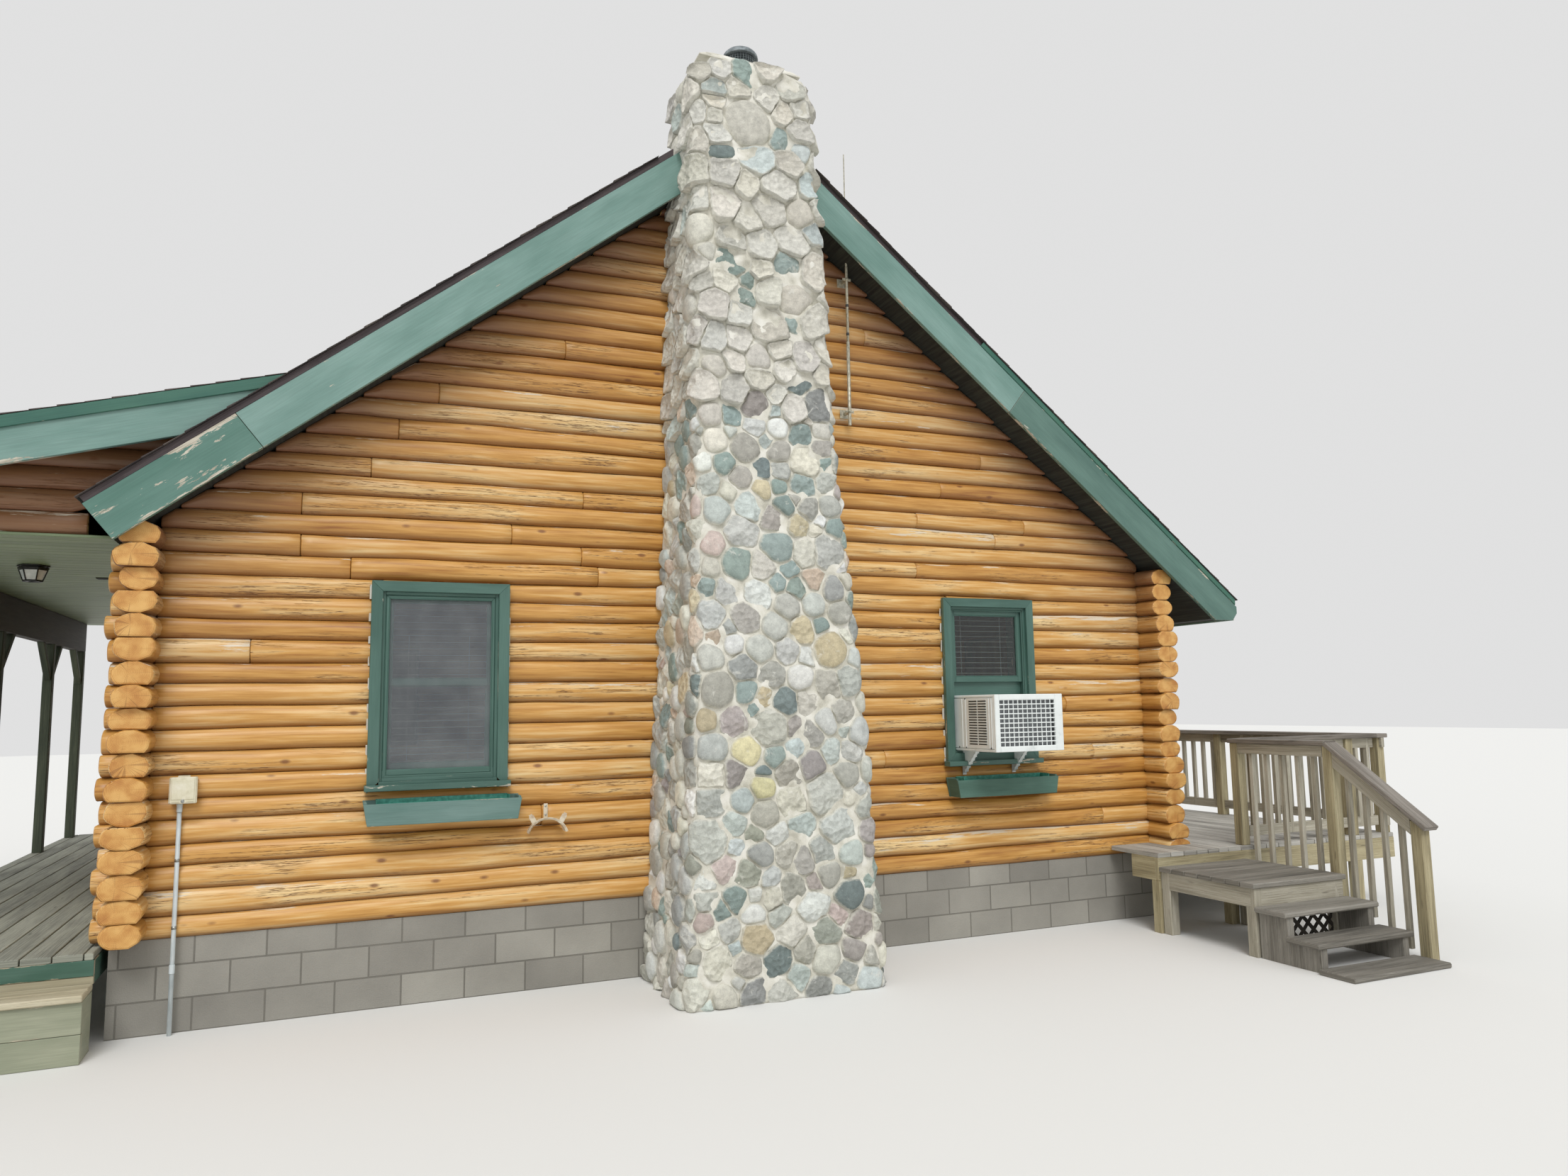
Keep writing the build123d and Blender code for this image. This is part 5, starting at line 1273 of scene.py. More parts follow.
def porch_board(x0, x1, below, width, y, thick, **more):
    a = Vector((x0, y, porch_top(x0))) - up * below
    b = Vector((x1, y, porch_top(x1))) - up * below
    porch_edge.add(a, b, up, width, thick, **more)


tilt = PORCH_PITCH
for y, out in ((porch_rake_y + PLANK / 2, -1), (porch_rake_back - PLANK / 2, 1)):
    porch_board(porch_eave_x, valley_x + 0.02, porch_width / 2, porch_width, y, PLANK,
        cut=(tilt, tilt), wear=0.02)
    porch_board(porch_eave_x, valley_x + 0.02, 0.040, 0.070, y + out * 0.027, 0.016,
        cut=(tilt, tilt), kind=1)
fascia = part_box("porch_eave_fascia")
centre_x = (fascia[0].x + fascia[1].x) / 2
porch_edge.span(centre_x, (fascia[0].y, fascia[1].y), (fascia[0].z + fascia[1].z) / 2, Z, 0.295,
    PLANK, wear=0.02)
porch_edge.piece("porch_edge_boards", ["porch_rakes", "porch_eave_fascia"], "rake_paint",
    [teal_paint, green_trim_paint])
eave = Boards()
low, high, mid = middle_of("right_eave_fascia")
eave.span(mid.x, (low.y, high.y), mid.z, Z, high.z - low.z,
    high.x - low.x, wear=0.02)
eave.piece("right_eave_board", "right_eave_fascia", "rake_paint", [teal_paint])

# %% [markdown]
# ## Windows
#
# The windows are double-hung: two sashes in a boxed frame, with a flat casing mitred at its corners
# and a sill that stands out. Each ring is four boards. Seen from outside the glass is dark, because
# the room behind is, and what shows is the edges of the slats of a blind. On the left window an
# insect screen in front of both sashes turns the whole pane a dull grey.

# %% Sizes of a window
ROUGH_W, ROUGH_H, MIDDLE = 0.762, 1.219, 2.104
CASING, CASING_OUT, JAMB, RAIL = 0.070, 0.040, 0.022, 0.045
SASH_H = (ROUGH_H - 2 * JAMB) / 2 + RAIL / 2
STORM_DROP = 0.045


class Wall:
    # A place on a wall: u runs to the right as seen from outside, out away from the house.
    def __init__(self, corner, right, out):
        self.corner, self.right, self.out = Vector(corner), Vector(right), Vector(out)

    def at(self, u, z, out):
        p = self.corner + self.right * u + self.out * out
        return Vector((p.x, p.y, z))

    def board(self, boards, u, z, out, *size, **more):
        # Like span: a coordinate that changes along the board is a pair.
        ends = zip(*(c if isinstance(c, tuple) else (c, c) for c in (u, z, out)))
        boards.add(*(self.at(*end) for end in ends), *size, **more)


def ring(boards, wall, u, z, width, height, board, thick, out, mitre=True, foot=None, **more):
    # Four boards round an opening of width by height, with their outer face at out. The lowest one
    # is foot wide where that is given.
    n = out - thick / 2
    w, h, b = width / 2, height / 2, board / 2
    k = 1 if mitre else 0
    up, side = Vector((0, 0, 1)), wall.right
    wall.board(boards, (u - w - b * k, u + w + b * k), z + h + b, n, up, board, thick, cut=(-k, k),
        **more)
    if foot:
        wall.board(boards, (u - w, u + w), z - h - foot / 2, n, up, foot, thick, **more)
    else:
        wall.board(boards, (u - w - b * k, u + w + b * k), z - h - b, n, up, board, thick,
            cut=(k, -k), **more)
    tall = h + (b if mitre else board)
    wall.board(boards, u - w - b, (z - tall, z + tall), n, side, board, thick, cut=(k, -k), **more)
    wall.board(boards, u + w + b, (z - tall, z + tall), n, side, board, thick, cut=(-k, k), **more)


def window(boards, wall, u, lower_sash=True, storm=False):
    # Behind a storm screen the opening reaches lower, over a deep rail at the foot of the sash.
    drop = STORM_DROP if storm else 0.0
    ring(boards, wall, u, MIDDLE - drop / 2, ROUGH_W - 0.004, ROUGH_H - 0.004 + drop,
        CASING + 0.002, CASING_OUT, CASING_OUT, foot=CASING - drop if storm else None, wear=0.02)
    ring(boards, wall, u, MIDDLE - drop / 2, ROUGH_W - 2 * JAMB, ROUGH_H - 2 * JAMB + drop, JAMB,
        WALL + 0.012, 0.012, mitre=False)
    sill = MIDDLE - ROUGH_H / 2 - CASING - 0.012
    reach = CASING_OUT + 0.045
    wall.board(boards, (u - ROUGH_W / 2 - CASING - 0.015, u + ROUGH_W / 2 + CASING + 0.015), sill,
        reach / 2, wall.out, reach, 0.04, wear=0.035)
    # A narrow stop runs round inside the jamb.
    ring(boards, wall, u, MIDDLE, ROUGH_W - 2 * JAMB - 0.024, ROUGH_H - 2 * JAMB - 0.024, 0.012,
        0.014, 0.004)
    clear = ROUGH_W - 2 * JAMB - 0.001
    for level, depth, there in ((1, -0.020, True), (-1, -0.054, lower_sash)):
        if there:
            z = MIDDLE + level * ((ROUGH_H - 2 * JAMB - SASH_H) / 2 - 0.0005)
            ring(boards, wall, u, z, clear - 2 * RAIL, SASH_H - 2 * RAIL, RAIL, 0.032, depth,
                mitre=False)
            ring(boards, wall, u, z, clear - 2 * RAIL - 0.016, SASH_H - 2 * RAIL - 0.016, 0.009,
                0.020, depth - 0.004)
    if storm:
        tall = ROUGH_H - 2 * JAMB + drop
        ring(boards, wall, u, MIDDLE - drop / 2, clear - 0.044, tall - 0.044, 0.018, 0.020, 0.008)
        ring(boards, wall, u, MIDDLE - drop / 2, clear - 0.056, tall - 0.056, 0.008, 0.022, 0.0115)
        foot = MIDDLE - ROUGH_H / 2
        wall.board(boards, (u - clear / 2, u + clear / 2), foot - 0.004, -0.004, Z, 0.06, 0.022)


front_wall = Wall((0, front_y, 0), (1, 0, 0), (0, -1, 0))
back_wall = Wall((0, back_y, 0), (-1, 0, 0), (0, 1, 0))
left_wall = Wall((left_x, 0, 0), (0, -1, 0), (-1, 0, 0))
right_wall = Wall((right_x, 0, 0), (0, 1, 0), (1, 0, 0))

# %% Frames and sashes
frames = Boards()
window(frames, front_wall, left_window_x, storm=True)
window(frames, front_wall, right_window_x, lower_sash=False)
frames.piece("window_frames_and_sashes", ["front_window_frames", "front_window_sashes"],
    "trim_green", [window_green_paint])
shaded_vinyl = bare_board("closed_vinyl_blind", "#8f8c82", "#a5a298", "#b5b2a9", tint=0.04,
    roughness=0.45)
others = Boards()
for wall, u in ((back_wall, -left_window_x), (back_wall, -right_window_x),
        (left_wall, -eave_window_y), (right_wall, eave_window_y)):
    window(others, wall, u)
    wall.board(others, (u - 0.34, u + 0.34), MIDDLE + 0.55, -0.15, Z, 0.045, 0.055, kind=1)
    for n in range(8):
        x = u + (n - 3.5) * 0.088
        wall.board(others, x, (MIDDLE - 0.56, MIDDLE + 0.53), -0.15, wall.right, 0.089, 0.003,
            kind=1)
others.piece("back_and_side_windows", "other_windows", "trim_green",
    [window_green_paint, shaded_vinyl])

# %% Old caulk beside the casings
old_caulk = painted_board("aged_white_caulk", "#c3bfb2", "#dedbd1", bare="#a07a4c", peel=0.12,
    roughness=0.7)
caulk = Boards()
for u in (left_window_x, right_window_x):
    for side in (-1, 1):
        for n in range(9):
            z = MIDDLE - 0.66 + n * 0.150 + rng.uniform(-0.02, 0.02)
            x = u + side * (ROUGH_W / 2 + CASING + 0.003)
            out = rng.uniform(-0.016, -0.010)
            front_wall.board(caulk, x, (z, z + rng.uniform(0.05, 0.13)), (out, out + 0.004), X,
                rng.uniform(0.01, 0.02), 0.012, ease=0.004, bow=0.004, step=0.03,
                wear=rng.uniform(0, 0.06))
caulk.piece("window_caulk", None, "mortar", [old_caulk])

# %% [markdown]
# ### Glass, blinds and screen
#
# Float glass is clear with a faint green edge, so it gets full transmission and an IOR of 1.5. The
# blinds are 50 mm slats of white vinyl, 45 mm apart, turned almost flat. The screen is glass-fibre
# mesh of about 1.5 mm, far too fine to model as threads here. A grey sheet with a fine weave in its
# transparency gives the same dulled view of what is behind.

# %% A finish with soft clouds
def clouded(name, roughness, tones, scale, detail=5.0, uneven=0.62, stretch=(1, 1, 1), metal=0.0,
        relief=0.0, base=None):
    # Dust, wear or grain in the piece's own space; scale is clouds per metre, and stretch draws
    # them out. tones run from the dark clouds to the light ones, with or without their places.
    if not base:
        tones, base = list(zip((0.34, 0.50, 0.68), tones)), tones[1]
    material, tree, shader = new_material(name, roughness, base)
    place = add(tree, "TexCoord", give="Object")
    place = add(tree, "VectorMath", [place, stretch], operation="MULTIPLY")
    cloud = {"Vector": place, "Scale": scale, "Detail": detail, "Roughness": uneven}
    cloud = add(tree, "TexNoise", cloud)
    body = add(tree, "ValToRGB", {"Fac": cloud}, tones)
    feed(shader, {"Base Color": body, "Metallic": metal})
    if relief:
        bump = add(tree, "Bump", {"Height": cloud, "Strength": 0.4, "Distance": relief})
        feed(shader, {"Normal": bump})
    return material


# %% Glass and blinds
clear_glass, tree, shader = new_material("clear_float_glass", 0.02, "#dfe8e4")
place = add(tree, "TexCoord", give="Object")
film = add(tree, "TexNoise", {"Vector": place, "Scale": 3.0, "Detail": 3.0})
film = add(tree, "MapRange", [film, 0.0, 1.0, 0.01, 0.08])
feed(shader, {"Transmission Weight": 1.0, "IOR": 1.5, "Roughness": film})
dress("window_glass", clear_glass)

blind_vinyl = clouded("moulded_vinyl_slat", 0.45, [(0.35, "#aaa69b"), (0.65, "#cfccc4")], 9.0, 4.0,
    0.5, base="#aeaba2")
slats = Boards()
for u in (left_window_x, right_window_x):
    z = MIDDLE + ROUGH_H / 2 - 0.06
    lowest = MIDDLE - (ROUGH_H / 2 - 0.06 if u < 0 else -0.03)
    front_wall.board(slats, (u - 0.34, u + 0.34), z + 0.02, -0.135, Z, 0.045, 0.055)
    while z > lowest:
        front_wall.board(slats, (u - 0.335, u + 0.335), z, -0.135, (0, 1, 0.07), 0.05, 0.003,
            bow=0.001)
        z -= 0.045
    for cord in (-0.2, 0.2):
        front_wall.board(slats, u + cord, (lowest, z + 0.9), -0.109, X, 0.003, 0.003)
slats.piece("window_blinds", None, "utility_plastic", [blind_vinyl])

# %% Insect screen of the left window
def grid_faces(columns, rows):
    # Four-sided faces over points that were laid row by row.
    wide = columns + 1
    starts = [j * wide + i for j in range(rows) for i in range(columns)]
    return [(a, a + 1, a + wide + 1, a + wide) for a in starts]


screen_mesh, tree, shader = new_material("glass_fibre_insect_screen", 0.8, "#83878a")
place = add(tree, "TexCoord", give="Object")
# Threads drawn 4 mm apart, coarser than the real 1.5 mm, so that they show close up.
moved = add(tree, "VectorMath", [place, (250.0, 1.0, 250.0)], operation="MULTIPLY")
axes = add(tree, "SeparateXYZ", [moved], give="all")
threads = []
for axis in (axes[0], axes[2]):
    part = add(tree, "Math", [axis], operation="FRACT")
    threads.append(add(tree, "Math", [part, 0.25], operation="LESS_THAN"))
cover = add(tree, "Math", [threads[0], threads[1]], operation="MAXIMUM")
cloud = add(tree, "TexNoise", {"Vector": place, "Scale": 5.0, "Detail": 3.0})
body = add(tree, "ValToRGB", {"Fac": cloud}, stops=[(0.35, "#777b80"), (0.65, "#8f9396")])
feed(shader, {"Base Color": body, "Alpha": cover})
half_w, half_h = ROUGH_W / 2 - JAMB - 0.024, (ROUGH_H + STORM_DROP) / 2 - JAMB - 0.024
columns, rows = 24, 40
points = []
for j in range(rows + 1):
    for i in range(columns + 1):
        u = left_window_x + half_w * (2 * i / columns - 1)
        z = MIDDLE - STORM_DROP / 2 + half_h * (2 * j / rows - 1)
        sag = 0.0015 * noise.noise((u * 6, z * 6, 1.0))
        points.append((u, front_y + 0.009 + sag, z))
new_piece("insect_screen", points, grid_faces(columns, rows), [screen_mesh], None)

# %% Filler panel beside the air conditioner
filler = Boards()
low, high, mid = middle_of("window_filler")
ac_low, ac_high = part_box("air_conditioner")
depth = mid.y
thick = high.y - low.y
for a, b in (((low.x, ac_high.z), (high.x, high.z)), ((low.x, low.z), (ac_low.x, ac_high.z)),
        ((ac_high.x, low.z), (high.x, ac_high.z))):
    if b[0] - a[0] > 0.004:
        middle_z = (a[1] + b[1]) / 2
        filler.span((a[0] + 0.001, b[0] - 0.001), depth, middle_z, Z, b[1] - a[1], thick)
filler.piece("window_filler_panel", "window_filler", "trim_green", [window_green_paint])

# %% [markdown]
# ## Window boxes
#
# The planter boxes are rough boards with slanted ends, painted with the house and now greyed. Each
# has a loose plastic liner, which shows above the front board.

# %% Planter boxes
box_paint = painted_board("weathered_box_paint", "#587770", "#6f8a84", peel=0.02, roughness=0.7)
shaded_paint = painted_board("box_paint_in_shade", "#426155", "#55766a", peel=0.0, roughness=0.7)
liner_green = clouded("moulded_green_polythene", 0.4, [(0.4, "#347a6b"), (0.65, "#4f9d8c")], 30.0,
    4.0, 0.5, base="#3f8f7e")
boxes = Boards()
BOX_TOP, BOX_FOOT, BOX_H, BOX_OUT, BOX_BOARD = 1.000, 0.945, 0.155, 0.180, 0.019
slant = (BOX_TOP - BOX_FOOT) / 2 / BOX_H
box_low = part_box("window_boxes")[0].z
for u, foot, kind, wear in ((left_window_x + 0.028, box_low + 0.035, 0, 0.02),
        (right_window_x + 0.040, box_low, 1, 0.0)):
    mid_z, mid_w = foot + BOX_H / 2, (BOX_TOP + BOX_FOOT) / 4
    for out, low in ((BOX_OUT - BOX_BOARD / 2, 0.016), (BOX_BOARD / 2 + 0.001, 0.0)):
        front_wall.board(boxes, (u - mid_w, u + mid_w), mid_z - low / 2, out, Z, BOX_H - low,
            BOX_BOARD, cut=(-slant, slant), kind=kind, wear=wear)
    for side in (-1, 1):
        lean = Vector((side * slant, 0, 1))
        centre = u + side * (mid_w - BOX_BOARD * 0.6)
        front_wall.board(boxes, centre, mid_z, (BOX_BOARD + 0.002, BOX_OUT - BOX_BOARD), lean,
            BOX_H - 0.004, BOX_BOARD, kind=kind, wear=wear)
    front_wall.board(boxes, (u - BOX_FOOT / 2 + 0.022, u + BOX_FOOT / 2 - 0.022), foot + 0.01,
        BOX_OUT / 2, Y, BOX_OUT - 2 * BOX_BOARD - 0.002, BOX_BOARD, kind=kind)
    for out, low in ((BOX_BOARD + 0.012, 0.028), (BOX_OUT - BOX_BOARD - 0.008, 0.050)):
        front_wall.board(boxes, (u - 0.42, u + 0.42), foot + BOX_H - low, out, Z, 0.07, 0.004,
            kind=2)
    for side in (-1, 1):
        front_wall.board(boxes, u + side * 0.42, foot + BOX_H - 0.028, (0.033, BOX_OUT - 0.029), Z,
            0.07, 0.004, kind=2)
    front_wall.board(boxes, (u - 0.42, u + 0.42), foot + 0.06, BOX_OUT / 2, Y, 0.12, 0.004, kind=2)
boxes.piece("planter_boxes", "window_boxes", "trim_green", [box_paint, shaded_paint, liner_green])

# %% [markdown]
# ## Air conditioner
#
# A room air conditioner is a box of folded, baked-enamel steel. What makes it read as one is the
# outside grille, twelve openings by ten before dark cooling fins, and the two columns of pressed
# louvres in its side. Each louvre is a small hood of its own, because a flat dark stripe would look
# printed. The finish has chalked to a soft off-white.

# %% Enamel, fins and the cabinet
enamel = clouded("baked_enamel_on_steel", 0.36, [(0.28, "#c3cac8"), (0.42, "#e0e5e3"), (0.7,
    "#e9eeec")], 7.0, 6.0, 0.65, base="#e4e9e6")
fins, tree, shader = new_material("aluminium_cooling_fins", 0.5, "#6a7276")
place = add(tree, "TexCoord", give="Object")
# Fins stand 2 mm apart on the real coil, drawn 10 mm apart here so that they show.
stripe = add(tree, "TexWave", {"Vector": place, "Scale": 32.0, "Distortion": 0.4}, give="Fac",
    wave_type="BANDS", bands_direction="X")
body = add(tree, "ValToRGB", {"Fac": stripe}, stops=[(0.2, "#51575a"), (0.8, "#989a9c")])
# Thin aluminium edges with painted shade in the gaps between them: only part of what the eye
# gets is bare metal.
feed(shader, {"Metallic": 0.6, "Base Color": body})

cabinet = Boards()
ax, bx, az, bz = ac_low.x, ac_high.x, ac_low.z, ac_high.z
ay, by = ac_low.y, ac_high.y
wide, tall = bx - ax, bz - az
mid = (ax + bx) / 2
for z in (az + 0.0125, bz - 0.0125):
    cabinet.span(mid, (ay + 0.03, by), z, X, wide - 0.002, 0.025, ease=0.008)
for x in (ax + 0.0125, bx - 0.0125):
    cabinet.span(x, (ay + 0.03, by), (az + bz) / 2, Z, tall - 0.052, 0.025, ease=0.002)
cabinet.span(mid, (by - 0.03, by - 0.005), (az + bz) / 2, Z, tall - 0.05, wide - 0.05)
gx0, gx1, gz0, gz1 = ax + 0.044, bx - 0.075, az + 0.040, bz - 0.042
plate = ay + 0.018
for x0, x1, z0, z1 in ((ax, gx0, az, bz), (gx1, bx, az, bz), (gx0, gx1, az, gz0),
        (gx0, gx1, gz1, bz)):
    long_way = (x1 - x0) > (z1 - z0)
    a = Vector((x0, plate, (z0 + z1) / 2)) if long_way else Vector(((x0 + x1) / 2, plate, z0))
    b = Vector((x1, plate, (z0 + z1) / 2)) if long_way else Vector(((x0 + x1) / 2, plate, z1))
    cabinet.add(a, b, (0, 0, 1) if long_way else (1, 0, 0), (z1 - z0) if long_way else (x1 - x0),
        0.034, ease=0.004 if long_way else 0.006, bow=0)
for n in range(13):
    x = gx0 + (gx1 - gx0) * n / 12
    cabinet.span(x, ay + 0.01, (gz0, gz1), X, 0.0062, 0.01, ease=0.002, bow=0)
for n in range(11):
    z = gz0 + (gz1 - gz0) * n / 10
    cabinet.span((gx0, gx1), ay + 0.008, z, Z, 0.0088, 0.01, ease=0.002, bow=0)
cabinet.span((gx0 + gx1) / 2, ay + 0.06, (gz0, gz1), X, gx1 - gx0, 0.04, kind=1, bow=0)
for side, x in ((-1, ax), (1, bx)):
    for column in (0, 1):
        near = ay + 0.125 + column * 0.130
        for n in range(17):
            z = bz - 0.045 - n * 0.0213
            cabinet.span(x + side * 0.001, (near, near + 0.112), z - 0.005, Z, 0.009, 0.004, kind=2,
                ease=0.001, bow=0)
            cabinet.span(x + side * 0.004, (near - 0.004, near + 0.116), z + 0.003,
                (side * 0.6, 0, 1), 0.009, 0.002, ease=0.0008, bow=0)
    for y in (ay + 0.055, ay + 0.090, ay + 0.420, ay + 0.470):
        cabinet.span(x + side * 0.001, y, (az + 0.03, bz - 0.03), Y, 0.012, 0.005, ease=0.002,
            bow=0)
    for y, z in ((ay + 0.07, az + 0.03), (ay + 0.42, az + 0.03), (ay + 0.52, az + 0.03),
            (ay + 0.42, bz - 0.03)):
        cabinet.span((x, x + side * 0.004), y, z, Z, 0.014, 0.014, kind=1, ease=0.004, bow=0)
inside_dark = clouded("unlit_sheet_steel", 0.7, [(0.3, "#15191b"), (0.7, "#2c3133")], 60.0, 2.0,
    0.5, base="#1f2426")
cabinet.piece("air_conditioner_cabinet", "air_conditioner", "ac_shell", [enamel, fins, inside_dark])

# %% Brackets under the cabinet
low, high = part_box("ac_brackets")
brackets = Boards()
for x in (low.x + 0.018, high.x - 0.018):
    top, reach_y = high.z, front_y - 0.200
    brackets.span(x, (front_y - 0.001, reach_y - 0.17), top - 0.003, X, 0.036, 0.005, ease=0.001)
    brackets.span(x, front_y - 0.003, (low.z, top), X, 0.036, 0.005, ease=0.001)
    brackets.span(x, (front_y - 0.004, reach_y), (low.z + 0.01, top - 0.006), X, 0.03, 0.004,
        ease=0.001)
    for side in (-1, 1):
        for n in range(6):
            a = front_y - 0.004 - (front_y - 0.004 - reach_y) * n / 6
            b = front_y - 0.004 - (front_y - 0.004 - reach_y) * (n + 1) / 6
            share = (n + 0.5) / 6
            foot = low.z + 0.010 + (top - 0.016 - low.z) * share
            brackets.span(x + side * 0.0155, (a + b) / 2, (foot, top - 0.005), Y, a - b, 0.0025,
                ease=0.0005, bow=0)
brackets.piece("cabinet_brackets", "ac_brackets", "bracket_steel", [enamel])

# %% [markdown]
# ## Covered porch
#
# The porch is framed from plain sawn timber: log siding closes its end over the ceiling, soffit
# boards run across, and a dark beam stands on square posts with two short braces each. Each board
# is its own sweep, because the gaps between them are what shows. The floor boards run away from the
# gable, so their sawn ends make the front edge.

# %% Siding over the end of the porch
porch_ceiling_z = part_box("porch_ceiling")[1].z
siding_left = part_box("porch_end_infill")[0].x
slope_end_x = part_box("left_roof_slope")[0].x + 0.001
siding = Tubes()
siding_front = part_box("porch_end_infill")[0].y
siding_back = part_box("porch_end_infill")[1].y
squeeze = lambda d: d * 0.7 if d < WALL / 2 else 0.060 - (WALL - d) * 0.1
for face_y, toward, first_number in ((siding_front, 1, 900), (siding_back, -1, 940)):
    for row in range(9):
        z0, z1 = porch_ceiling_z + row * COURSE, porch_ceiling_z + (row + 1) * COURSE
        low = lambda x, z0=z0: max(z0, roof_top(x)) if x > slope_end_x else z0
        high = lambda x, z1=z1: min(z1, porch_top(x) - 0.112)
        xs = [siding_left + 0.002 + 0.02 * i for i in range(126)]
        open_xs = [x for x in xs if high(x) - low(x) > 0.006 and x < valley_x]
        if len(open_xs) > 4:
            # All of the siding lies under the porch roof, so it gets painted shadow at 0.9 of full
            # strength.
            siding.log(lambda s, d, z: (s, face_y + toward * squeeze(d), z), open_xs[0],
                open_xs[-1], low, high, first_number + row, 0.11, shade=lambda s, z: 0.9)
siding.piece("porch_end_siding", "porch_end_infill", [stained_pine, sawn_pine])

# %% Ceiling, beam, posts and braces
soffit_paint = painted_board("shaded_green_soffit_paint", "#6f7f60", "#82926f", peel=-0.02)
beam_stain = bare_board("black_brown_beam_stain", "#211f1c", "#302d29", "#403c36")
post_stain = bare_board("dark_green_post_stain", "#2b3226", "#3d4535", "#545b47")
# The vents are flat near-black boards: painted shade of their louvred openings.
vent_painted_shade = bare_board("louvred_vent_in_painted_shade", "#14150f", "#1f211b", "#2b2d27")
low, high, mid = middle_of("porch_ceiling")
ceiling = Boards()
count = round((high.y - low.y) / 0.140)
pitch = (high.y - low.y) / count
for n in range(count):
    y = low.y + (n + 0.5) * pitch
    ceiling.span((low.x, high.x), y, mid.z + 0.0005, Y, pitch - 0.004,
        high.z - low.z - 0.001, ease=0.004)
for y in (2.75, 4.90):
    ceiling.span((-4.55, -4.12), y, low.z - 0.002, Y, 0.1, 0.006, kind=1)
ceiling.piece("porch_ceiling_boards", "porch_ceiling", "soffit_green", [soffit_paint, vent_painted_shade])

low, high, mid = middle_of("porch_beam")
beam_x = mid.x
beam_foot = low.z
beam = Boards()
for side in (-1, 1):
    beam.span(beam_x + side * 0.0225, (low.y, high.y), mid.z, Z,
        high.z - low.z - 0.001, 0.044, ease=0.004)
beam.piece("porch_beam_planks", "porch_beam", "trim_green", [beam_stain])

POST, BRACE, REACH = 0.089, 0.060, 0.380
last_y = high.y - POST / 2
low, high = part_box("porch_posts")
floor_z = low.z
porch_post_ys = [0.46, 2.336, 4.212, 6.088, last_y]
posts = Boards()
for n, y in enumerate(porch_post_ys):
    posts.span(beam_x, y, (floor_z, beam_foot), X, POST, POST, ease=0.006, bow=0.003)
    for side in (-1, 1):
        if (side < 0 and n == 0) or (side > 0 and n == len(porch_post_ys) - 1):
            continue
        edge, rise = y + side * POST / 2, REACH - BRACE * 0.7
        posts.span(beam_x, (edge, edge + side * rise), (beam_foot - rise, beam_foot), (0, 1, -side),
            BRACE * 0.99, BRACE, cut=(-side, side), ease=0.004)
posts.piece("porch_post_timbers", "porch_posts", "trim_green", [post_stain])

# %% Floor boards, rim and step
porch_grey = bare_board("foot_worn_grey_floor_paint", "#55584f", "#85877c", "#a5a799", tint=0.14)
rim_paint = painted_board("peeling_green_rim_paint", "#3b5f50", "#557568", bare="#b5ab92",
    peel=0.09)
rim_bare = painted_board("flaked_beige_rim_paint", "#a39b82", "#b5ad95", bare="#7c745e", peel=0.04)
tread_beige = bare_board("worn_beige_tread", "#857b64", "#b0a68b", "#c6bea5")
riser_grey = painted_board("greyed_green_riser_paint", "#8a8f79", "#a3a58f", bare="#c3bba4",
    peel=0.03)
low, high, mid = middle_of("porch_floor")
edges = [low.x + 0.0005] + [-5.480 + 0.155 * n for n in range(10)] + [high.x - 0.0005]
planks = Boards()
for a, b in zip(edges, edges[1:]):
    if b - a > 0.02:
        planks.span((a + b) / 2, (low.y, high.y), mid.z, X, b - a - 0.007,
            high.z - low.z, ease=0.004)
planks.piece("porch_floor_planks", "porch_floor", "deck_wood", [porch_grey])
floor_low, floor_high = low, high
low, high, mid = middle_of("porch_frame")
rim = Boards()
for y, side in ((low.y + PLANK / 2, 1), (high.y - PLANK / 2, -1)):
    rim.span((low.x, high.x), y, high.z - 0.046, Z, 0.09, PLANK, wear=0.03)
    rim.span((low.x, high.x), y + 0.003 * side, low.z + 0.0245, Z, 0.047, 0.032, kind=1)
for x in (low.x + PLANK / 2, high.x - PLANK / 2):
    rim.span(x, (low.y + 0.039, high.y - 0.039), mid.z, Z, high.z - low.z - 0.002,
        PLANK)
for n in range(1, 12):
    y = low.y + n * (high.y - low.y) / 12
    rim.span((low.x + PLANK, high.x - PLANK), y, mid.z, Z, high.z - low.z - 0.004,
        PLANK, kind=2)
rim.piece("porch_rim_and_joists", "porch_frame", "deck_wood", [rim_paint, rim_bare, riser_grey])
low, high, mid = middle_of("porch_step")
step = Boards()
for y in (low.y + 0.0715, low.y + 0.2175):
    step.span((low.x, high.x), y, high.z - PLANK / 2, Y, 0.143, PLANK, ease=0.007)
nosing = low.y + 0.025
for z, tall in ((0.081, 0.160), (0.250, 0.172)):
    step.span((low.x + 0.002, high.x - 0.002), nosing + PLANK / 2, z, Z, tall, PLANK, kind=1)
for x in (low.x + 0.021, mid.x, high.x - 0.021):
    step.span(x, (nosing + 0.04, high.y), 0.168, Z, 0.335, PLANK, kind=1)
step.piece("porch_step_boards", "porch_step", "deck_wood", [tread_beige, riser_grey])

# %% [markdown]
# ### Ceiling lantern
#
# The porch light is a six-sided lantern of black enamelled steel with frosted panes, fixed under
# the ceiling. The frame is thin bars along every edge. The panes are separate sheets behind them.

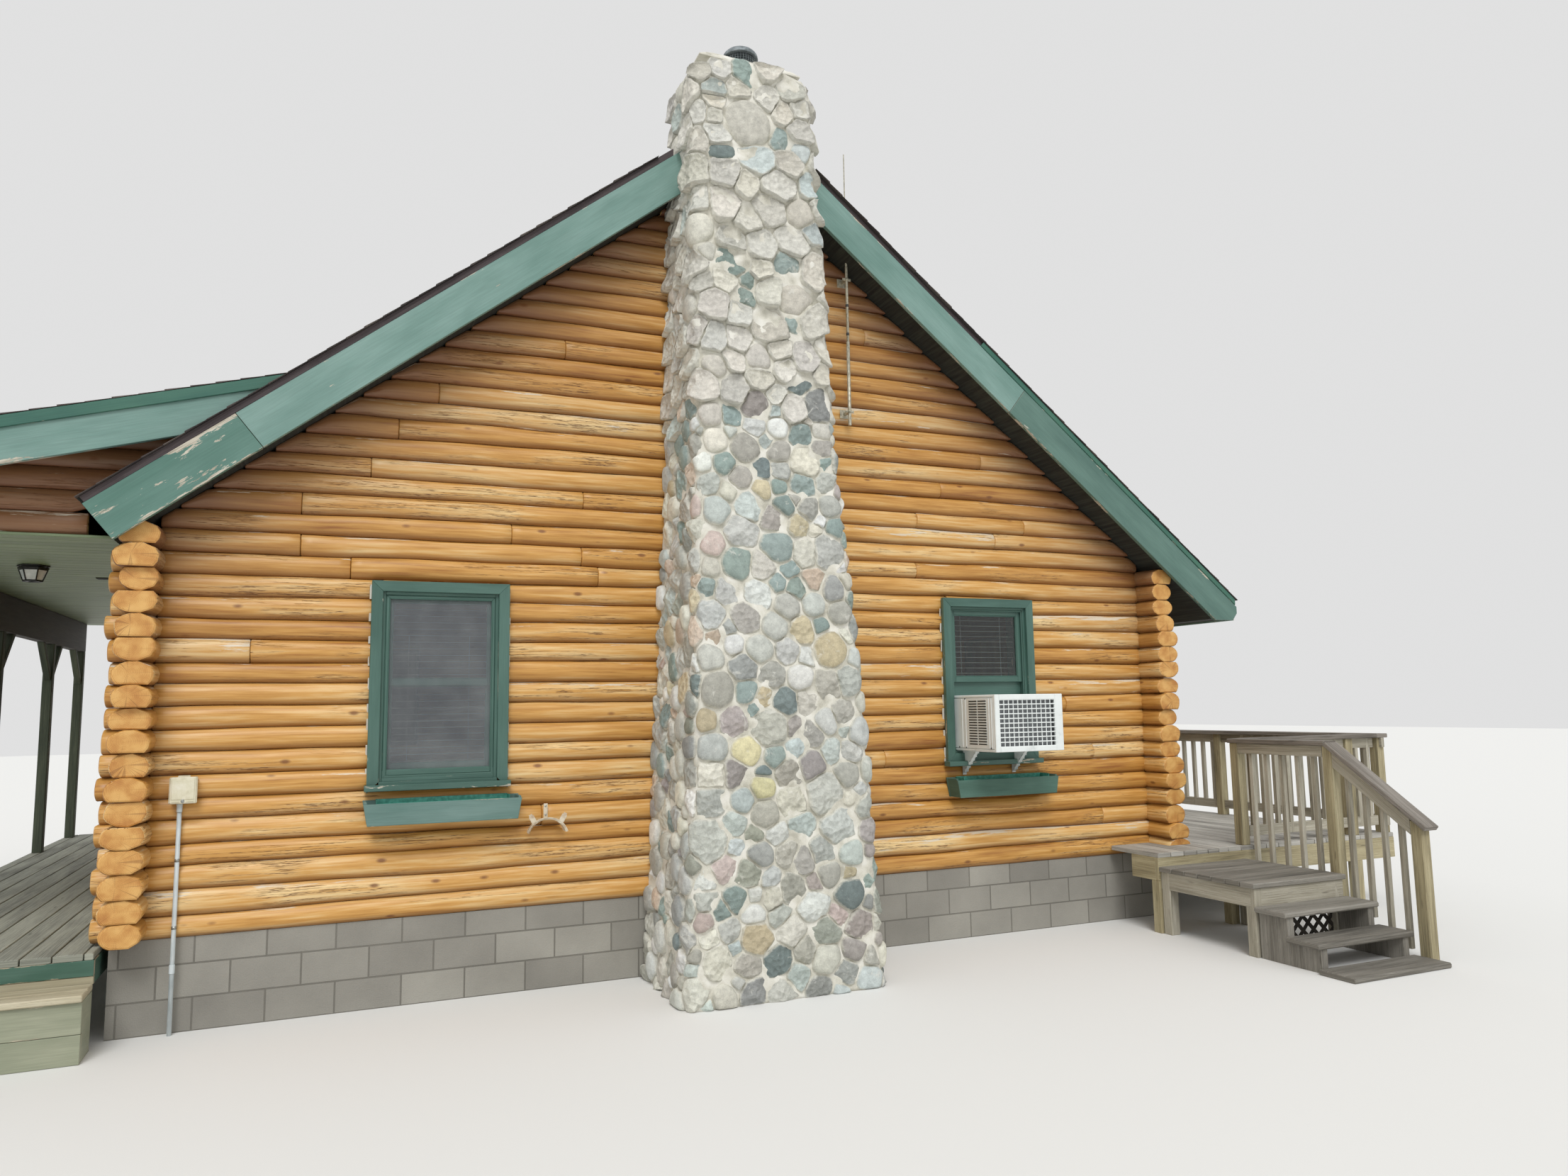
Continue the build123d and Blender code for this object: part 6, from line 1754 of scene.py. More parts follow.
# %% Lantern
lantern_black = clouded("black_enamelled_steel", 0.4, [(0.4, "#191817"), (0.7, "#34322e")], 45.0,
    4.0, 0.5, base="#22211f")
frosted = clouded("frosted_lamp_glass", 0.45, [(0.3, "#cfd4d0"), (0.7, "#f0f2ee")], 25.0, 3.0, 0.5,
    base="#e6e9e4")
low, high, mid = middle_of("porch_light")
cx, cy = mid.x, mid.y
hexagon = lambda r, z, n: Vector((cx + r * math.cos(math.pi / 3 * n),
    cy + r * math.sin(math.pi / 3 * n), z))
lantern = Boards()
rings = ((0.099, high.z - 0.006), (0.094, high.z - 0.022), (0.089, high.z - 0.032),
    (0.060, low.z + 0.006))
for n in range(6):
    for r, z in rings:
        lantern.add(hexagon(r, z, n), hexagon(r, z, n + 1), (0, 0, 1),
            0.012 if z < high.z - 0.01 else 0.010, 0.007, ease=0.001, bow=0)
    lantern.add(hexagon(0.089, high.z - 0.032, n), hexagon(0.060, low.z + 0.006, n), (0, 0, 1),
        0.008, 0.008, ease=0.001, bow=0)
for r, z in ((0.086, high.z - 0.004), (0.046, low.z + 0.004)):
    for n in range(3):
        lantern.add(hexagon(r * 0.98, z, n), hexagon(r * 0.98, z, n + 3), (1, 1, 0), r * 0.9, 0.005,
            ease=0.001, bow=0)
lantern.piece("porch_lantern_frame", "porch_light", "lamp", [lantern_black])
points, faces = [], []
for n in range(6):
    a, b = hexagon(0.086, high.z - 0.034, n), hexagon(0.086, high.z - 0.034, n + 1)
    c, d = hexagon(0.058, low.z + 0.008, n + 1), hexagon(0.058, low.z + 0.008, n)
    first = len(points)
    inward = (Vector((cx, cy, a.z)) - (a + b) / 2).normalized() * 0.003
    points += [tuple(p) for p in (a, b, c, d)] + [tuple(p + inward) for p in (a, b, c, d)]
    faces += [tuple(first + i for i in f) for f in ((0, 3, 2, 1), (4, 5, 6, 7), (0, 1, 5, 4),
        (1, 2, 6, 5), (2, 3, 7, 6), (3, 0, 4, 7))]
new_piece("porch_lantern_panes", points, faces, [frosted], None)

# %% [markdown]
# ## Open deck and stair
#
# The deck, its stair and their rails are treated pine. Where feet and rain reach it the wood is
# grey, and the posts have kept an olive tan. Boards run away from the gable with 6 mm gaps, and the
# landing's boards run across. The rails are built the way a carpenter does: posts first, then
# boards between them, balusters, and a flat cap over all.

# %% Materials and floor of the deck
deck_grey = bare_board("rain_greyed_deck_board", "#63605a", "#9b9890", "#bdbab2", tint=0.16)
landing_brown = bare_board("wet_dark_landing_board", "#4b4841", "#736f66", "#918d84", tint=0.14)
post_tan = bare_board("olive_tan_treated_post", "#6f674f", "#9d9272", "#bdb392")
rail_tan = bare_board("grey_tan_treated_rail", "#757063", "#a19b8a", "#bdb8a9")
cap_brown = bare_board("dark_greyed_rail_cap", "#4d4840", "#777067", "#98928a")
low, high, mid = middle_of("deck_floor")
gap = 0.008
column_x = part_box("deck_side_wall")[0].x - gap
side_x = right_x + 0.0003
stub_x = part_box("deck_side_wall")[1].x + gap
log_end_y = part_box("deck_side_wall")[0].y - gap
deck = Boards()
mid_z, thick = mid.z, high.z - low.z


def deck_strip(x0, x1, y0, y1):
    count = max(1, round((x1 - x0) / 0.145))
    for n in range(count):
        x = x0 + (n + 0.5) * (x1 - x0) / count
        deck.span(x, (y0, y1), mid_z, X, (x1 - x0) / count - 0.006, thick, ease=0.004, bow=0.001)


deck_strip(low.x, column_x, low.y, front_y - gap)
deck_strip(column_x, side_x, low.y, log_end_y)
deck_strip(side_x, stub_x, low.y, front_y - gap)
deck_strip(side_x, stub_x, front_y + WALL + gap, high.y)
deck_strip(stub_x, high.x, low.y, high.y)
deck.piece("deck_floor_planks", "deck_floor", "deck_wood", [deck_grey])
deck_low, deck_high = low, high

# %% Rim and joists under the deck, and the piers
low, high, mid = middle_of("deck_frame")
under = Boards()
mid_z, tall = mid.z, high.z - low.z
under.span((low.x, high.x), low.y + PLANK / 2, mid_z, Z, tall, PLANK)
under.span(high.x - PLANK / 2, (low.y + 0.039, high.y), mid_z, Z, tall, PLANK)
under.span((side_x, high.x - 0.039), high.y - PLANK / 2, mid_z, Z, tall, PLANK)
under.span(low.x + PLANK / 2, (low.y + 0.039, log_end_y), mid_z, Z, tall, PLANK)
under.span(stub_x + 0.03, (low.y + 0.039, high.y - 0.04), mid_z, Z, tall, PLANK)
for n in range(1, 14):
    y = low.y + n * (high.y - low.y) / 14
    under.span((stub_x + 0.05, high.x - 0.04), y, mid_z, Z, tall - 0.004, PLANK, kind=1)
under.piece("deck_rim_and_joists", "deck_frame", "deck_wood", [post_tan, rail_tan])
piers = Boards()
deck_pier_ys = [low.y + POST / 2 + n * (high.y - low.y - POST) / 3 for n in range(4)]
middle_x = 5.853
porch_pier_top, deck_pier_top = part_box("porch_frame")[0].z, low.z
spots = [(x, y, porch_pier_top) for y in porch_post_ys[1:] for x in (floor_low.x + POST / 2 + 0.010,
    floor_high.x - POST / 2)]
spots += [(deck_high.x - POST / 2, y, deck_pier_top) for y in deck_pier_ys[1:]]
spots += [(stub_x + PLANK, y, deck_pier_top) for y in deck_pier_ys]
spots += [(middle_x, deck_pier_ys[0], deck_pier_top), (deck_low.x + POST / 2, deck_pier_ys[0],
    deck_pier_top)]
for x, y, top in spots:
    piers.span(x, y, (0, top), X, POST, POST, ease=0.005)
piers.piece("floor_piers", "floor_posts", "deck_wood", [post_tan])

# %% Rails round the deck
RAIL_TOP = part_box("deck_side_rail")[1].z
CAP_W, CAP_T, SUB, BALUSTER = 0.140, PLANK, 0.089, PLANK


def straight_rail(name, node, start, end, posts, foot):
    # Level rail from start to end, with posts at given distances along it.
    rail = Boards()
    start, end = Vector(start), Vector(end)
    along = (end - start).normalized()
    length = (end - start).length
    side = Vector((along.y, -along.x, 0))
    at = lambda s, z: start + along * s + Vector((0, 0, z))
    for s in posts:
        rail.add(at(s, foot), at(s, RAIL_TOP - CAP_T), side, POST, POST, ease=0.005)
    marks = sorted([0.0, length] + [s for s in posts if 0.1 < s < length - 0.1])
    for a, b in zip(marks, marks[1:]):
        a1, b1 = a + (POST / 2 if a in posts else 0), b - (POST / 2 if b in posts else 0)
        for z in (RAIL_TOP - CAP_T - SUB / 2, foot + 0.070 + SUB / 2):
            rail.add(at(a1, z), at(b1, z), (0, 0, 1), SUB, BALUSTER, kind=1)
    rail.add(at(0, RAIL_TOP - CAP_T / 2), at(length, RAIL_TOP - CAP_T / 2), side, CAP_W, CAP_T,
        kind=2, ease=0.005)
    count = int(length / 0.143)
    for n in range(count):
        s = (n + 0.5) * length / count
        if all(abs(s - p) > POST / 2 + 0.02 for p in posts):
            rail.add(at(s, foot + 0.070), at(s, RAIL_TOP - CAP_T), side, BALUSTER, BALUSTER + 0.001,
                kind=1, bow=0.003)
    rail.piece(name, node, "rail_wood", [post_tan, rail_tan, cap_brown])


low, high, mid = middle_of("deck_front_rail")
front_rail_y = mid.y
straight_rail("deck_front_rail_boards", "deck_front_rail", (low.x, front_rail_y, 0),
    (high.x, front_rail_y, 0), [middle_x - low.x], low.z)
low, high, mid = middle_of("deck_side_rail")
side_rail_x = mid.x
reach = high.y - low.y
straight_rail("deck_side_rail_boards", "deck_side_rail", (side_rail_x, low.y, 0),
    (side_rail_x, high.y, 0), [0.070 + n * (reach - 0.140) / 3 for n in range(4)], low.z)
low, high, mid = middle_of("deck_back_rail")
back_rail_y = mid.y
straight_rail("deck_back_rail_boards", "deck_back_rail", (low.x, back_rail_y, 0),
    (high.x, back_rail_y, 0), [0.060], low.z)

# %% Landing, treads and stringers
low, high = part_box("stair_landing")
landing = Boards()
top = high.z
count = 7
for n in range(count):
    y = low.y + (n + 0.5) * (high.y - low.y) / count
    landing.span((low.x, high.x), y, top - PLANK / 2, Y, (high.y - low.y) / count - 0.005, PLANK,
        ease=0.005)
mid_z = top - PLANK - 0.070
for y in (low.y + 0.039, high.y - PLANK / 2):
    landing.span((low.x + 0.02, high.x - 0.02), y, mid_z, Z, 0.14, PLANK, kind=1)
for x in (low.x + 0.039, high.x - 0.039):
    landing.span(x, (low.y + 0.058, high.y - PLANK), mid_z, Z, 0.14, PLANK, kind=1)
for x in (low.x + 0.065, high.x - 0.065):
    for y in (low.y + 0.065, high.y - 0.050):
        landing.span(x, y, (0, top - 0.039), X, POST, POST, kind=1, ease=0.005)
landing.piece("stair_landing_boards", "stair_landing", "deck_wood", [landing_brown, rail_tan])
landing_low, landing_high = low, high

low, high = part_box("stair_treads")
treads = Boards()
for n in range(3):
    front = landing_low.y - (n + 1) * 0.266
    z = high.z - n * 0.166 - PLANK / 2
    treads.span((low.x, high.x), front + 0.143, z, Y, 0.286, PLANK, ease=0.009, bow=0.003)
treads.piece("stair_tread_planks", "stair_treads", "deck_wood", [landing_brown])
stringers = Boards()
low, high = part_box("stair_stringers")
for x in (low.x + 0.030, high.x - 0.030):
    previous = landing_low.y + 0.0095
    for n in range(3 if high.z > 0.3 else 2):
        front = landing_low.y - (n + 1) * 0.266 + 0.020
        top_z = landing_high.z - (n + 1) * 0.166 - PLANK
        if top_z > 0.02:
            stringers.span(x, (previous + front) / 2, (0, top_z), Y, previous - front - 0.0005,
                0.06, ease=0.003)
        previous = front
stringers.piece("stair_stringer_blocks", "stair_stringers", "deck_wood", [landing_brown])

# %% Rail of the stair
low, high, mid = middle_of("stair_rail")
x = mid.x
ys = (front_rail_y, -0.956, -1.660)
low_top = 1.033
slope = (RAIL_TOP - low_top) / (ys[1] - ys[2])
rail = Boards()
rail.span(x, ys[0], (deck_high.z, RAIL_TOP - CAP_T), X, POST, POST, ease=0.006)
rail.span(x, ys[1], (0, RAIL_TOP - CAP_T), X, POST, POST, ease=0.006, bow=0.003)
rail.span(x, ys[2], (0, low_top - CAP_T), X, POST, POST, ease=0.006, bow=0.003)
end_y = ys[2] - 0.090
incline = math.atan(slope)
up = Vector((0, 0, 1))
lean = Vector((0, -math.sin(incline), math.cos(incline)))
rail.span(x, (ys[0] + POST / 2, ys[1]), RAIL_TOP - CAP_T / 2, X, CAP_W, CAP_T, kind=2, ease=0.005)
drop = lambda y: RAIL_TOP - slope * (ys[1] - y)
thick = CAP_T / math.cos(incline)
rail.span(x, (ys[1] + 0.002, end_y), (drop(ys[1]) - thick / 2, drop(end_y) - thick / 2 + 0.004), X,
    CAP_W, CAP_T, kind=2, ease=0.005)
board_x = x - POST / 2 + 0.0195
rail.span(board_x, (ys[0] - POST / 2, ys[1] + POST / 2), RAIL_TOP - CAP_T - SUB / 2, up, SUB,
    BALUSTER, kind=1)
y0, y1 = ys[1] - POST / 2, ys[2] + POST / 2
deep = 0.100
under = lambda y: drop(y) - thick - deep / 2 / math.cos(incline)
rail.span(board_x, (y0, y1), (under(y0), under(y1)), lean, deep, BALUSTER, kind=1,
    cut=(-math.tan(incline), -math.tan(incline)))
foot = landing_high.z - 0.120
for n in range(5):
    y = ys[0] + (n + 1) * (ys[1] - ys[0]) / 6
    rail.span(x, y, (foot, RAIL_TOP - CAP_T - 0.002), X, BALUSTER, BALUSTER, kind=1, bow=0.004)
for n in range(4):
    y = ys[1] + (n + 1) * (ys[2] - ys[1]) / 5
    rail.span(x, y, (foot - (ys[1] - y) * 0.166 / 0.266, drop(y) - thick - 0.004), X, BALUSTER,
        BALUSTER, kind=1, bow=0.004)
rail.piece("stair_rail_boards", "stair_rail", "rail_wood", [post_tan, rail_tan, cap_brown])

# %% Lattice under the landing
lath_dark = bare_board("dark_cedar_lath", "#26231f", "#3a352e", "#4e483f")
low, high, mid = middle_of("lattice")
lattice = Boards()
middle, depth = mid.x, mid.y
for lean in (-1, 1):
    for n in range(-6, 7):
        centre = middle + n * 0.110
        t0, t1 = -(high.z - low.z) / 2, (high.z - low.z) / 2
        ends = []
        for t in (t0, t1):
            at_x = centre + lean * t
            across_edge = 0
            if at_x < low.x or at_x > high.x:
                t = ((low.x if at_x < low.x else high.x) - centre) * lean
                across_edge = 1
            ends.append((t, across_edge))
        if ends[1][0] - ends[0][0] > 0.03:
            cuts = [(-1 if edge else 1) for t, edge in ends]
            a, b = [Vector((centre + lean * t, depth + lean * 0.002, mid.z + t))
                for t, edge in ends]
            lattice.add(a, b, (lean, 0, -1), 0.032, 0.0038, cut=cuts, ease=0.001, bow=0)
lattice.piece("lattice_laths", "lattice", "deck_wood", [lath_dark])

# %% [markdown]
# ## Round parts and folded plates
#
# Conduit, mast and flue cap are turned shapes: rings of points along a line, each with its own
# radius. The rings are doubled where the real part has a hard edge, so that smooth shading doesn't
# smear it.

# %% Turned shapes
class Turned:
    def __init__(self):
        self.points, self.faces, self.kinds, self.smooth = [], [], [], []

    def ring(self, centre, across, third, radius, sides):
        first = len(self.points)
        for k in range(sides):
            angle = 2 * math.pi * k / sides
            self.points.append(tuple(centre + (across * math.cos(angle)
                + third * math.sin(angle)) * radius))
        return list(range(first, first + sides))

    def add(self, start, direction, profile, sides=24, kind=0, soft=False):
        # profile is a row of (distance along the line, radius).
        start, direction = Vector(start), Vector(direction).normalized()
        across = direction.orthogonal().normalized()
        third = direction.cross(across)
        place = lambda s, r: self.ring(start + direction * s, across, third, max(r, 0.0002), sides)
        low = first_ring = place(*profile[0])
        for n, (s, r) in enumerate(profile[1:]):
            if n and not soft:
                low = place(*profile[n])
            high = place(s, r)
            for k in range(sides):
                m = (k + 1) % sides
                self.faces.append((low[k], low[m], high[m], high[k]))
                self.kinds.append(kind)
                self.smooth.append(True)
            low = high
        for ring in (first_ring[::-1], low):
            self.faces.append(tuple(ring))
            self.kinds.append(kind)
            self.smooth.append(False)

    def piece(self, name, node, slot, materials):
        piece = new_piece(name, self.points, self.faces, materials, node, self.kinds)
        piece.data.polygons.foreach_set("use_smooth", self.smooth)
        return piece

# %% [markdown]
# ## Meter box, hose saddle and mast
#
# The meter box is a moulded cream cover with a hinge bar on top, a screw at its foot and a plastic
# conduit to the ground. The hose saddle is one strip of cream enamelled steel bent to an arch, with
# an ear at each side and a strap screwed to the wall. The mast is galvanised tube in two pieces,
# held by clamps. Galvanised steel has pale crystals, 5 to 15 mm wide, which give it its patchy
# look.

# %% Materials of the small fittings
cream_plastic = clouded("moulded_cream_polycarbonate", 0.45, ["#c9c3a8", "#d8d3ba", "#e2decb"],
    scale=14.0)
screw_steel = clouded("zinc_plated_screw", 0.4, ["#7d7f7c", "#9da09c", "#b9bcb8"], scale=160.0,
    metal=0.8)
pale_conduit = clouded("grey_pvc_conduit", 0.5, ["#aeb8ba", "#c3ccce", "#d3dadb"], scale=6.0,
    stretch=(4.0, 4.0, 1.0))
cream_enamel = clouded("cream_enamelled_strip_steel", 0.4, ["#b79f85", "#d5c9b1", "#e2d9c6"],
    scale=18.0)
galvanised = clouded("hot_dip_galvanised_steel", 0.45, ["#9a9684", "#b8b3a0", "#cbc7b6"],
    scale=70.0, detail=2.0, stretch=(1, 1, 0.5), metal=0.35)
dark_band = clouded("black_rubber_sleeve", 0.7, ["#2a2c2c", "#3a3c3b", "#4b4d4b"], scale=60.0)

# %% Meter box and conduit
low, high, mid = middle_of("utility_box")
box_foot = 1.372
cx, w = mid.x, high.x - low.x
meter = Boards()
base_y, lid_y = front_y - 0.022, low.y + 0.014
meter.span(cx, base_y, (box_foot, high.z), X, w - 0.008, 0.044, ease=0.006, bow=0)
meter.span(cx, lid_y + 0.006, (box_foot - 0.001, high.z + 0.001), X, w, 0.036, ease=0.009, bow=0)
inset = w - 0.026
meter.span(cx, low.y + 0.003, (box_foot + 0.024, high.z - 0.014), X, inset, 0.01, ease=0.004, bow=0)
for side in (-1, 1):
    meter.span((cx + side * 0.038 - 0.02, cx + side * 0.038 + 0.02), low.y + 0.003,
        box_foot + 0.013, Z, 0.005, 0.01, ease=0.001, bow=0)
meter.span((cx - 0.034, cx + 0.034), front_y - 0.028, high.z + 0.003, Z, 0.012, 0.016, ease=0.004,
    bow=0)
meter.piece("meter_cover", "utility_box", "utility_plastic", [cream_plastic])
pipe = Turned()
pipe_x = cx - 0.020
pipe.add((pipe_x, front_y - 0.0133, 0), (0, 0, 1), [(0, 0.013), (box_foot - 0.030, 0.013)])
pipe.add((pipe_x, front_y - 0.0165, box_foot - 0.055), (0, 0, 1),
    [(0, 0.0145), (0.004, 0.0165), (0.040, 0.0165), (0.044, 0.018), (0.056, 0.018)])
pipe.add((pipe_x, front_y - 0.0165, 0.36), (0, 0, 1), [(0, 0.0145), (0.003, 0.0162),
    (0.050, 0.0162), (0.053, 0.0145)])
pipe.add((cx, low.y + 0.002, box_foot + 0.014), (0, -1, 0), [(0, 0.010), (0.003, 0.010),
    (0.005, 0.007)], kind=1)
for z in (0.62, 1.02):
    pipe.add((pipe_x, front_y - 0.0135, z), (0, 0, 1), [(0, 0.0150), (0.018, 0.0150)], kind=1)
pipe.piece("meter_conduit", None, "utility_plastic", [pale_conduit, screw_steel])

# %% Hose saddle
low, high, mid = middle_of("hose_hanger")
cx, foot, radius, reach = mid.x, low.z, (high.x - low.x) / 2, high.y - low.y
points, faces = [], []
steps = 24


def saddle_strip(inner, outer, y0, y1, a0=18, a1=162, lift=lambda share: 0.0):
    # A band bent round the arch: radius may differ at its front, y0, and back, y1.
    first = len(points)
    for i in range(steps + 1):
        angle = math.radians(a0 + (a1 - a0) * i / steps)
        up = lift(i / steps)
        for y, r in ((y0, inner), (y1, outer), (y1, outer - 0.003), (y0, inner - 0.003)):
            points.append((cx + (r + up) * math.cos(angle), y, foot - 0.010
                + (r + up) * math.sin(angle)))
    for i in range(steps):
        for k in range(4):
            m = (k + 1) % 4
            a = first + i * 4
            faces.append((a + k, a + 4 + k, a + 4 + m, a + m))
    faces.append(tuple(first + k for k in range(4)))
    faces.append(tuple(first + steps * 4 + k for k in (3, 2, 1, 0)))


saddle_strip(radius - 0.006, radius - 0.006, low.y + 0.012, high.y - 0.002)
saddle_strip(radius + 0.006, radius - 0.006, low.y, low.y + 0.012)
new_piece("hose_saddle_arch", points, faces, [cream_enamel], "hose_hanger")
ears = Boards()
for side in (-1, 1):
    base = Vector((cx + side * 0.085, low.y + 0.008, foot + 0.092))
    tip = base + Vector((side * 0.030, -0.002, 0.056))
    ears.add(base, tip, (1, 0, -side * 0.5), 0.036, 0.003, ease=0.001, bow=0)
    ears.add(tip - Vector((side * 0.004, 0, 0.008)), tip + Vector((side * 0.006, 0, 0.012)),
        (1, 0, -side * 0.5), 0.024, 0.003, ease=0.001, bow=0)
ears.span(cx, front_y - 0.012, (foot + 0.11, foot + 0.222), X, 0.028, 0.003, ease=0.001, bow=0)
ears.piece("hose_saddle_ears", None, "hanger_steel", [cream_enamel])
screws = Turned()
for z in (foot + 0.145, foot + 0.205):
    screws.add((cx, front_y - 0.012, z), (0, -1, 0), [(0, 0.007), (0.003, 0.007), (0.005, 0.004)],
        12)
screws.add((cx, front_y + 0.03, foot + 0.205), (0, -1, 0), [(0, 0.003), (0.045, 0.003)], 8)
screws.piece("hose_saddle_screws", None, "hanger_steel", [screw_steel])

# %% Mast
low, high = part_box("antenna_mast")
mx, my = 0.990, 0.410
mast_foot, mast_top = low.z, 5.507
mast = Turned()
tall = mast_top - mast_foot
mast.add((mx, my, mast_foot), (0, 0, 1), [(0, 0.0125), (0.002, 0.014), (tall * 0.52, 0.014)])
mast.add((mx, my, mast_foot + tall * 0.50), (0, 0, 1), [(0, 0.0115), (tall * 0.50 - 0.01, 0.0115),
    (tall * 0.5, 0.009)])
for share in (0.56, 0.74):
    mast.add((mx, my, mast_foot + tall * share), (0, 0, 1), [(0, 0.0128), (0.022, 0.0128)], kind=1)
mast.add((mx, my, mast_top - 0.005), (0, 0, 1), [(0, 0.0100), (0.030, 0.0095), (0.040, 0.006),
    (high.z - mast_top + 0.005, 0.0045)], 12)
clamps = Boards()
for z in (mast_foot + 0.115, mast_top - 0.115):
    mast.add((mx, my, z - 0.012), (0, 0, 1), [(0, 0.0165), (0.024, 0.0165)])
    clamps.span(mx, (my + 0.01, front_y), z, X, 0.02, 0.026, ease=0.002, bow=0)
    clamps.span((mx - 0.038, mx + 0.038), my, z, Z, 0.022, 0.008, ease=0.002, bow=0)
    clamps.span(mx, front_y + 0.001, (z - 0.036, z + 0.036), X, 0.085, 0.006, ease=0.002, bow=0)
    for side in (-1, 1):
        mast.add((mx + side * 0.027, my + 0.008, z), (0, -1, 0),
            [(0, 0.0065), (0.014, 0.0065), (0.015, 0.004), (0.024, 0.004)], 8)
mast.piece("mast_tube", "antenna_mast", "mast_steel", [galvanised, dark_band])
clamps.piece("mast_clamps", None, "mast_steel", [galvanised])

# %% [markdown]
# ## Flue cap and crown
#
# On top of the stack a mortar bed is floated to shed water, and the flue wears a domed cap of sheet
# steel over a square-mesh spark screen. The screen's wires stand 20 mm apart, so each one is
# modelled.

# %% Crown of mortar and the flue cap
low, high, mid = middle_of("chimney_crown")
flue_x, flue_y = mid.x, mid.y
bed_top = low.z + 0.060
columns, rows = 26, 16
points = []
for j in range(rows + 1):
    for i in range(columns + 1):
        u, v = 2 * i / columns - 1, 2 * j / rows - 1
        edge = max(abs(u), abs(v))
        drop = 0.012 + 0.048 * min(1.0, (1 - edge) * 4.0) if edge < 1 else 0.0
        x, y = flue_x + u * (high.x - low.x) / 2 * 0.998, flue_y + v * (high.y - low.y) / 2 * 0.998
        lump = noise.noise((x * 9, y * 9, 2.0)) * 0.006
        points.append((x, y, min(low.z + drop + lump, bed_top + 0.004)))
faces = grid_faces(columns, rows)
border = [j * (columns + 1) for j in range(rows, 0, -1)] + list(range(columns + 1))
border += [j * (columns + 1) + columns for j in range(1, rows + 1)]
border += [rows * (columns + 1) + i for i in range(columns - 1, 0, -1)]
first = len(points)
points += [(points[i][0], points[i][1], low.z - 0.010) for i in border]
for k in range(len(border)):
    m = (k + 1) % len(border)
    faces.append((border[k], border[m], first + m, first + k)[::-1])
faces.append(tuple(range(first, first + len(border)))[::-1])
new_piece("mortar_crown", points, faces, [sandy_mortar], "chimney_crown")
cap_grey = clouded("weathered_sheet_steel", 0.5, ["#5d6467", "#7b8386", "#9aa1a3"], scale=20.0,
    metal=0.3)
soot = clouded("sooted_clay_flue", 0.9, ["#201f1e", "#35322f", "#4c4741"], scale=30.0, relief=0.002)
cap = Turned()
cap.add((flue_x, flue_y, bed_top - 0.02), (0, 0, 1), [(0, 0.112), (0.060, 0.112), (0.061, 0.100)],
    32, kind=1)
dome = [(0, 0.139), (0.010, 0.1395)] + [(0.010 + 0.075 * math.sin(a * math.pi / 16),
    0.1395 * math.cos(a * math.pi / 16)) for a in range(1, 8)] + [(0.0865, 0.004)]
cap.add((flue_x, flue_y, high.z - 0.0875), (0, 0, 1), dome, 32, soft=True)
for n in range(36):
    angle = 2 * math.pi * n / 36
    cap.add((flue_x + 0.122 * math.cos(angle), flue_y + 0.122 * math.sin(angle), bed_top - 0.01),
        (0, 0, 1), [(0, 0.0014), (high.z - 0.085 - bed_top + 0.01, 0.0014)], 5)
for n in range(6):
    z = bed_top + 0.005 + n * 0.019
    cap.add((flue_x, flue_y, z), (0, 0, 1), [(0, 0.1225), (0.0012, 0.1238), (0.0026, 0.1225)], 36)
cap.piece("flue_cap", None, "mortar", [cap_grey, soot])

# %% [markdown]
# ## Doors
#
# Neither door can be seen from the front, so both are plain ledged doors of vertical pine planks in
# a lined frame, with a round knob, as cabins like this have.

# %% Doors of the long walls
door_pine = bare_board("varnished_pine_door", "#8a5c30", "#b98a4e", "#d3a767")
for node, wall in (("porch_door", left_wall), ("deck_door", right_wall)):
    low, high, mid = middle_of(node)
    u = mid.y * wall.right.y
    wide, foot, top = high.y - low.y, low.z, high.z
    leaf = Boards()
    clear = wide - 2 * JAMB
    for n in range(6):
        x = u + (n - 2.5) * clear / 6
        wall.board(leaf, x, (foot + 0.004, top - JAMB - 0.003), -0.112, wall.right,
            clear / 6 - 0.003, 0.04, ease=0.004)
    for z in (foot + 0.18, (foot + top) / 2, top - 0.22):
        wall.board(leaf, (u - clear / 2 + 0.02, u + clear / 2 - 0.02), z, -0.088, Z, 0.11, 0.014)
    for side in (-1, 1):
        wall.board(leaf, u + side * (wide - JAMB) / 2, (foot, top), -WALL / 2, wall.right, JAMB,
            WALL, kind=1)
        wall.board(leaf, u + side * (wide / 2 + 0.03), (foot, top + 0.06), 0.01, wall.right, 0.07,
            0.022, kind=1)
    wall.board(leaf, (u - wide / 2 + JAMB, u + wide / 2 - JAMB), top - JAMB / 2, -WALL / 2, Z, JAMB,
        WALL, kind=1)
    wall.board(leaf, (u - wide / 2 - 0.065, u + wide / 2 + 0.065), top + 0.03, 0.012, Z, 0.07,
        0.024, kind=1)
    leaf.piece(node + "_planks", node, "log_wood", [door_pine, window_green_paint])
    knob = Turned()
    knob.add(wall.at(u + clear / 2 - 0.07, foot + 0.95, -0.093), wall.out,
        [(0, 0.026), (0.004, 0.026), (0.008, 0.010), (0.026, 0.011), (0.036, 0.024), (0.048, 0.027),
        (0.058, 0.020), (0.062, 0.003)], 20, soft=True)
    knob.piece(node + "_knob", None, "log_wood", [screw_steel])
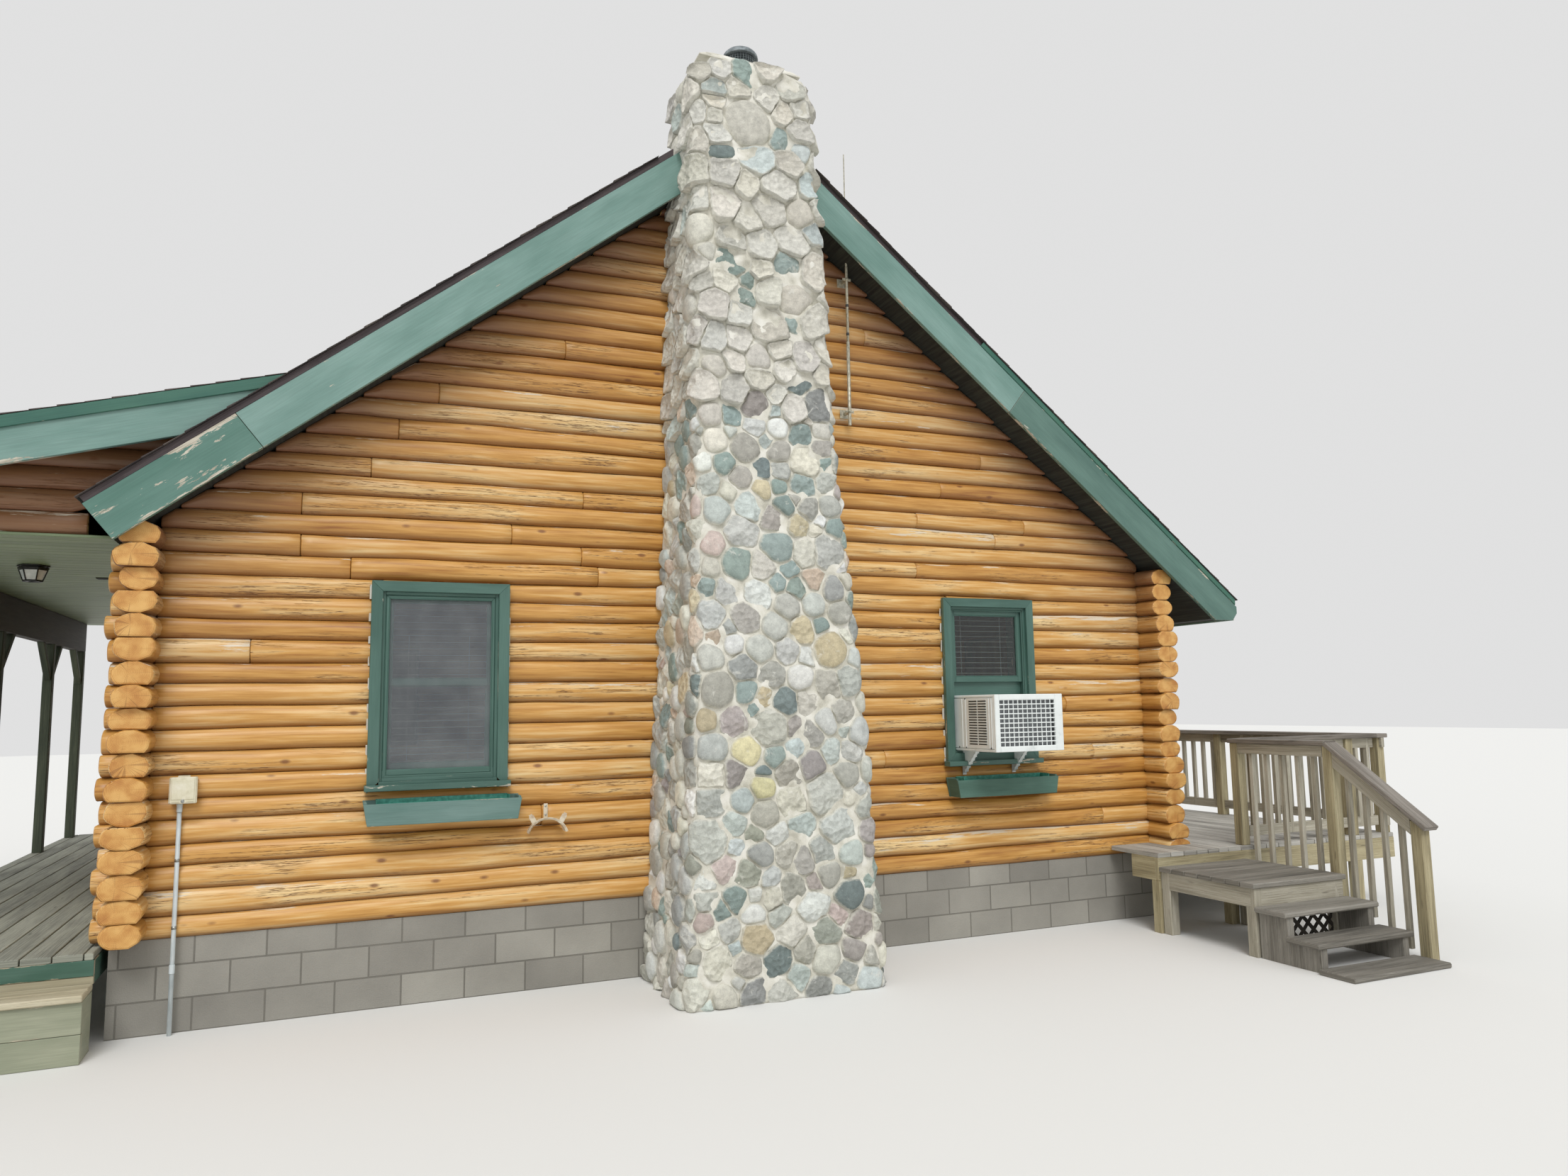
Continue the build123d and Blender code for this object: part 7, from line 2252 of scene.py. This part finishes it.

# %% [markdown]
# ## Foundation, floor and the undersides of the roof
#
# These solids already have the right shape, so they stay and only get their finish. The foundation
# is grey concrete block, 400 by 200 mm with joints of 10 mm. The undersides of the roof are boards
# coloured almost black as painted shade, since they are mostly seen as dark gaps behind the
# painted edges.

# %% Finishes for the solids that stay
block, tree, shader = new_material("grey_concrete_block", 0.9, "#98958c")
place = add(tree, "TexCoord", give="Object")
axes = add(tree, "SeparateXYZ", [place], give="all")
along = add(tree, "Math", [axes[0], axes[1]], operation="ADD")
flat = add(tree, "CombineXYZ", [along, axes[2]])
bricks = add(tree, "TexBrick", {"Vector": flat, "Scale": 1.0, "Mortar Size": 0.006,
    "Brick Width": 0.4, "Row Height": 0.2, "Mortar Smooth": 0.3, "Color1": colour("#8d8a82"),
    "Color2": colour("#a09d94"), "Mortar": colour("#76736b")}, give="all")
grit = add(tree, "TexNoise", {"Vector": place, "Scale": 130.0, "Detail": 4.0})
damp = add(tree, "TexNoise", {"Vector": place, "Scale": 1.6, "Detail": 5.0})
shade = add(tree, "MapRange", [damp, 0.3, 0.7, 0.78, 1.1])
body = add(tree, "VectorMath", {0: bricks["Color"], 3: shade}, operation="SCALE")
height = add(tree, "Math", [bricks["Fac"], -0.8, grit], operation="MULTIPLY_ADD")
bump = add(tree, "Bump", {"Height": height, "Strength": 0.6, "Distance": 0.005})
feed(shader, {"Base Color": body, "Normal": bump})
dress("foundation", block)
dress("house_floor", clouded("spruce_floor_boards", 0.7, ["#8a6d45", "#a98a5c", "#bfa273"],
    scale=2.0, stretch=(0.8, 30.0, 1.0)))
# The undersides are near black: painted shade under the roof overhangs.
roof_underside_shade = clouded("roof_boards_in_painted_shade", 0.8, ["#191b18", "#272a25", "#363a33"], scale=3.0,
    stretch=(16.0, 0.7, 16.0), relief=0.004)
for node in ("right_roof_slope", "left_roof_slope", "porch_roof"):
    dress(node, roof_underside_shade)
# %% [markdown]
# ## Floor, light and camera
#
# A pale, plain floor and an even sky keep the attention on the cabin. One large soft lamp stands
# where a bright overcast sky is strongest, high and a little to the left, so the logs get a lit
# upper half and a shaded underside. The camera stands at about eye height, 7 m before the gable,
# with a wide lens, turned toward the right and tilted slightly up.

# %% Floor and sky
floor_mesh = bpy.data.meshes.new("floor")
reach = 60.0
corners = [(-reach, -reach, 0), (reach, -reach, 0), (reach, reach, 0), (-reach, reach, 0)]
floor_mesh.from_pydata(corners, [], [(0, 1, 2, 3)])
floor = bpy.data.objects.new("floor", floor_mesh)
bpy.context.collection.objects.link(floor)
floor_material = bpy.data.materials.new("pale_plaster_floor")
floor_material.use_nodes = True
plaster = floor_material.node_tree.nodes["Principled BSDF"]
plaster.inputs["Base Color"].default_value = (0.78, 0.78, 0.76, 1)
plaster.inputs["Roughness"].default_value = 0.9
floor_mesh.materials.append(floor_material)
floor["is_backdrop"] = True

world = bpy.data.worlds.new("soft_sky")
bpy.context.scene.world = world
world.use_nodes = True
sky = world.node_tree.nodes["Background"]
sky.inputs["Color"].default_value = (1.0, 1.0, 1.0, 1)
sky.inputs["Strength"].default_value = 0.75

lamp_data = bpy.data.lights.new("high_sun", "SUN")
lamp_data.energy = 1.6
lamp_data.angle = math.radians(25)
lamp = bpy.data.objects.new("high_sun", lamp_data)
lamp.rotation_euler = (math.radians(42), 0, math.radians(-18))
bpy.context.collection.objects.link(lamp)

# %% Camera
camera_data = bpy.data.cameras.new("camera")
camera_data.sensor_width = 36.0
camera_data.lens = 24.087
eye = Vector((-2.827, -7.0, 1.897))
yaw, pitch, roll = math.radians(23.422), math.radians(6.474), math.radians(-0.947)
ahead = Vector((math.sin(yaw) * math.cos(pitch), math.cos(yaw) * math.cos(pitch), math.sin(pitch)))
side = Vector((math.cos(yaw), -math.sin(yaw), 0))
above = side.cross(ahead)
right = side * math.cos(roll) + above * math.sin(roll)
up = above * math.cos(roll) - side * math.sin(roll)
camera = bpy.data.objects.new("camera", camera_data)
camera.matrix_world = Matrix(((right.x, up.x, -ahead.x, eye.x), (right.y, up.y, -ahead.y, eye.y),
    (right.z, up.z, -ahead.z, eye.z), (0, 0, 0, 1)))
bpy.context.collection.objects.link(camera)
bpy.context.scene.camera = camera
bpy.context.scene.view_settings.view_transform = "Standard"

# %% Print the sizes and finish
size = {"cad": [list(v) for v in cad_box], "visual": [list(v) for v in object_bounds()]}
print("size", size)
